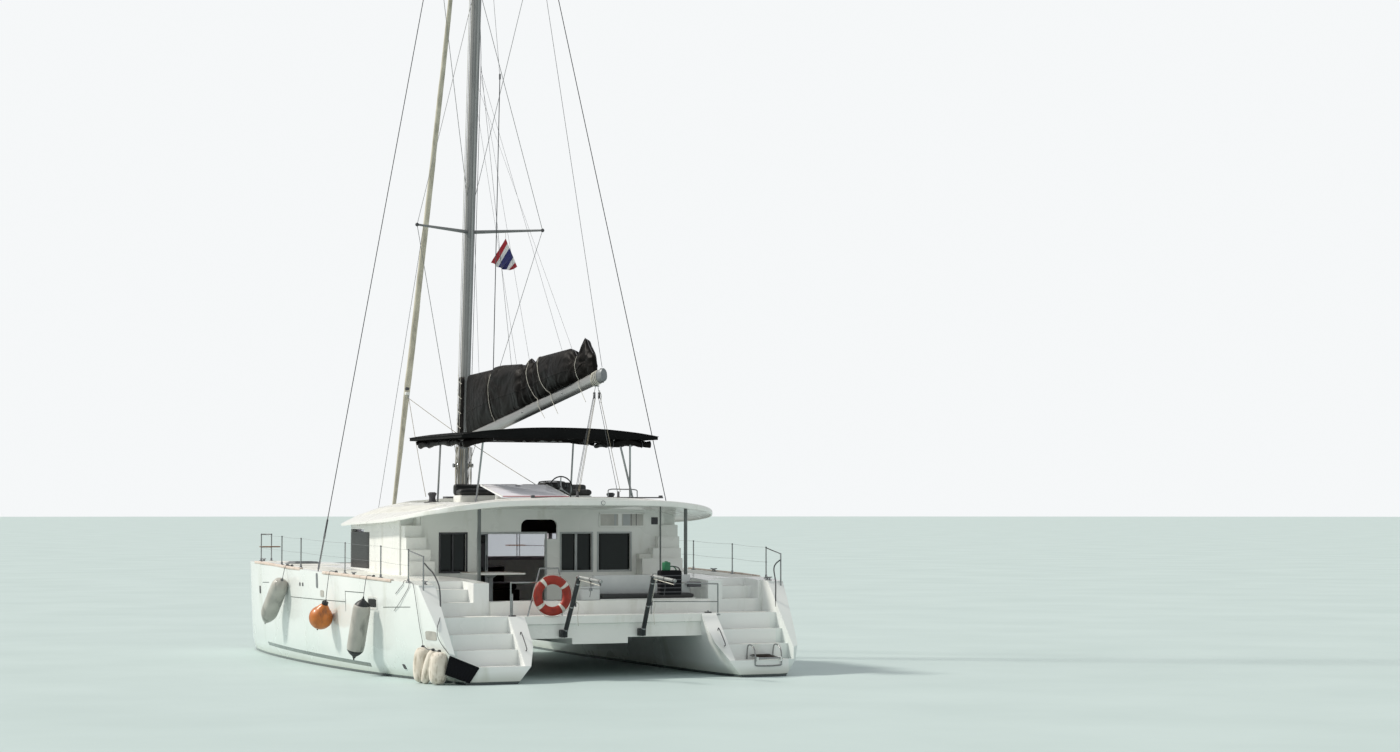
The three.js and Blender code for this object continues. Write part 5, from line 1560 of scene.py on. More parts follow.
@dataclass
class Flybridge:
    """What stands on the roof: seat, table panel, helm, rails, winches and non-slip deck."""

    deck: float = 3.215
    wheel: Point = (1.02, -1.0, 3.49)

    def build(self) -> None:
        """Makes everything on the flybridge."""
        self.seat()
        self.panel()
        self.console()
        self.helm()
        self.rails()
        self.floor()

    def seat(self) -> None:
        """Makes the lounge seat: two base cushions and a padded back along its fore side."""
        z = self.deck
        base = Shape().slab((0.625, 0.1, z + 0.075), (2.9, 0.46, 0.148), GELCOAT, 0.06, 0.02)
        base.piece("fly_seat_base", "gelcoat", "fly_seat")
        for name, x0, x1 in (("port", -0.845, 0.6), ("starboard", 0.612, 2.095)):
            middle, wide = (x0 + x1) / 2, x1 - x0
            Pad(f"fly_seat_{name}", (middle, 0.02, z + 0.208), (wide - 0.03, 0.31, 0.11), cap=0.012).build()
            Pad(f"fly_back_{name}", (middle, 0.26, z + 0.262), (wide - 0.03, 0.14, 0.23)).build()

    def panel(self) -> None:
        """Makes the sloping table top with its raised lip, hinge, catch and two legs."""
        aft, fore = np.array([-0.81, -4.3, 3.32]), np.array([-0.81, -3.1, 3.555])
        along = unit(fore - aft)
        across = np.array([1.0, 0, 0])
        axes = np.stack([across, along, np.cross(across, along)])
        middle = (aft + fore) / 2 + axes[2] * -0.014
        long = float(np.linalg.norm(fore - aft))
        # The top takes the whiter gelcoat: a painted highlight of sky light.
        top = Shape().slab(middle, (1.38, long - 0.01, 0.028), POLISHED_PAINTED_LIGHT, 0.02, 0.008, axes)
        for at, size, finish, corner, edge in (
            ((-0.675, 0, 0.012), (0.03, long - 0.03, 0.02), GELCOAT, 0.008, 0.006),
            ((0.675, 0, 0.012), (0.03, long - 0.03, 0.02), GELCOAT, 0.008, 0.006),
            ((0, 0.02 - long / 2, 0.012), (1.34, 0.03, 0.02), PINK_TRIM, 0.008, 0.006),
            ((0.04, 0.48, 0.016), (0.1, 0.035, 0.01), PLASTIC, 0.012, 0.004),
        ):
            top.slab(middle + at @ axes, size, finish, corner, edge, axes)
        hinge = middle - axes[1] * 0.5 - axes[2] * 0.02
        top.rod(hinge - axes[0] * 0.5, hinge + axes[0] * 0.5, 0.009, STEEL)
        top.piece("fly_panel_top", "gelcoat", "fly_panel")
        legs = Shape()
        legs.slab((-0.81, -3.44, 3.335), (1.0, 0.1, 0.235), GELCOAT, 0.03, 0.01)
        legs.slab((-0.81, -3.44, 3.222), (1.06, 0.118, 0.014), GELCOAT, 0.03, 0.005)
        legs.piece("fly_panel_leg", "gelcoat")

    def console(self) -> None:
        """Makes the covered helm console with its dials, engine levers and grab rail."""
        x, y, z = self.wheel[0], -0.635, self.deck
        box = Shape().slab((x, y, z + 0.205), (0.59, 0.45, 0.41), BLACK_VINYL, 0.06, 0.03)
        box.piece("helm_console_box", "gelcoat", "helm_console")
        dash = Shape()
        for row, (count, tall, size) in enumerate(((3, 0.345, 0.05), (2, 0.25, 0.036))):
            for k in range(count):
                at = x + (k - (count - 1) / 2) * 0.17 + (0.0 if row == 0 else 0.09)
                dash.rod((at, -0.8665, z + tall), (at, -0.855, z + tall), size, PLASTIC, 24)
                dash.rod((at, -0.8685, z + tall), (at, -0.86, z + tall), size * 0.84, LENS, 24)
        dash.slab((x, -0.63, z + 0.414), (0.4, 0.26, 0.012), PLASTIC, 0.03, 0.004)
        for lever in (x - 0.22, x - 0.17):
            dash.rod((lever, -0.7, z + 0.36), (lever - 0.02, -0.76, z + 0.44), 0.009, STEEL)
        side = [(0.27, -0.5, 0.38), (0.27, -0.5, 0.42)]
        bends = [(-off, back, up) for off, back, up in side] + [(0, -0.48, 0.44), *side[::-1]]
        rail = smooth_path([(x + off, back, z + up) for off, back, up in bends], 30)
        dash.tube(rail, 0.011, STEEL, 8, (0, 1, 0))
        dash.piece("helm_dash", "black_plastic")

    def helm(self) -> None:
        """Makes the wheel: a stitched rim, three flat spokes and a hub on its shaft."""
        x, y, z = self.wheel
        turn = np.linspace(0, 2 * np.pi, 73)
        grip = 1 + 0.05 * np.cos(turn * 3) ** 8
        rim = np.stack([x + 0.25 * np.cos(turn), np.full(73, y), z + 0.25 * np.sin(turn)], axis=1)
        shape = Shape().tube(rim, 0.0133 * grip, BLACK_VINYL, 12, (0, 1, 0))
        for k in range(3):
            angle = math.radians(90 + 120 * k)
            way = np.array([math.cos(angle), 0, math.sin(angle)])
            path = straight(self.wheel + way * 0.03, self.wheel + way * 0.247, 8)
            path[:, 1] += 0.012 * np.sin(np.linspace(0, np.pi, 8))
            flat = rounded_rectangle(0.026, 0.007, 0.003)
            shape.closed(sweep(path, flat, (0, 1, 0), np.linspace(1.25, 0.85, 8)), STEEL)
        rows = [[0, 0], [0.03, 0.02], [0.036, 0.12], [0.036, 0.3], [0.02, 0.36], [0.02, 1], [0, 1]]
        shape.turn(rows, (x, y - 0.022, z), (x, -0.8655, z), STEEL, 24)
        shape.piece("wheel_rim", "steel", "helm_wheel", body="helm_wheel")

    def rails(self) -> None:
        """Makes the low rail aft of the helm, the two winches and the clutches at the mast."""
        z = self.deck
        bends = (
            (0.87, -0.02), (0.87, 0.16), (0.9, 0.245), (1.17, 0.25), (1.45, 0.24), (1.48, 0.16),
            (1.48, -0.02),
        )
        hoop = smooth_path([(x, -3.8, z + up) for x, up in bends], 60)
        Shape().tube(hoop, 0.011, STEEL, 8, (0, 1, 0)).piece("fly_rail", "steel")
        winches = Shape()
        drum = [
            [0, 0], [0.1, 0], [0.1, 0.08], [0.075, 0.12], [0.062, 0.4], [0.066, 0.62], [0.085, 0.78],
            [0.085, 0.9], [0.05, 1], [0, 1],
        ]
        for x in (-1.9, 1.9):
            winches.turn(drum, (x, -1.5, z - 0.004), (x, -1.5, z + 0.2), PLASTIC, 24)
            winches.slab((x, -1.5, z + 0.003), (0.28, 0.28, 0.014), PLASTIC, 0.05, 0.004)
        for k in range(8):
            x = (0.33 + 0.07 * (k // 2)) * (1 if k % 2 else -1)
            winches.slab((x, 1.55, 3.31), (0.05, 0.24, 0.07), PLASTIC, 0.012, 0.01)
        winches.piece("winches", "black_plastic")

    def floor(self) -> None:
        """Lays the non-slip panels on the flybridge deck."""
        skin = Skin("hardtop")
        shape = Shape()
        for x0, x1, y0, y1 in (
            (-2.05, -0.06, -1.6, -0.25), (0.06, 0.68, -1.6, -0.25), (1.36, 2.05, -1.6, -0.25),
            (-2.05, -0.06, -3.0, -1.72), (0.06, 1.18, -3.9, -1.72), (-2.0, -1.56, -4.2, -3.12),
            (1.26, 2.05, -2.65, -1.72), (-2.05, -0.95, -0.13, 0.8), (-0.02, 1.16, -4.25, -4.0),
        ):
            shape.panel(skin, rectangle(x0, x1, y0, y1), (6, 6), 0.05, 0.0025)
        shape.piece("fly_deck_panels", "gelcoat", angle=40)


# ---- Cockpit and saloon ----


@dataclass
class Cockpit:
    """The aft deck: benches and cushions, table, locker, roof posts and stair."""

    floor: float = 1.15
    sill: float = 1.4003
    post: Point = (2.1, -4.7)
    thin_post: Point = (1.75, -4.3)

    def build(self) -> None:
        """Makes what stands in the cockpit."""
        for name in ("fly_stair", "fly_stair_port"):
            Dress(name, GELCOAT, "gelcoat", 28, 0.02, others=((NONSKID, DECK),)).piece()
        self.bench()
        self.settee()
        self.table()
        self.posts()

    def bench(self) -> None:
        """Makes the aft bench: back, base, locker with its lid line, and the long sagging cushion."""
        z = self.sill
        shape = Shape()
        # The back and the locker take the grey gelcoat, whose grey is painted shade of a wall in shadow;
        # its streaks are real dirt.
        for x, y, up, size, finish, corner, edge in (
            (0.94, -5.226, 0.225, (1.975, 0.149, 0.449), BENCH_PAINTED_SHADE, 0.03, 0.02),
            (0.94, -5.44, 0.01, (1.96, 0.24, 0.02), GELCOAT, 0.03, 0.006),
            (-0.23, -5.38, 0.106, (0.398, 0.398, 0.212), BENCH_PAINTED_SHADE, 0.05, 0.012),
            (-0.23, -5.38, 0.2325, (0.398, 0.398, 0.034), BENCH_PAINTED_SHADE, 0.05, 0.014),
            (-0.23, -5.583, 0.2, (0.06, 0.012, 0.05), STEEL, 0.004, 0.003),
        ):
            shape.slab((x, y, z + up), size, finish, corner, edge)
        shape.piece("aft_bench_shell", "gelcoat", "aft_bench")
        Pad("bench_cushion", (0.94, -5.44, z + 0.064), (1.93, 0.27, 0.075), sag=0.012, fill=0.5).build()

    def settee(self) -> None:
        """Makes the short settee by the bulkhead: a moulded base and its cushion."""
        z = self.floor
        base = Shape().slab((-1.786, -2.83, z + 0.155), (0.8, 0.43, 0.308), GELCOAT, 0.04, 0.02)
        base.piece("settee_base", "gelcoat", "cockpit_settee")
        Pad("settee_cushion", (-1.786, -2.83, z + 0.362), (0.78, 0.42, 0.1)).build()

    def table(self) -> None:
        """Makes the table: a bull-nosed top with a raised rim, a tapered leg and its foot plate."""
        top = Shape().slab((-1.45, -3.675, 1.8675), (0.998, 1.048, 0.034), GELCOAT, 0.1, 0.014)
        top.tube(flat_loop(0.95, 1.0, 0.08, (-1.45, -3.675, 1.8825)), 0.006, TEAK, 8, (0, 0, 1))
        rows = [
            [0, 0], [0.15, 0], [0.15, 0.014], [0.14, 0.022], [0.056, 0.04], [0.05, 0.1], [0.044, 0.5],
            [0.05, 0.9], [0.12, 0.97], [0.12, 0.995], [0, 0.995],
        ]
        top.turn(rows, (-1.5, -3.7, self.floor + 0.0003), (-1.5, -3.7, 1.852), CAST_ALLOY, 28)
        top.piece("cockpit_table_top", "gelcoat", "cockpit_table", 35)

    def posts(self) -> None:
        """Makes the roof posts with their foot flanges, and the thin post by the stair."""
        for side in ("port", "starboard"):
            Dress(f"roof_post_{side}", POST_GREY, "alloy").piece()
        shape = Shape()
        out, y = self.post
        for x in (-out, out):
            shape.turn(flange(0.075, 0.05), (x, y, 1.15), (x, y, 1.17), STEEL, 24)
            shape.turn(flange(0.06, 0.04, 0.5), (x, y, 3.135), (x, y, 3.1), STEEL, 24)
        foot = (*self.thin_post, self.floor)
        shape.rod(foot, (*self.thin_post, 3.16), 0.016, POST_GREY)
        shape.turn(flange(0.05, 0.02), foot, (*self.thin_post, 1.17), STEEL, 20)
        shape.piece("post_flanges", "steel")


@dataclass
class Saloon:
    """The glazed front of the accommodation: shell, windows, door and the sofa seen inside."""

    def build(self) -> None:
        """Dresses the cabin and lays its trim."""
        Dress("cabin_shell", GELCOAT, "gelcoat", 28).piece()
        Dress("cabin_glass", CLEAR_GLASS, "dark_glass", 28).piece()
        Dress("aft_bulkhead", GELCOAT, "gelcoat", 28, 0.008).piece()
        for side in ("port", "starboard"):
            Dress(f"aft_glass_{side}", GLASS, "dark_glass").piece()
        Dress("mast_post", MAST_ALLOY, "alloy").piece()
        self.door()
        self.sofa()
        self.frames()
        self.sides()

    def door(self) -> None:
        """Makes the sliding door: an aluminium frame round tinted glass, a long handle and rollers."""
        x0, x1, y, z0, z1 = -2.51, -1.11, 2.5015, 1.16, 2.64
        shape = Shape()
        x, z, wide, tall = (x0 + x1) / 2, (z0 + z1) / 2, x1 - x0, z1 - z0
        for cx, cz, w, h in (
            (x0 + 0.03, z, 0.06, tall), (x1 - 0.03, z, 0.06, tall),
            (x, z0 + 0.04, wide - 0.12, 0.08), (x, z1 - 0.03, wide - 0.12, 0.06),
        ):
            shape.slab((cx, -y, cz), (w, 0.034, h), CAST_ALLOY, 0.004, 0.004)
        shape.slab((x, -y, z + 0.01), (wide - 0.11, 0.012, tall - 0.13), GLASS, 0.002, 0.001)
        shape.slab((x1 - 0.03, -y - 0.0165, 2.05), (0.024, 0.012, 0.3), PLASTIC, 0.008, 0.005)
        for x in (x0 + 0.15, x1 - 0.15):
            shape.rod((x, -y - 0.012, 1.1645), (x, -y + 0.012, 1.1645), 0.0132, PLASTIC, 18)
        shape.piece("saloon_door_leaf", "dark_glass", "saloon_door", body="saloon_door")

    def sofa(self) -> None:
        """Makes the sofa seen through the doorway: base, three seat cushions and three backs."""
        base = Shape().slab((-0.5, 1.4, 1.28), (2.77, 0.98, 0.255), DARK_WOOD, 0.05, 0.02)
        base.piece("saloon_sofa_base", "gelcoat", "saloon_sofa")
        Shape().slab((1.0, 0.6, 2.77), (2.6, 0.03, 0.38), BROWN_VINYL, 0.01, 0.004).piece("saloon_blind")
        for k in range(3):
            x = -1.41 + 0.91 * k
            Pad(f"sofa_seat_{k + 1}", (x, 1.28, 1.48), (0.87, 0.68, 0.13), BROWN_VINYL).build()
            Pad(f"sofa_back_{k + 1}", (x, 1.76, 1.68), (0.87, 0.2, 0.42), BROWN_VINYL, cap=0.016).build()

    def frames(self) -> None:
        """Makes the window frames and mullions in the aft bulkhead, and the door's track."""
        shape = Shape()
        y = -2.6045
        for x0, x1, z0, z1, width in (
            (-2.13, -1.58, 1.87, 2.62, 0.035), (0.37, 1.04, 1.87, 2.62, 0.035),
            (1.16, 1.87, 1.87, 2.62, 0.035), (-1.35, 0.06, 1.16, 2.62, 0.04),
        ):
            x, z, wide, tall = (x0 + x1) / 2, (z0 + z1) / 2, x1 - x0, z1 - z0
            finish = PLASTIC if x1 < -1.5 else FRAME_GREY
            for cx, cz, w, h in (
                (x0, z, width, tall + width), (x1, z, width, tall + width),
                (x, z0, wide - width, width), (x, z1, wide - width, width),
            ):
                shape.slab((cx, y, cz), (w, 0.014, h), finish, 0.004, 0.003)
        shape.slab((0.705, -2.565, 2.245), (0.05, 0.03, 0.73), FRAME_GREY, 0.004, 0.003)
        shape.slab((-1.855, -2.565, 2.245), (0.03, 0.03, 0.73), PLASTIC, 0.004, 0.003)
        shape.slab((-0.65, -2.62, 1.158), (1.3, 0.034, 0.014), CAST_ALLOY, 0.004, 0.003)
        upper = (
            (1.67, 2.87, 0.95, 0.26, FROSTED, 0), (1.67, 2.742, 0.98, 0.03, GELCOAT, 0.006),
            (1.67, 3.0, 0.98, 0.03, GELCOAT, 0.004), (1.195, 2.87, 0.03, 0.27, GELCOAT, 0.004),
            (2.145, 2.87, 0.03, 0.27, GELCOAT, 0.004), (1.53, 2.87, 0.05, 0.24, FRAME_GREY, 0.003),
            (1.63, 2.87, 0.08, 0.24, GELCOAT, 0.003), (1.77, 2.87, 0.16, 0.24, FRAME_GREY, 0.001),
            (1.87, 2.87, 0.014, 0.26, PLASTIC, 0.004), (1.98, 2.87, 0.014, 0.26, PLASTIC, 0.004),
            (2.38, 2.85, 0.14, 0.14, PLASTIC, 0.002),
        )
        for cx, cz, w, h, finish, out in upper:
            shape.slab((cx, y - out, cz), (w, 0.014, h), finish, 0.004, 0.003)
        turn = np.linspace(0, np.pi / 2, 9)
        for x, side in ((-0.462, 1), (0.302, -1)):
            across, up = x + side * 0.14 * (1 - np.cos(turn)), 2.882 - 0.14 * (1 - np.sin(turn))
            arc = np.stack([across, np.zeros(9), up], axis=1)
            corner = np.broadcast_to([x - side * 0.02, 0, 2.9], arc.shape)
            front, back = (0, -2.6065, 0), (0, -2.535, 0)
            rows = [arc + front, corner + front, corner + back, arc + back, arc + front]
            shape.grid(np.stack(rows, axis=1), GELCOAT)
        shape.piece("bulkhead_frames", "gelcoat")

    def sides(self) -> None:
        """Lays the dark windows over the cabin's sides: a bent plate that follows the wall."""
        plan = np.array([[-2.45, 2.89], [-1.5, 2.88], [-0.3, 2.84], [1.0, 2.76], [1.65, 2.56]])
        y = np.linspace(-0.46, 1.5, 24)
        for side, s in (("port", -1), ("starboard", 1)):
            x = np.interp(y, plan[:, 0], plan[:, 1])
            ring = ((-0.002, 1.905), (0.004, 1.91), (0.004, 2.625), (-0.002, 2.63), (-0.002, 1.905))
            rows = [np.column_stack([s * (x + out), y, np.full(24, z)]) for out, z in ring]
            plate = np.stack(rows, axis=1)
            Shape().closed(plate, DARK_PANE).piece(f"side_window_{side}", "dark_glass", angle=40)


# ---- Fenders and stern gear ----


# y and how far out the guard rail stands; y and the deck's height; y and how far out the gunwale stands.
RAIL = np.array(
    [[-5.12, 3.612], [-3.58, 3.63], [-1.6, 3.7], [1.3, 3.72], [2.75, 3.7], [5.1, 3.48], [6.6, 3.06]]
)
SHEER = np.array(
    [
        [-6.97, 1.65], [-6.1, 1.7], [-5.0, 1.765], [-3.5, 1.805], [-1.0, 1.85], [1.5, 1.9], [4.0, 1.943],
        [7.09, 1.93],
    ]
)
GUNWALE = np.array(
    [
        [-6.1, 3.61], [-5.0, 3.71], [-3.5, 3.84], [-1.0, 3.935], [1.5, 3.925], [4.0, 3.76], [5.5, 3.56],
        [6.5, 3.33], [7.05, 3.16],
    ]
)


def deck_z(y: float | Array) -> float | Array:
    """The height of a hull's deck at y."""
    return np.interp(y, SHEER[:, 0], SHEER[:, 1])


def gunwale_x(y: float | Array) -> float | Array:
    """How far out a hull's gunwale stands at y."""
    return np.interp(y, GUNWALE[:, 0], GUNWALE[:, 1])


@dataclass
class Fender:
    """An inflated fender: a turned body with moulded ends and eyes, hung by a line over the gunwale.

    Attributes:
        name: The CAD node that it stands for.
        low: Its lower end.
        top: Its upper end.
        radius: Its radius.
        body: Its finish.
        ends: The finish of its moulded ends.
        rows: Its profile: radius as a share of its own, and share of its length.
        dark: The number of rows at each end that have the ends' finish.
        ahead: How far forward of its top the line goes over the gunwale.
    """

    name: str
    low: Point
    top: Point
    radius: float
    body: Finish
    ends: Finish
    rows: tuple = (
        (0, 0), (0.17, 0), (0.2, 0.02), (0.3, 0.032), (0.62, 0.068), (0.86, 0.11), (0.93, 0.13),
        (0.95, 0.14), (1, 0.19), (1, 0.5), (1, 0.82), (0.95, 0.865), (0.93, 0.875), (0.86, 0.895),
        (0.6, 0.94), (0.3, 0.975), (0.2, 0.985), (0.17, 1), (0, 1),
    )
    dark: tuple[int, int] = (7, 6)
    ahead: float = 0.0

    def build(self) -> None:
        """Makes the body, its ends and its line."""
        low, top = np.asarray(self.low, float), np.asarray(self.top, float)
        rows = np.array(self.rows) * (self.radius, 1)
        full = turned(rows, low, top, 36)
        a, b = self.dark[0], len(rows) - self.dark[1]
        shape = Shape()
        for start, stop, finish in ((0, a + 1, self.ends), (a, b + 1, self.body), (b, None, self.ends)):
            shape.grid(full[start:stop], finish)
        way = unit(top - low)
        for end, out in ((low, -way), (top, way)):
            turn = np.linspace(0, 2 * np.pi, 19)[:, None]
            eye = end + out * 0.018 + 0.024 * (np.cos(turn) * way + np.sin(turn) * (0, 1, 0))
            shape.tube(eye, 0.008, self.ends, 8, (1, 0, 0))
        shape.piece(self.name + "_body", "", self.name, 50)
        self.line(top + way * 0.02)

    def line(self, start: Array) -> None:
        """Makes the line: up from the eye, over the gunwale's strip, to three turns round a deck eye.

        Args:
            start: Where it leaves the fender.
        """
        y = float(self.top[1]) + self.ahead
        gun = gunwale_x(y)
        over = np.array([-gun - 0.012, y, deck_z(y) + 0.02])
        turn = np.linspace(0, 6 * np.pi, 40)
        turns = np.stack([-0.022 * np.cos(turn), 0.0021 * turn, 0.022 * np.sin(turn)], axis=1)
        hitch = turns + (0.13 - gun, y, deck_z(y) + 0.026)
        half_way = start * 0.5 + over * 0.5 + (-0.006, 0, 0)
        up = smooth_path([start, half_way, over, over + (0.05, 0, 0.022), hitch[0]], 34)
        eye = hitch.mean(axis=0)
        Shape().rod(eye - (0, 0.045, 0), eye + (0, 0.045, 0), 0.016, STEEL).piece(self.name + "_eye")
        Line(self.name + "_line", np.vstack([up[:-1], hitch]), 0.012, DARK_ROPE, count=0).free()


@dataclass
class SternGear:
    """The rails, davits, lifebuoy, covered unit, ladder and mat at the stern, and the fenders."""

    rail_y: float = -6.08
    beam_top: float = 1.11
    buoy: Point = (-1.22, -6.1528, 1.52)
    buoy_radius: float = 0.285
    buoy_tube: float = 0.082
    cone: tuple = (
        (0, 0), (0.16, 0), (0.26, 0.02), (0.62, 0.09), (0.88, 0.17), (0.97, 0.22), (1, 0.3), (1, 0.5),
        (1, 0.8), (0.95, 0.87), (0.8, 0.93), (0.45, 0.97), (0.2, 0.985), (0, 1),
    )

    def build(self) -> None:
        """Makes the stern's gear."""
        for side in ("port", "starboard"):
            Dress(f"stern_rail_{side}", STEEL, "steel", 40).piece()
        self.fenders()
        self.stern_fenders()
        self.davits()
        self.lifebuoy()
        self.unit()
        self.ladder()
        self.mat()
        self.fittings()

    def fenders(self) -> None:
        """Makes the three fenders along the port side."""
        Fender(
            "fender_fore", (-4.15, 2.35, 0.76), (-4.05, 1.5, 1.66), 0.175, GREY_VINYL, GREY_END, self.cone,
            (1, 2), 0.2,
        ).build()
        Fender(
            "fender_mid", (-4.1, -3.46, 0.33), (-4.03, -3.78, 1.43), 0.165, GREY_VINYL, BLUE_VINYL,
            ahead=0.35,
        ).build()
        middle, collar = np.array([-4.13, -1.45, 1.0]), np.array([-4.085, -1.6, 1.31])
        way = unit(collar - middle)
        long = 0.23 + float(np.linalg.norm(collar - middle))
        ball = tuple((math.sin(t), (0.23 - 0.23 * math.cos(t)) / long) for t in np.linspace(0.001, 2.5, 22))
        neck = ((0.52, 0.76), (0.42, 0.82), (0.31, 0.87), (0.27, 0.9), (0.27, 0.985), (0.2, 1.0), (0, 1.0))
        Fender(
            "fender_ball", middle - way * 0.23, collar, 0.23, ORANGE_VINYL, BLUE_VINYL, ball + neck, (0, 4),
            0.25,
        ).build()

    def stern_fenders(self) -> None:
        """Makes the three fleece-covered fenders at the stern and the dark cord through their tops."""
        stood = (
            (-3.65, -5.97, 0.64, 0.158, 0), (-3.67, -6.2, 0.6, 0.098, 1), (-3.57, -6.61, 0.585, 0.165, 0)
        )
        tips = np.array([(x + 0.03 + 0.06 * lean, y - 0.2 * lean, top) for x, y, top, _, lean in stood])
        shape = Shape()
        for seed, (x, y, _, wide, _) in enumerate(stood):
            share = np.linspace(0, 1, 40)
            radius = wide * np.minimum(1, np.sqrt(1 - (2 * share - 1) ** 6))
            radius *= 0.97 - 0.06 * np.cos(share * 6.3)
            tip = tips[seed]
            body = turned(np.column_stack([radius, share]), (x, y, 0.002), tip, 32)
            axis = np.array([x, y]) + share[:, None] * (tip[:2] - (x, y))
            turn = np.linspace(0, 2 * np.pi, 33)[None]
            pile = ripple(share[:, None] * 0.5, np.cos(turn) * 2.4, seed + 31, 8, 2.0, 0.6)
            fold = 1 - 0.03 * np.abs(pile)
            fold = (fold + fold[:, ::-1]) / 2
            body[..., :2] = axis[:, None] + (body[..., :2] - axis[:, None]) * fold[..., None]
            shape.grid(body, FLEECE)
            shape.turn(
                [[0, 0], [0.03, 0], [0.035, 0.5], [0.02, 1], [0, 1]], tip - (0, 0, 0.012),
                tip + (0, 0, 0.03), BLUE_VINYL, 16,
            )
        shape.piece("stern_fender_covers", "fender_cream", "fenders_stern", 75)
        knots = tips + (0, 0, 0.02)
        sag = [knots[0], (-3.595, -6.18, 0.6), knots[1], (-3.56, -6.5, 0.59), knots[2]]
        Line("stern_fender_cord", sag, 0.014, DARK_ROPE, count=40).free()
        up = [
            knots[0], (-3.6, -5.84, 0.8), (-3.606, -5.76, 0.95), (-3.634, -5.72, 1.2),
            (-3.668, -5.64, 1.59), (-3.678, -5.57, 1.74), (-3.64, -5.4, 1.765), (-3.622, -5.17, 1.785),
        ]
        Line("stern_fender_line", up, 0.01, DARK_ROPE, count=40).free()
        down = [
            (-3.335, -6.12, 1.275), (-3.43, -6.3, 1.125), (-3.52, -6.44, 0.985), (-3.535, -6.52, 0.84),
            (-3.5, -6.64, 0.7), (-3.42, -6.8, 0.535),
        ]
        Line("mat_line", down, 0.012, DARK_ROPE, count=40).free()

    def davits(self) -> None:
        """Makes each davit: strut, foot, clamps, arm, blocks, falls and rope tails."""
        for name, foot, head, tip in (("port", -1.01, -0.96, -0.85), ("starboard", 0.54, 0.5, 0.59)):
            a, b = np.array([foot, -6.2, 0.77]), np.array([head, -6.8, 1.88])
            c, d = np.array([head, -6.72, 1.87]), np.array([tip, -7.56, 1.8])
            shape = Shape().rod(a, b, 0.042, DAVIT_PAINT, 20)
            shape.slab((foot, -6.161, 0.83), (0.12, 0.157, 0.138), DAVIT_PAINT, 0.02, 0.01)
            shape.rod(c, d, 0.031, ARM_GREY, 20)
            for share in (0.12, 0.5, 0.88):
                at = a + (b - a) * share
                shape.rod(at - unit(b - a) * 0.02, at + unit(b - a) * 0.02, 0.0432, STEEL, 20)
            for share in (0.06, 0.55, 0.95):
                at = c + (d - c) * share
                shape.rod(at - unit(d - c) * 0.022, at + unit(d - c) * 0.022, 0.034, PLASTIC, 20)
                shape.slab(at + (0, 0, -0.05), (0.022, 0.05, 0.06), PLASTIC, 0.01, 0.008)
            shape.slab(b + (0, 0.01, -0.02), (0.09, 0.11, 0.03), STEEL, 0.02, 0.006)
            shape.piece(f"davit_{name}_arm", "alloy", f"davit_{name}", 40)
            falls = Shape()
            cleat = a + (b - a) * 0.55 + (0.05, -0.02, 0)
            for k in range(2):
                start = c + (d - c) * 0.95 + (0.006 * (2 * k - 1), 0, -0.075)
                falls.wire(start, b + (0.02 * (2 * k - 1), -0.05, -0.06), 0.006, WHITE_ROPE, 6, 12)
            falls.wire(b + (0.03, -0.05, -0.06), cleat, 0.006, WHITE_ROPE, 6, 12)
            falls.slab(cleat, (0.03, 0.03, 0.11), PLASTIC, 0.008, 0.006)
            falls.piece(f"davit_{name}_falls", "alloy")
            falling = [(0.02, 0, 0.03), (0.055, -0.03, -0.03), (0.03, -0.03, -0.2), (0.05, -0.02, -0.4)]
            tail = cleat + np.array(falling)
            Line(f"davit_{name}_tail", tail, count=30).free("bare")
            hook = c + (d - c) * 0.55 + (0, 0, -0.075)
            end = [hook, hook + (0.01, 0.01, -0.1), hook + (-0.01, 0.02, -0.24)]
            Line(f"davit_{name}_pennant", end, 0.01, DARK_ROPE, count=20).free("knot")

    def lifebuoy(self) -> None:
        """Makes the ring with its four reflective bands and the grab line round it.

        Formula: a circle of 82 mm, flattened to three quarters fore and aft, turned about the ring's
        middle at 285 mm; the bands are the same surface raised by 2 mm.
        """
        middle = np.array(self.buoy)

        def ring(around: Array, raise_by: float) -> Array:
            """Points of the ring's surface at some angles around it.

            Args:
                around: The angles, in radians.
                raise_by: How far out of the surface.

            Returns:
                The points, by angle and step round the tube.
            """
            turn = np.linspace(0, 2 * np.pi, 25)[None]
            tube = self.buoy_tube + raise_by
            out = self.buoy_radius + tube * np.cos(turn)
            x, z = out * np.cos(around[:, None]), out * np.sin(around[:, None])
            return middle + np.stack([x, np.broadcast_to(0.75 * tube * np.sin(turn), x.shape), z], axis=-1)

        shape = Shape().grid(ring(np.linspace(0, 2 * np.pi, 97), 0), BUOY_RED)
        line = Shape()
        for k in range(4):
            at = math.radians(38 + 90 * k)
            shape.closed(ring(np.linspace(at - 0.1, at + 0.1, 10), 0.0022), BUOY_BAND)
            turn = np.linspace(at, at + np.pi / 2, 30)
            slack = 0.368 + 0.022 * np.sin((turn - at) * 2) ** 0.7
            arc = middle + np.stack([slack * np.cos(turn), 0 * turn - 0.02, slack * np.sin(turn)], axis=1)
            line.tube(arc, 0.005, WHITE_ROPE, 6, (0, 1, 0))
        shape.piece("lifebuoy_ring", "buoy_red", "lifebuoy", 60)
        line.piece("lifebuoy_grab_line")
        for k, x in enumerate((-1.3, -1.12)):
            strap = Shape().slab((x, -6.083, 1.76), (0.03, 0.036, 0.1), PLASTIC, 0.01, 0.006)
            strap.piece(f"lifebuoy_strap_{k + 1}")

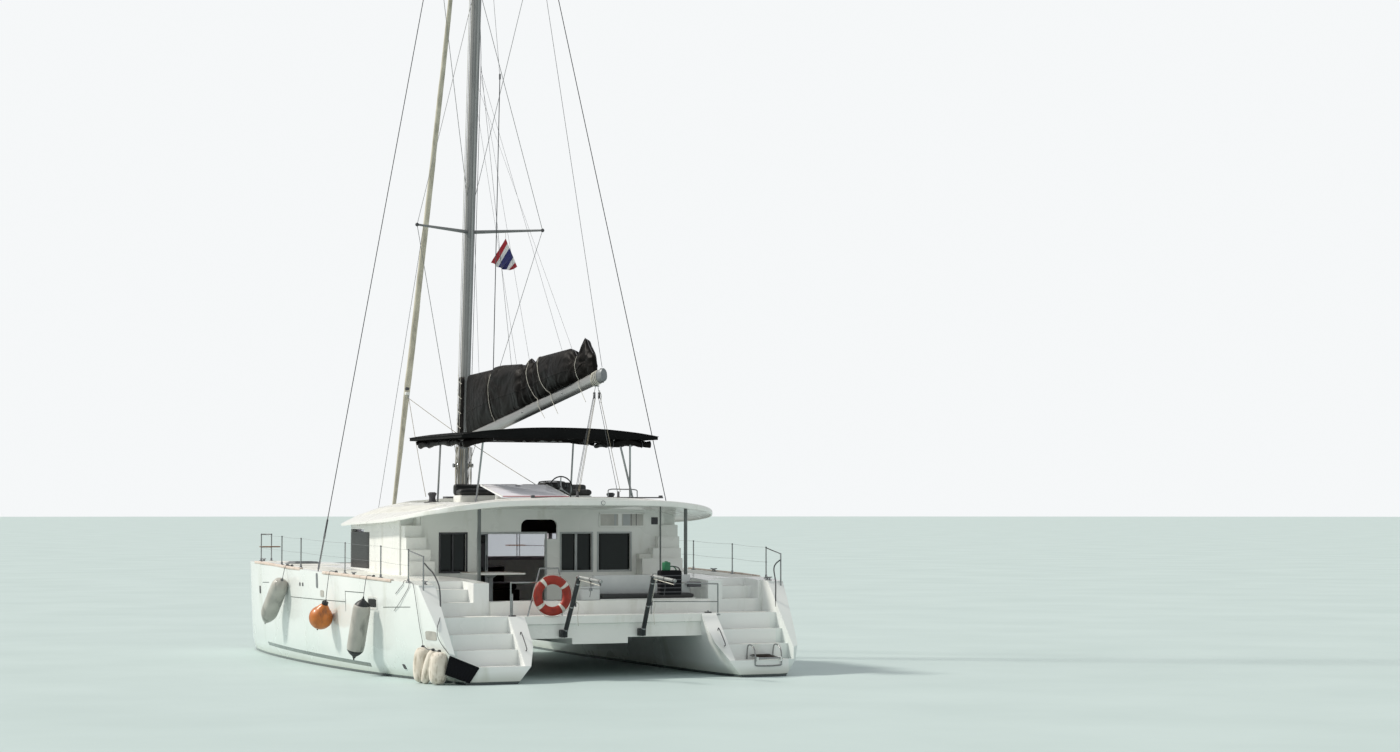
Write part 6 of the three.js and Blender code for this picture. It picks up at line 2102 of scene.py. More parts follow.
    def unit(self) -> None:
        """Makes the covered unit on its clamp: ribbed case, green cap, handle and two hose loops."""
        shape = Shape().slab((1.075, -6.22, 1.73), (0.448, 0.178, 0.456), RUBBER, 0.05, 0.03)
        shape.slab((1.01, -6.22, 2.03), (0.138, 0.138, 0.158), GREEN_PLASTIC, 0.04, 0.02)
        shape.rod((1.01, -6.22, 2.1), (1.01, -6.22, 2.125), 0.03, GREEN_PLASTIC, 16)
        for k in range(5):
            shape.slab((1.075, -6.22, 1.56 + 0.075 * k), (0.454, 0.184, 0.02), PLASTIC, 0.05, 0.008)
        shape.slab((1.06, -6.152, 1.72), (0.236, 0.113, 0.056), CAST_ALLOY, 0.01, 0.006)
        shape.piece("rail_unit_case", "black_plastic", "rail_unit", 40)
        loops = (
            (
                (1.06, 2.0), (1.13, 2.03), (1.2, 1.99), (1.235, 1.89), (1.205, 1.8), (1.15, 1.815),
                (1.135, 1.9),
            ),
            ((1.06, 2.0), (1.12, 2.03), (1.26, 2.0), (1.3, 1.9), (1.24, 1.85), (1.17, 1.905)),
        )
        for number, loop in enumerate(loops, 1):
            hose = [(x, -6.21, z) for x, z in loop]
            finish = GREEN_PLASTIC if number == 1 else PLASTIC
            Line(f"unit_hose_{number}", hose, 0.022, finish, count=36).free("object", "stiff", "loose")

    def ladder(self) -> None:
        """Makes the folded ladder's bars, a flat tread on each rung, and the hoops to hold beside it."""
        Dress("swim_ladder", STEEL, "steel", 40, body="swim_ladder").piece()
        shape = Shape()
        for t in (0.48, 0.94):
            tread = (2.73, -7.025 + 0.385 * t, 0.349 + 0.036 * t)
            shape.slab(tread, (0.37, 0.055, 0.03), DARK_WOOD, 0.012, 0.006)
        shape.piece("ladder_treads", "steel", body="swim_ladder")
        x0, x1 = 2.462, 2.998
        side = [
            (-6.63, 0.312), (-6.655, 0.5), (-6.71, 0.575), (-6.85, 0.57), (-6.955, 0.5), (-6.99, 0.4),
            (-6.99, 0.25),
        ]
        bend = [(x0, y, z) for y, z in side] + [(x0 + 0.05, -6.99, 0.205), (x1 - 0.05, -6.99, 0.205)]
        bend += [(x1, y, z) for y, z in side[::-1]]
        hoops = Shape().tube(smooth_path(bend, 150), 0.0125, STEEL, 10, (0.2, 0.3, 0.93))
        hoops.piece("ladder_hoops", "steel", angle=60)

    def mat(self) -> None:
        """Makes the black mat's rim and ribs over its plate."""
        Dress("stern_mat", RUBBER, "rubber", 40, 0.006).piece()
        ends = np.array([[-2.93, -6.985], [-3.43, -6.8]])
        out = unit(ends[1] - ends[0])
        off = np.array([-out[1], out[0]])

        def at(u: float, z: float, lift: float) -> list[float]:
            """A point of the mat's face, lifted off it."""
            flat = ends[0] + out * u + off * lift
            return [flat[0], flat[1], z]

        shape = Shape()
        corners = ((0.01, 0.3), (0.172, 0.045), (0.585, 0.198), (0.51, 0.505), (0.01, 0.3))
        rim = np.array([at(u, z, 0.028) for u, z in corners])
        shape.tube(rim, 0.014, RUBBER, 10, (0.3, 1, 0.1))
        for k in range(1, 9):
            s = k / 9
            low = at(0.172 + 0.41 * s, 0.05 + 0.145 * s, 0.027)
            shape.rod(low, at(0.015 + 0.49 * s, 0.3 + 0.2 * s, 0.027), 0.005, RUBBER, 6)
        shape.piece("mat_ribs", "rubber", angle=60)

    def fittings(self) -> None:
        """Makes the stern's fittings: rail feet, posts, cleats, the black case, grips and hand rails."""
        shape = Shape()
        for x in (-2.0, -1.0, 0.77, 2.13):
            foot = np.array([x, self.rail_y, self.beam_top])
            shape.turn(flange(0.045, 0.02, 0.5), foot, foot + (0, 0, 0.03), STEEL, 20)
        for x in (-1.95, 1.95):
            shape.rod((x, -6.03, 1.1), (x, -6.03, 1.56 if x < 0 else 1.2), 0.015, STEEL)
            shape.slab((x, -6.03, 1.14), (0.13, 0.08, 0.07), PLASTIC, 0.02, 0.015)
        for x in (-3.2, -2.3, 2.3, 3.2):
            shape.slab((x, -5.44, 1.158), (0.06, 0.1, 0.018), PLASTIC, 0.02, 0.005)
        shape.slab((1.97, -5.37, 1.665), (0.26, 0.1, 0.1), PLASTIC, 0.015, 0.01)
        bend = [(3.555, -5.83, 2.12), (3.47, -5.8, 2.035), (3.4, -5.88, 1.93), (3.35, -6.05, 1.7)]
        bend += [(3.335, -6.08, 1.38), (3.335, -6.1, 1.25)]
        for s in (-1, 1):
            off = np.array([0, -0.04, 0.04])
            low, high = np.array([s * 1.955, -6.73, 0.565]), np.array([s * 1.955, -6.45, 0.845])
            grip = smooth_path([low, low + off, (low + high) / 2 + off * 1.2, high + off, high], 40)
            shape.tube(grip, 0.009, PLASTIC, 8, (1, 0, 0))
            rail = smooth_path([(s * x, y, z) for x, y, z in bend], 50)
            shape.tube(rail, 0.0125, PLASTIC, 10, (1, 0, 0))
        shape.piece("stern_fittings", "steel")


# ---- Rig ----


@dataclass
class Rig:
    """The mast with its spreaders and stays, the lines that run to it, and the boom's tackle."""

    clew: Point = (0.0, 5.64, 5.62)
    masthead: float = 21.5
    hounds: float = 20.6
    spreader: float = 8.91
    stay_foot: Point = (0.0, 7.03, 1.845)
    traveller_y: float = -4.6

    def build(self) -> None:
        """Makes the standing and the running rigging."""
        for name in ("mast", "crossbeam"):
            Dress(name, MAST_ALLOY, "alloy", 40).piece()
        self.shrouds()
        self.mast()
        self.halyards()
        self.wrap()
        self.jacks()
        self.tackle()
        self.genoa()
        self.flag()

    def mast(self) -> None:
        """Makes the mast's track, the spreaders' end caps, its winches and the collars at its foot."""
        shape = Shape()
        z = np.linspace(4.75, 21.6, 60)
        half = np.interp(z, [4, 19, 21.9], [0.14, 0.14, 0.11])
        track = np.stack([np.zeros(60), mast_y(z) - half - 0.006, z], axis=1)
        shape.closed(sweep(track, rounded_rectangle(0.034, 0.02, 0.004), (0, 1, 0)), BOOM_ALLOY)
        for side in (-1, 1):
            for level, reach, back in ((self.spreader, 1.39, 0.65), (15.6, 1.24, 0.57)):
                tip = np.array([side * reach, mast_y(level) - back, level + 0.04])
                turn = np.linspace(0, np.pi, 9)
                ball = np.column_stack([0.04 * np.sin(turn), (1 - np.cos(turn)) / 2])
                shape.turn(ball, tip - (0, 0, 0.04), tip + (0, 0, 0.04), PLASTIC, 14)
            drum = [[0, 0], [0.05, 0], [0.05, 0.3], [0.036, 0.4], [0.036, 0.8], [0.046, 1], [0, 1]]
            shape.turn(drum, (side * 0.09, mast_y(4.0), 4.0), (side * 0.22, mast_y(4.0), 4.0), STEEL, 18)
        for level in (3.235, 3.27):
            shape.slab((0, mast_y(level), level), (0.26, 0.36, 0.03), CAST_ALLOY, 0.1, 0.006)
        shape.piece("mast_fittings", "alloy")

    def shrouds(self) -> None:
        """Makes the shrouds, each with its screw and toggle at the deck, and the flag line to port."""
        for name, side in (("port", -1), ("starboard", 1)):
            low = np.array([side * 3.905, -0.5, deck_z(-0.5) + 0.004])
            high = np.array([side * 0.06, mast_y(self.hounds), self.hounds])

            def up(z: float) -> Array:
                """The place on the shroud at a height."""
                return low + (high - low) * (z - low[2]) / (high[2] - low[2])

            shape = Shape().wire(low, high, 0.0085, WIRE_ROPE, 8, 12)
            for z0, z1, radius, finish in (
                (1.9, 2.06, 0.02, STEEL), (2.05, 2.5, 0.016, STEEL), (2.5, 2.62, 0.021, STEEL),
                (2.62, 2.95, 0.012, STEEL), (2.6, 2.88, 0.018, PLASTIC),
            ):
                shape.rod(up(z0), up(z1), radius, finish, 14)
            shape.piece(f"shroud_wire_{name}", "steel", f"shroud_{name}", 40)
        tip = np.array([-1.22, mast_y(self.spreader) - 0.57, 8.93])
        Shape().wire(tip, (-1.62, 3.29, 1.95), 0.0045, DARK_ROPE, 6, 30).piece("flag_line_port")

    def halyards(self) -> None:
        """Makes the halyards up the mast and the bundle of their tails round its foot."""
        up = Shape()
        for x, back, top, finish in (
            (-0.11, 0.05, 20.9, DARK_ROPE), (-0.125, -0.05, 20.5, WHITE_ROPE),
            (0.11, 0.04, 20.8, WHITE_ROPE), (0.12, -0.06, 15.0, DARK_ROPE), (-0.2, -0.12, 19.0, WHITE_ROPE),
            (0.03, 0.17, 21.0, DARK_ROPE),
        ):
            z = np.linspace(3.3, top, 40)
            taper = np.clip((top - z) / 2.5, 0.35, 1)
            line = np.stack([x * taper, mast_y(z) + back * taper, z], axis=1)
            up.tube(line, 0.006, finish, 6, (0, 1, 0))
        up.piece("halyards")
        bundle = Shape()
        draw = np.random.default_rng(8)
        for k in range(22):
            turn = 2 * np.pi * k / 22 + draw.uniform(-0.1, 0.1)
            z = np.linspace(3.29 + draw.uniform(0, 0.1), 4.43 - draw.uniform(0, 0.12), 26)
            wide = 0.145 + draw.uniform(-0.02, 0.035)
            sway = 0.012 * np.sin(z * draw.uniform(3, 7) + draw.uniform(0, 6))
            spread = 1 + 0.12 * np.clip(3.6 - z, 0, 1)
            x = (wide * np.cos(turn) + sway) * spread
            y = mast_y(z) + (wide + 0.035) * np.sin(turn) * spread
            thick = draw.choice([0.006, 0.007, 0.009])
            finish = (WHITE_ROPE, DARK_ROPE, TAN_ROPE, TAN_ROPE)[k % 4]
            bundle.tube(np.stack([x, y, z], axis=1), thick, finish, 6, (0, 1, 0))
        bundle.piece("mast_foot_lines")

    def wrap(self) -> None:
        """Makes the bag's collar, a cloth band round the mast that stays with it, and its lacing.

        Formula: an ellipse 30 mm outside the mast at each height, waved by slack cloth, open aft.
        """
        z, turn = np.meshgrid(
            np.linspace(4.66, 5.86, 40), np.linspace(-0.28, 1.28, 40) * np.pi, indexing="ij"
        )
        slack = 0.012 * ripple(z * 2, turn, 41, 7, 2.5, 0.6)
        x = (0.128 + slack) * np.cos(turn)
        y = mast_y(z) + (0.17 + slack) * np.sin(turn)
        collar = Shape().grid(np.stack([x, y, z], axis=-1), BLACK_CANVAS)
        made = collar.piece("bag_collar", "black_cloth", angle=80, outward=False)
        thicken(made, 0.004)
        for k in range(4):
            level = 4.78 + 0.31 * k
            turns = [(-0.12, -0.12, 0), (-0.146, -0.03, 0.05), (-0.146, 0.03, 0.16), (-0.128, 0.1, 0.2)]
            across = smooth_path(np.array(turns) + (0, mast_y(level), level), 16)
            Shape().tube(across, 0.006, WHITE_ROPE, 6).piece(f"collar_lacing_{k + 1}")

    def jacks(self) -> None:
        """Makes the lazy jacks and the topping lift."""
        boom = Boom()
        runs = (
            # aft and height at the boom, side, height and offset at the mast, diameter
            (2.06, 1.15, 0.2, 12.4, 0.1, 0.008), (1.2, 1.24, -0.16, 11.2, -0.09, 0.006),
            (3.1, 0.9, -0.15, 12.2, -0.1, 0.006), (3.1, 0.9, 0.15, 12.2, 0.1, 0.006),
            (4.6, 0.86, 0.18, 12.3, 0.1, 0.006), (5.72, 0.72, -0.16, 12.3, -0.1, 0.005),
        )
        for number, (aft, up, side, top, off, thick) in enumerate(runs, 2):
            low = boom.place([side, aft, up - 0.1])
            head = np.array([off, mast_y(top) - 0.12, top])
            jack = Shape().wire(low, head, thick / 2, DARK_ROPE, 6, 40)
            made = jack.piece(f"lazy_jack_{number}", body="", angle=80)
            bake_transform(made)
        low, joint = boom.place([-0.2, 2.02, 1.07]), np.array([-0.12, -0.44, 11.9])
        head = np.array([-0.1, mast_y(17.5) - 0.12, 17.5])
        main = Shape().wire(low, joint, 0.009, DARK_ROPE, 8, 40).wire(joint, head, 0.004, DARK_ROPE, 6, 20)
        main.slab(joint, (0.03, 0.05, 0.12), PLASTIC, 0.012, 0.01)
        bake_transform(main.piece("lazy_jack_1", body="", angle=80))
        low = boom.place([0.0, 6.58, 0.15])
        head = np.array([0.0, mast_y(self.masthead) - 0.2, self.masthead])
        made = Shape().wire(low, head, 0.005, DARK_ROPE, 6, 60).piece("topping_lift", body="", angle=80)
        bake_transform(made)

    def tackle(self) -> None:
        """Makes the mainsheet: blocks under the boom, two purchases, their lower blocks and the track."""
        boom = Boom()
        top = boom.place([0.0, 6.3, -0.13])
        upper = Shape()
        upper.rod(boom.place([-0.05, 6.3, -0.15]), boom.place([0.05, 6.3, -0.15]), 0.012, STEEL)
        lower = Shape()
        for name, side, x in (("port", -1, -0.1), ("starboard", 1, 0.74)):
            foot = np.array([x, self.traveller_y, 3.37])
            head = top + (0.05 * side, 0, -0.2)
            upper.slab(head, (0.03, 0.075, 0.12), PLASTIC, 0.02, 0.01)
            upper.rod(head + (-0.018, 0, 0), head + (0.018, 0, 0), 0.026, STEEL, 16)
            upper.wire(head + (0, 0, 0.05), top + (0.02 * side, 0, -0.01), 0.006, STEEL, 6, 6)
            lower.slab(foot, (0.03, 0.075, 0.1), PLASTIC, 0.02, 0.01)
            lower.rod(foot - (0, 0, 0.085), foot - (0, 0, 0.04), 0.028, PLASTIC, 16)
            parts = Shape()
            for k in range(4 if side < 0 else 2):
                shift = np.array([0.03 * (k % 2 * 2 - 1), 0.03 * (k // 2 * 2 - 1), 0])
                low, high = foot + shift + (0, 0, 0.04), head + shift * 0.6 - (0, 0, 0.05)
                parts.wire(low, high, 0.005, TAN_ROPE if k % 2 else DARK_ROPE, 6, 60)
            made = parts.piece(f"mainsheet_{name}", body="", angle=80)
            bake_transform(made)
        upper.piece("boom_blocks", "black_plastic", body="boom")
        lower.slab((0.32, self.traveller_y, 3.302), (2.7, 0.04, 0.024), PLASTIC, 0.008, 0.005)
        for x in (-1.0, 1.62):
            lower.slab((x, self.traveller_y, 3.32), (0.07, 0.06, 0.05), PLASTIC, 0.012, 0.01)
        lower.piece("mainsheet_track", "black_plastic")
        tail = [top + (0.05, 0, -0.1), top + (0.09, -0.01, -0.2), top + (0.08, -0.01, -0.34)]
        Line("boom_rope_tail", tail, body="boom", count=20).free("knot")

    def genoa(self) -> None:
        """Makes the genoa rolled round its stay, with its clew, its sheets and the drum.

        Formula: round the stay's sagging line the radius follows the roll's thickness, times a saw
        tooth that winds once in 3.1 m like the leech of a rolled sail, plus creases along the roll.
        """
        table = np.array(
            [
                [2.3, 22], [2.5, 42], [3.2, 46], [4.4, 56], [5.4, 66], [6.1, 74], [9, 66], [14, 50],
                [19.6, 38], [20.4, 14],
            ]
        )
        z = np.concatenate([np.linspace(2.3, 7, 150), np.linspace(7.05, 20.4, 200)])
        _, ahead, low = self.stay_foot
        t = (z - low) / (self.hounds - low)
        head = mast_y(self.hounds) + 0.1
        y = ahead + (head - ahead) * t - 0.48 * t * (1 - t)
        middle = np.stack([np.zeros_like(z), y, z], axis=1)
        turn = np.linspace(0, 2 * np.pi, 37)
        wound = ((turn[None] + z[:, None] * 2.03) / (2 * np.pi)) % 1
        crease = ripple(z[:, None] * 0.25, np.cos(turn)[None], 51, 9, 2.6, 0.5)
        radius = np.interp(z, table[:, 0], table[:, 1] / 1000)[:, None]
        radius = radius * (0.93 + 0.1 * wound + 0.05 * crease)
        profile = np.stack([np.cos(turn) * radius, np.sin(turn) * radius], axis=-1)
        profile[:, -1] = profile[:, 0]
        shape = Shape().closed(sweep(middle, profile, (0, 1, 0)), SAILCLOTH)
        stay = np.vstack([(0, ahead, 1.85), middle[::30], (0, head, self.hounds)])
        shape.tube(stay, 0.011, BOOM_ALLOY, 8, (0, 1, 0))
        foot = np.array(self.stay_foot)
        way = unit(middle[20] - foot)
        side = [[0, 0], [0.1, 0], [0.11, 0.05], [0.11, 0.12], [0.05, 0.2]]
        drum = side + [[0.05, 0.8], [0.11, 0.88], [0.11, 0.96], [0.1, 1], [0, 1]]
        shape.turn(drum, foot + way * 0.235, foot + way * 0.39, PLASTIC, 28)
        furler = foot + way * 0.31 + np.column_stack([circle(0.058, 20), np.zeros(21)])
        shape.tube(furler, 0.012, DARK_ROPE, 8)
        shape.piece("genoa_roll", "cream_cloth", "genoa", 70)
        patch = Shape()
        clew = np.array(self.clew)
        for k, finish in enumerate((WHITE_PLASTIC, PLASTIC, WHITE_PLASTIC)):
            at = clew + (-0.02, -0.004 * k, 0.26 - 0.11 * k)
            patch.slab(at, (0.09, 0.12, 0.07), finish, 0.03, 0.02)
        ring = clew + (0, -0.05, -0.04) + np.column_stack([np.zeros(21), circle(0.03, 20)])
        patch.tube(ring, 0.008, STEEL, 8, (1, 0, 0))
        patch.piece("genoa_clew")
        for name, low in (("port", (-1.93, -1.2, 3.33)), ("starboard", (0.32, -1.35, 3.58))):
            start = clew + (0, -0.08, -0.07)
            sag = straight(start, low, 50)
            sag[:, 2] -= 0.05 * np.sin(np.linspace(0, np.pi, 50))
            Shape().tube(sag, 0.007, TAN_ROPE, 6).piece(f"genoa_sheet_{name}", angle=80)

    def flag(self) -> None:
        """Makes the limp flag: bands of cloth that fall in folds from the halyard under the spreader."""
        edge = np.array(
            [[0.684, 8.779], [0.945, 8.189], [0.788, 8.116], [0.653, 8.123], [0.496, 8.176], [0.372, 8.26]]
        )
        y = mast_y(self.spreader) - 0.325
        across, along = np.meshgrid(np.linspace(0, 1, 48), np.linspace(0, 1, 40), indexing="ij")
        hoist, fly = straight(edge[0], edge[1], 48), smooth_path([*edge[:1:-1], (0.86, 8.14)], 48)
        x, z = (hoist[:, k][:, None] * (1 - along) + fly[:, k][:, None] * along for k in (0, 1))
        fold = 0.05 * along * np.sin(across * 22 + along * 2)
        fold = fold + 0.012 * ripple(across, along, 61, 6, 2.0, 0.4)
        points = np.stack([x, y + fold, z], axis=-1)
        hung = Shape().grid(points, FLAG_CLOTH, np.stack([along, across], axis=-1))
        made = hung.piece("flag_cloth", "flag_cloth", "flag", 80, outward=False)
        thicken(made, 0.0012)
        Shape().rod((0.684, y, 8.94), (0.684, y, 8.76), 0.004, WHITE_ROPE).piece("flag_halyard")


# ---- Hull and deck trim ----


@dataclass
class Trim:
    """What is moulded into, bolted to or lies on the hulls and the deck, the same on both sides."""

    rail_top: float = 0.6
    wires: tuple[float, float] = (0.31, 0.592)
    hatch_place: Point = (3.0, 3.56, 1.969)
    cleat_places: tuple = ((3.18, 5.95), (3.77, 2.1), (3.78, -2.4), (3.45, -5.55))

    def build(self) -> None:
        """Makes the trim of both sides and of the deck between them."""
        for name, side in (("port", -1), ("starboard", 1)):
            Dress(f"gate_rail_{name}", STEEL, "steel", 40).piece()
            self.side(name, side)
            self.caps(name, side)
            self.rails(name, side)
            self.treads(name, side)
            self.cleats(name, side)
            self.hatch(name, side)
        self.sole()
        self.rim()
        self.ropes()

    def side(self, name: str, side: int) -> None:
        """Makes the grooves, the port, the vents, the strap and the outlet in a hull's outer side.

        Args:
            name: The side's name in the pieces.
            side: -1 to port, 1 to starboard.
        """
        skin = Skin(f"hull_{name}")
        shape = Shape()
        grooves = (
            [(1.37, 1.312), (-2.22, 1.323)], [(-4.15, 1.283), (-5.36, 1.324)],
            [(-2.22, 1.143), (-2.22, 1.522), (-3.25, 1.523)], [(4.04, 1.533), (3.33, 1.552)],
        )
        for line in grooves:
            for start, end in zip(line, line[1:]):
                shape.grid(skin.strip(straight(start, end, 40), 0.013, 0.0022, 0, side), SHADOW_LINE)
        frame = rounded_rectangle(0.44, 0.21, 0.05, 5) + (-3.65, 1.345)
        shape.grid(skin.strip(frame, 0.03, 0.008, 0, side), WHITE_PLASTIC)
        boxes = (
            ((-3.84, 1.27), (-3.46, 1.42), DARK_PANE), ((-0.94, 1.375), (-0.74, 1.505), GREY_VINYL),
            ((4.3, 1.29), (4.44, 1.45), PLASTIC), ((0.6, 1.55), (0.67, 1.62), PLASTIC),
            ((0.4, 1.55), (0.47, 1.62), PLASTIC), ((-4.88, 0.18), (-4.77, 0.27), PLASTIC),
            ((-0.585, 1.54), (-0.475, 1.83), CAST_ALLOY), ((-6.38, 0.76), (-5.93, 0.92), GREY_VINYL),
        )
        for (y0, z0), (y1, z1), finish in boxes[: 8 if side < 0 else 7]:
            shape.grid(skin.patch(rectangle(y0, y1, z0, z1), 0.006, 0, side, (10, 10), 0.12), finish)
        shape.piece(f"hull_trim_{name}", angle=45)

    def caps(self, name: str, side: int) -> None:
        """Makes the two lengths of weathered strip along the gunwale.

        Args:
            name: The side's name in the pieces.
            side: -1 to port, 1 to starboard.
        """
        shape = Shape()
        for y0, y1 in ((5.06, 0.63), (-0.92, -4.55)):
            y = np.linspace(y0, y1, 60)
            line = np.stack([side * (gunwale_x(y) - 0.018), y, deck_z(y) - 0.004], axis=1)
            shape.closed(sweep(line, rounded_rectangle(0.075, 0.06, 0.02)), CAP_STRIP)
        shape.piece(f"cap_strip_{name}", angle=50)

    def rails(self, name: str, side: int) -> None:
        """Makes the pulpit, the stanchions with their feet and caps, the wires and the pulpit's seat.

        Args:
            name: The side's name in the pieces.
            side: -1 to port, 1 to starboard.
        """
        shape = Shape()
        feet = [*map(tuple, RAIL[:, ::-1]), (2.9, 6.35)]
        low, high = self.wires
        bars = [(high, 5, 6, 0.013), (high, 6, 7, 0.013), (low, 5, 6, 0.01), (low, 6, 7, 0.013)]
        bars += [(up, k, k + 1, 0.0022) for up in self.wires for k in range(5)]
        for up, a, b, radius in bars:
            ends = [np.array([side * feet[k][0], feet[k][1], deck_z(feet[k][1]) + up]) for k in (a, b)]
            line = straight(*ends, 9)
            line[:, 2] -= (0.012 if radius < 0.01 else 0) * np.sin(np.linspace(0, np.pi, 9))
            shape.tube(line, radius, STEEL, 8)
        for x, y in feet:
            z = deck_z(y)
            foot = [[0, 0], [0.05, 0], [0.05, 0.2], [0.022, 0.35], [0.019, 1], [0, 1]]
            shape.rod((side * x, y, z - 0.01), (side * x, y, z + self.rail_top - 0.004), 0.0127, STEEL, 14)
            shape.turn(foot, (side * x, y, z - 0.004), (side * x, y, z + 0.07), STEEL, 20)
            cap = np.array([side * x, y, z + self.rail_top])
            shape.turn(flange(0.0145, 0.008), cap - (0, 0, 0.02), cap + (0, 0, 0.006), PLASTIC, 14)
        for x, y in feet[:-2]:
            for up in self.wires:
                at = np.array([side * x, y, deck_z(y) + up])
                shape.rod(at - (0, 0.03, 0), at + (0, 0.03, 0), 0.0075, STEEL, 10)
        shape.slab((side * 2.905, 6.45, deck_z(6.5) + 0.315), (0.43, 0.28, 0.024), TEAK, 0.05, 0.008)
        shape.piece(f"guard_rail_{name}", "steel", f"lifelines_{name}", 40)

    def treads(self, name: str, side: int) -> None:
        """Lays non-slip panels on the steps and the side deck.

        Args:
            name: The side's name in the pieces.
            side: -1 to port, 1 to starboard.
        """
        skin = Skin(f"hull_{name}")
        shape = Shape()
        plan = [(2.14, 3.2, -6.76, -6.64), (2.14, 3.2, -6.55, -6.39), (2.14, 3.2, -6.3, -6.14)]
        plan += [(2.14, 3.2, -6.05, -5.56), (2.56, 3.18, -5.47, -5.23), (2.56, 3.18, -5.17, -4.93)]
        for x0, x1, y0, y1 in plan:
            shape.panel(skin, rectangle(side * x0, side * x1, y0, y1), (12, 6), 0.06)
        inner = ([2.4, 4, 5.5, 6.5], [2.5, 2.42, 2.68, 2.98])
        for y0, y1 in ((-4.75, -2.5), (-2.35, -0.1), (0.05, 2.3), (2.45, 3.2), (4.0, 6.2)):
            g0, g1 = (gunwale_x(y) - 0.17 for y in (y0, y1))
            i0, i1 = (3.02 if y < 2.4 else np.interp(y, *inner) for y in (y0, y1))
            around = [(side * i0, y0), (side * g0, y0), (side * g1, y1), (side * i1, y1)]
            shape.panel(skin, around, (8, 24), 0.05)
        shape.piece(f"deck_panels_{name}", "gelcoat", angle=40)

    def cleats(self, name: str, side: int) -> None:
        """Makes the mooring cleats: a base, two feet and a horned bar.

        Args:
            name: The side's name in the pieces.
            side: -1 to port, 1 to starboard.
        """
        shape = Shape()
        for x, y in self.cleat_places:
            z = deck_z(y)
            shape.slab((side * x, y, z + 0.004), (0.06, 0.17, 0.016), CAST_ALLOY, 0.02, 0.004)
            for dy in (-0.045, 0.045):
                shape.rod((side * x, y + dy, z), (side * x, y + dy, z + 0.05), 0.014, CAST_ALLOY, 12)
            t = np.linspace(-1, 1, 15)
            bar = np.stack([0 * t + side * x, y + 0.15 * t, z + 0.05 + 0.012 * np.abs(t)], axis=1)
            shape.tube(bar, 0.014 - 0.006 * t**2, CAST_ALLOY, 10, (1, 0, 0))
        shape.piece(f"cleats_{name}", "alloy", angle=45)

    def hatch(self, name: str, side: int) -> None:
        """Makes a deck hatch: the frame on the deck, and the lid's rim and handles that lift with it.

        Args:
            name: The side's name in the pieces.
            side: -1 to port, 1 to starboard.
        """
        lid = f"hatch_{name}"
        Dress(lid, CAST_ALLOY, "dark_glass", 40, 0.006, lid, ((LENS, Choice(0.8)),)).piece()
        x, y, z = self.hatch_place
        x *= side
        frame = flat_loop(0.566, 0.566, 0.05, (x, y, z - 0.022), 6)
        Shape().tube(frame, 0.011, CAST_ALLOY, 8, (0, 0, 1)).piece(f"{lid}_frame", "alloy")
        rim = flat_loop(0.488, 0.488, 0.04, (x, y, z), 6)
        shape = Shape().tube(rim, 0.009, CAST_ALLOY, 8, (0, 0, 1))
        for dx in (-0.13, 0.13):
            shape.rod((x + dx, y - 0.19, z - 0.002), (x + dx, y - 0.19, z + 0.012), 0.016, PLASTIC, 14)
            shape.slab((x + dx, y - 0.15, z + 0.008), (0.022, 0.09, 0.012), PLASTIC, 0.008, 0.004)
        shape.piece(f"{lid}_rim", "alloy", body=lid)

    def sole(self) -> None:
        """Lays the panels on the cockpit's sole, the foredeck and the front of the roof."""
        floor, shape = Skin("bridgedeck"), Shape()
        for x0, x1 in ((-1.9, -0.98), (-0.93, -0.02), (0.03, 0.93), (0.98, 1.82)):
            shape.panel(floor, rectangle(x0, x1, -5.0, -2.7), (8, 12), 0.03)
        for x0, x1 in ((-2.2, -0.8), (-0.7, 0.7), (0.8, 2.2)):
            shape.panel(floor, rectangle(x0, x1, 2.42, 3.15), (8, 8), 0.05)
        roof = Skin("hardtop")
        for s in (-1, 1):
            edge = [(s * 2.3, -3.6), (s * 2.75, -3.6), (s * 2.7, 0.6), (s * 2.3, 0.6)]
            front = [(s * 0.3, 1.1), (s * 1.9, 1.1), (s * 1.5, 1.75), (s * 0.3, 1.85)]
            shape.panel(roof, edge, (6, 30), 0.04).panel(roof, front, (12, 8), 0.05)
        shape.piece("deck_panels", "gelcoat", angle=40)

    def rim(self) -> None:
        """Makes the thick rounded edge of the roof from the cabin's sides round the back.

        Formula: an upright rounded bar carried along the roof's edge, drawn through a few places.
        """
        edge = [
            (3.06, 0.1, 2.79), (3.095, -1.2, 2.825), (3.115, -2.6, 2.88), (3.07, -3.6, 2.95),
            (2.85, -4.24, 3.03), (2.36, -4.68, 3.115), (1.5, -4.865, 3.19), (0.0, -4.88, 3.205),
        ]
        other = [(-x, y, z) for x, y, z in edge[-2::-1]]
        line = smooth_path([*edge, *other], 160)
        tall = np.interp(np.abs(line[:, 0]), [0, 2.4, 2.9, 3.1], [1.0, 1.0, 0.8, 0.7])
        tall *= np.interp(line[:, 1], [-2.6, 0.1], [1.0, 0.25])
        bar = rounded_rectangle(0.05, 0.115, 0.022, 5)
        shape = Shape().closed(sweep(line, bar, scale=tall), GELCOAT)
        shape.piece("roof_rim", "gelcoat", angle=50)
        lamp = Shape().rod((0.3, -4.915, 3.2), (0.3, -4.88, 3.2), 0.045, CAST_ALLOY, 20)
        lamp.rod((0.3, -4.922, 3.2), (0.3, -4.9, 3.2), 0.034, WHITE_PLASTIC, 20).piece("stern_light")

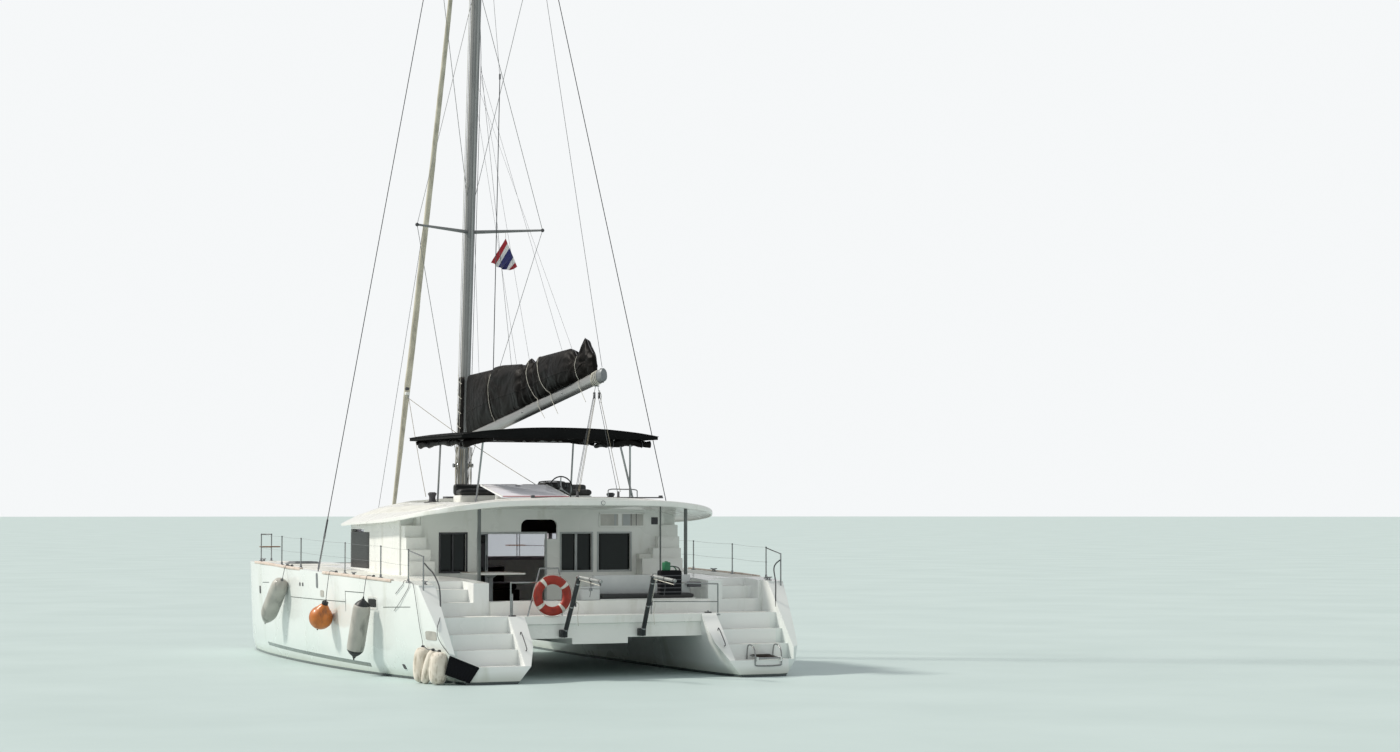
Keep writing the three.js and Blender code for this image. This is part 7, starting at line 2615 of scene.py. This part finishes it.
    def ropes(self) -> None:
        """Hangs the loose rope tails over the port gunwale."""
        long = [
            (-3.62, -5.2, 1.79), (-3.68, -5.36, 1.765), (-3.695, -5.4, 1.73), (-3.69, -5.33, 1.66),
            (-3.706, -5.05, 1.465), (-3.722, -4.88, 1.35), (-3.728, -4.66, 1.235),
        ]
        short = [
            (-3.635, -5.06, 1.79), (-3.69, -5.09, 1.78), (-3.712, -5.12, 1.73), (-3.722, -4.98, 1.66),
            (-3.736, -4.76, 1.545),
        ]
        Line("gunwale_rope", long, 0.01, DARK_ROPE, count=40).free("knot")
        Line("gunwale_rope_short", short, 0.01, DARK_ROPE, count=40).free("bare")


@dataclass
class Net:
    """The net between the bows: crossed cords within a bolt rope, laced to the deck and the beam."""

    pitch: float = 0.052
    cord: float = 0.0032
    bolt_rope: float = 0.009
    z: float = 1.856
    aft: float = 3.36
    fore: float = 6.59
    aft_half: float = 2.56
    fore_half: float = 2.9

    def build(self) -> None:
        """Makes the net's cords, bolt rope and lacing."""
        shape = Shape()
        aft, fore, narrow, wide, z = self.aft, self.fore, self.aft_half, self.fore_half, self.z
        long = fore - aft
        for k in range(1, int(long / self.pitch)):
            y = aft + k * self.pitch
            half = narrow + (wide - narrow) * (y - aft) / long
            shape.wire((-half, y, z), (half, y, z), self.cord, NET_CORD, 4, 7)
        for x in np.arange(-2.86, 2.87, self.pitch):
            start = max(aft, aft + (abs(x) - narrow) / 0.34 * long)
            shape.wire((x, start, z + 0.003), (x, fore, z + 0.003), self.cord, NET_CORD, 4, 7)
        corners = ((-narrow, aft), (narrow, aft), (wide, fore), (-wide, fore), (-narrow, aft))
        rope = np.array([(x, y, z) for x, y in corners])
        for start, end in zip(rope, rope[1:]):
            shape.wire(start, end, self.bolt_rope, NET_CORD, 8, 5)
        for k in range(-11, 12):
            for y0, y1 in ((3.302, aft), (fore, 6.69)):
                start, end = (k * 0.225, y0, z - 0.002), (k * 0.225 + 0.06, y1, z)
                shape.wire(start, end, 0.004, WHITE_ROPE, 5, 3)
        shape.piece("net_cords", "net", "trampoline", 80)


@dataclass
class Platform:
    """The bridge deck between the hulls and the hard top over the cabin."""

    def build(self) -> None:
        """Dresses both."""
        Dress("bridgedeck", GELCOAT, "gelcoat", 25, 0.012).piece()
        Dress("hardtop", GELCOAT, "gelcoat", 28).piece()


def main() -> None:
    """Builds the boat round its frame."""
    FRAME.update(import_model())
    Studio().build()
    for part in (
        Hulls(), Boom(), Bimini(), Flybridge(), Cockpit(), Saloon(), SternGear(), Rig(), Trim(), Net(),
        Platform(),
    ):
        part.build()
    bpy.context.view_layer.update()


if __name__ == "__main__":
    logging.basicConfig(level=logging.INFO, format="%(message)s")
    main()
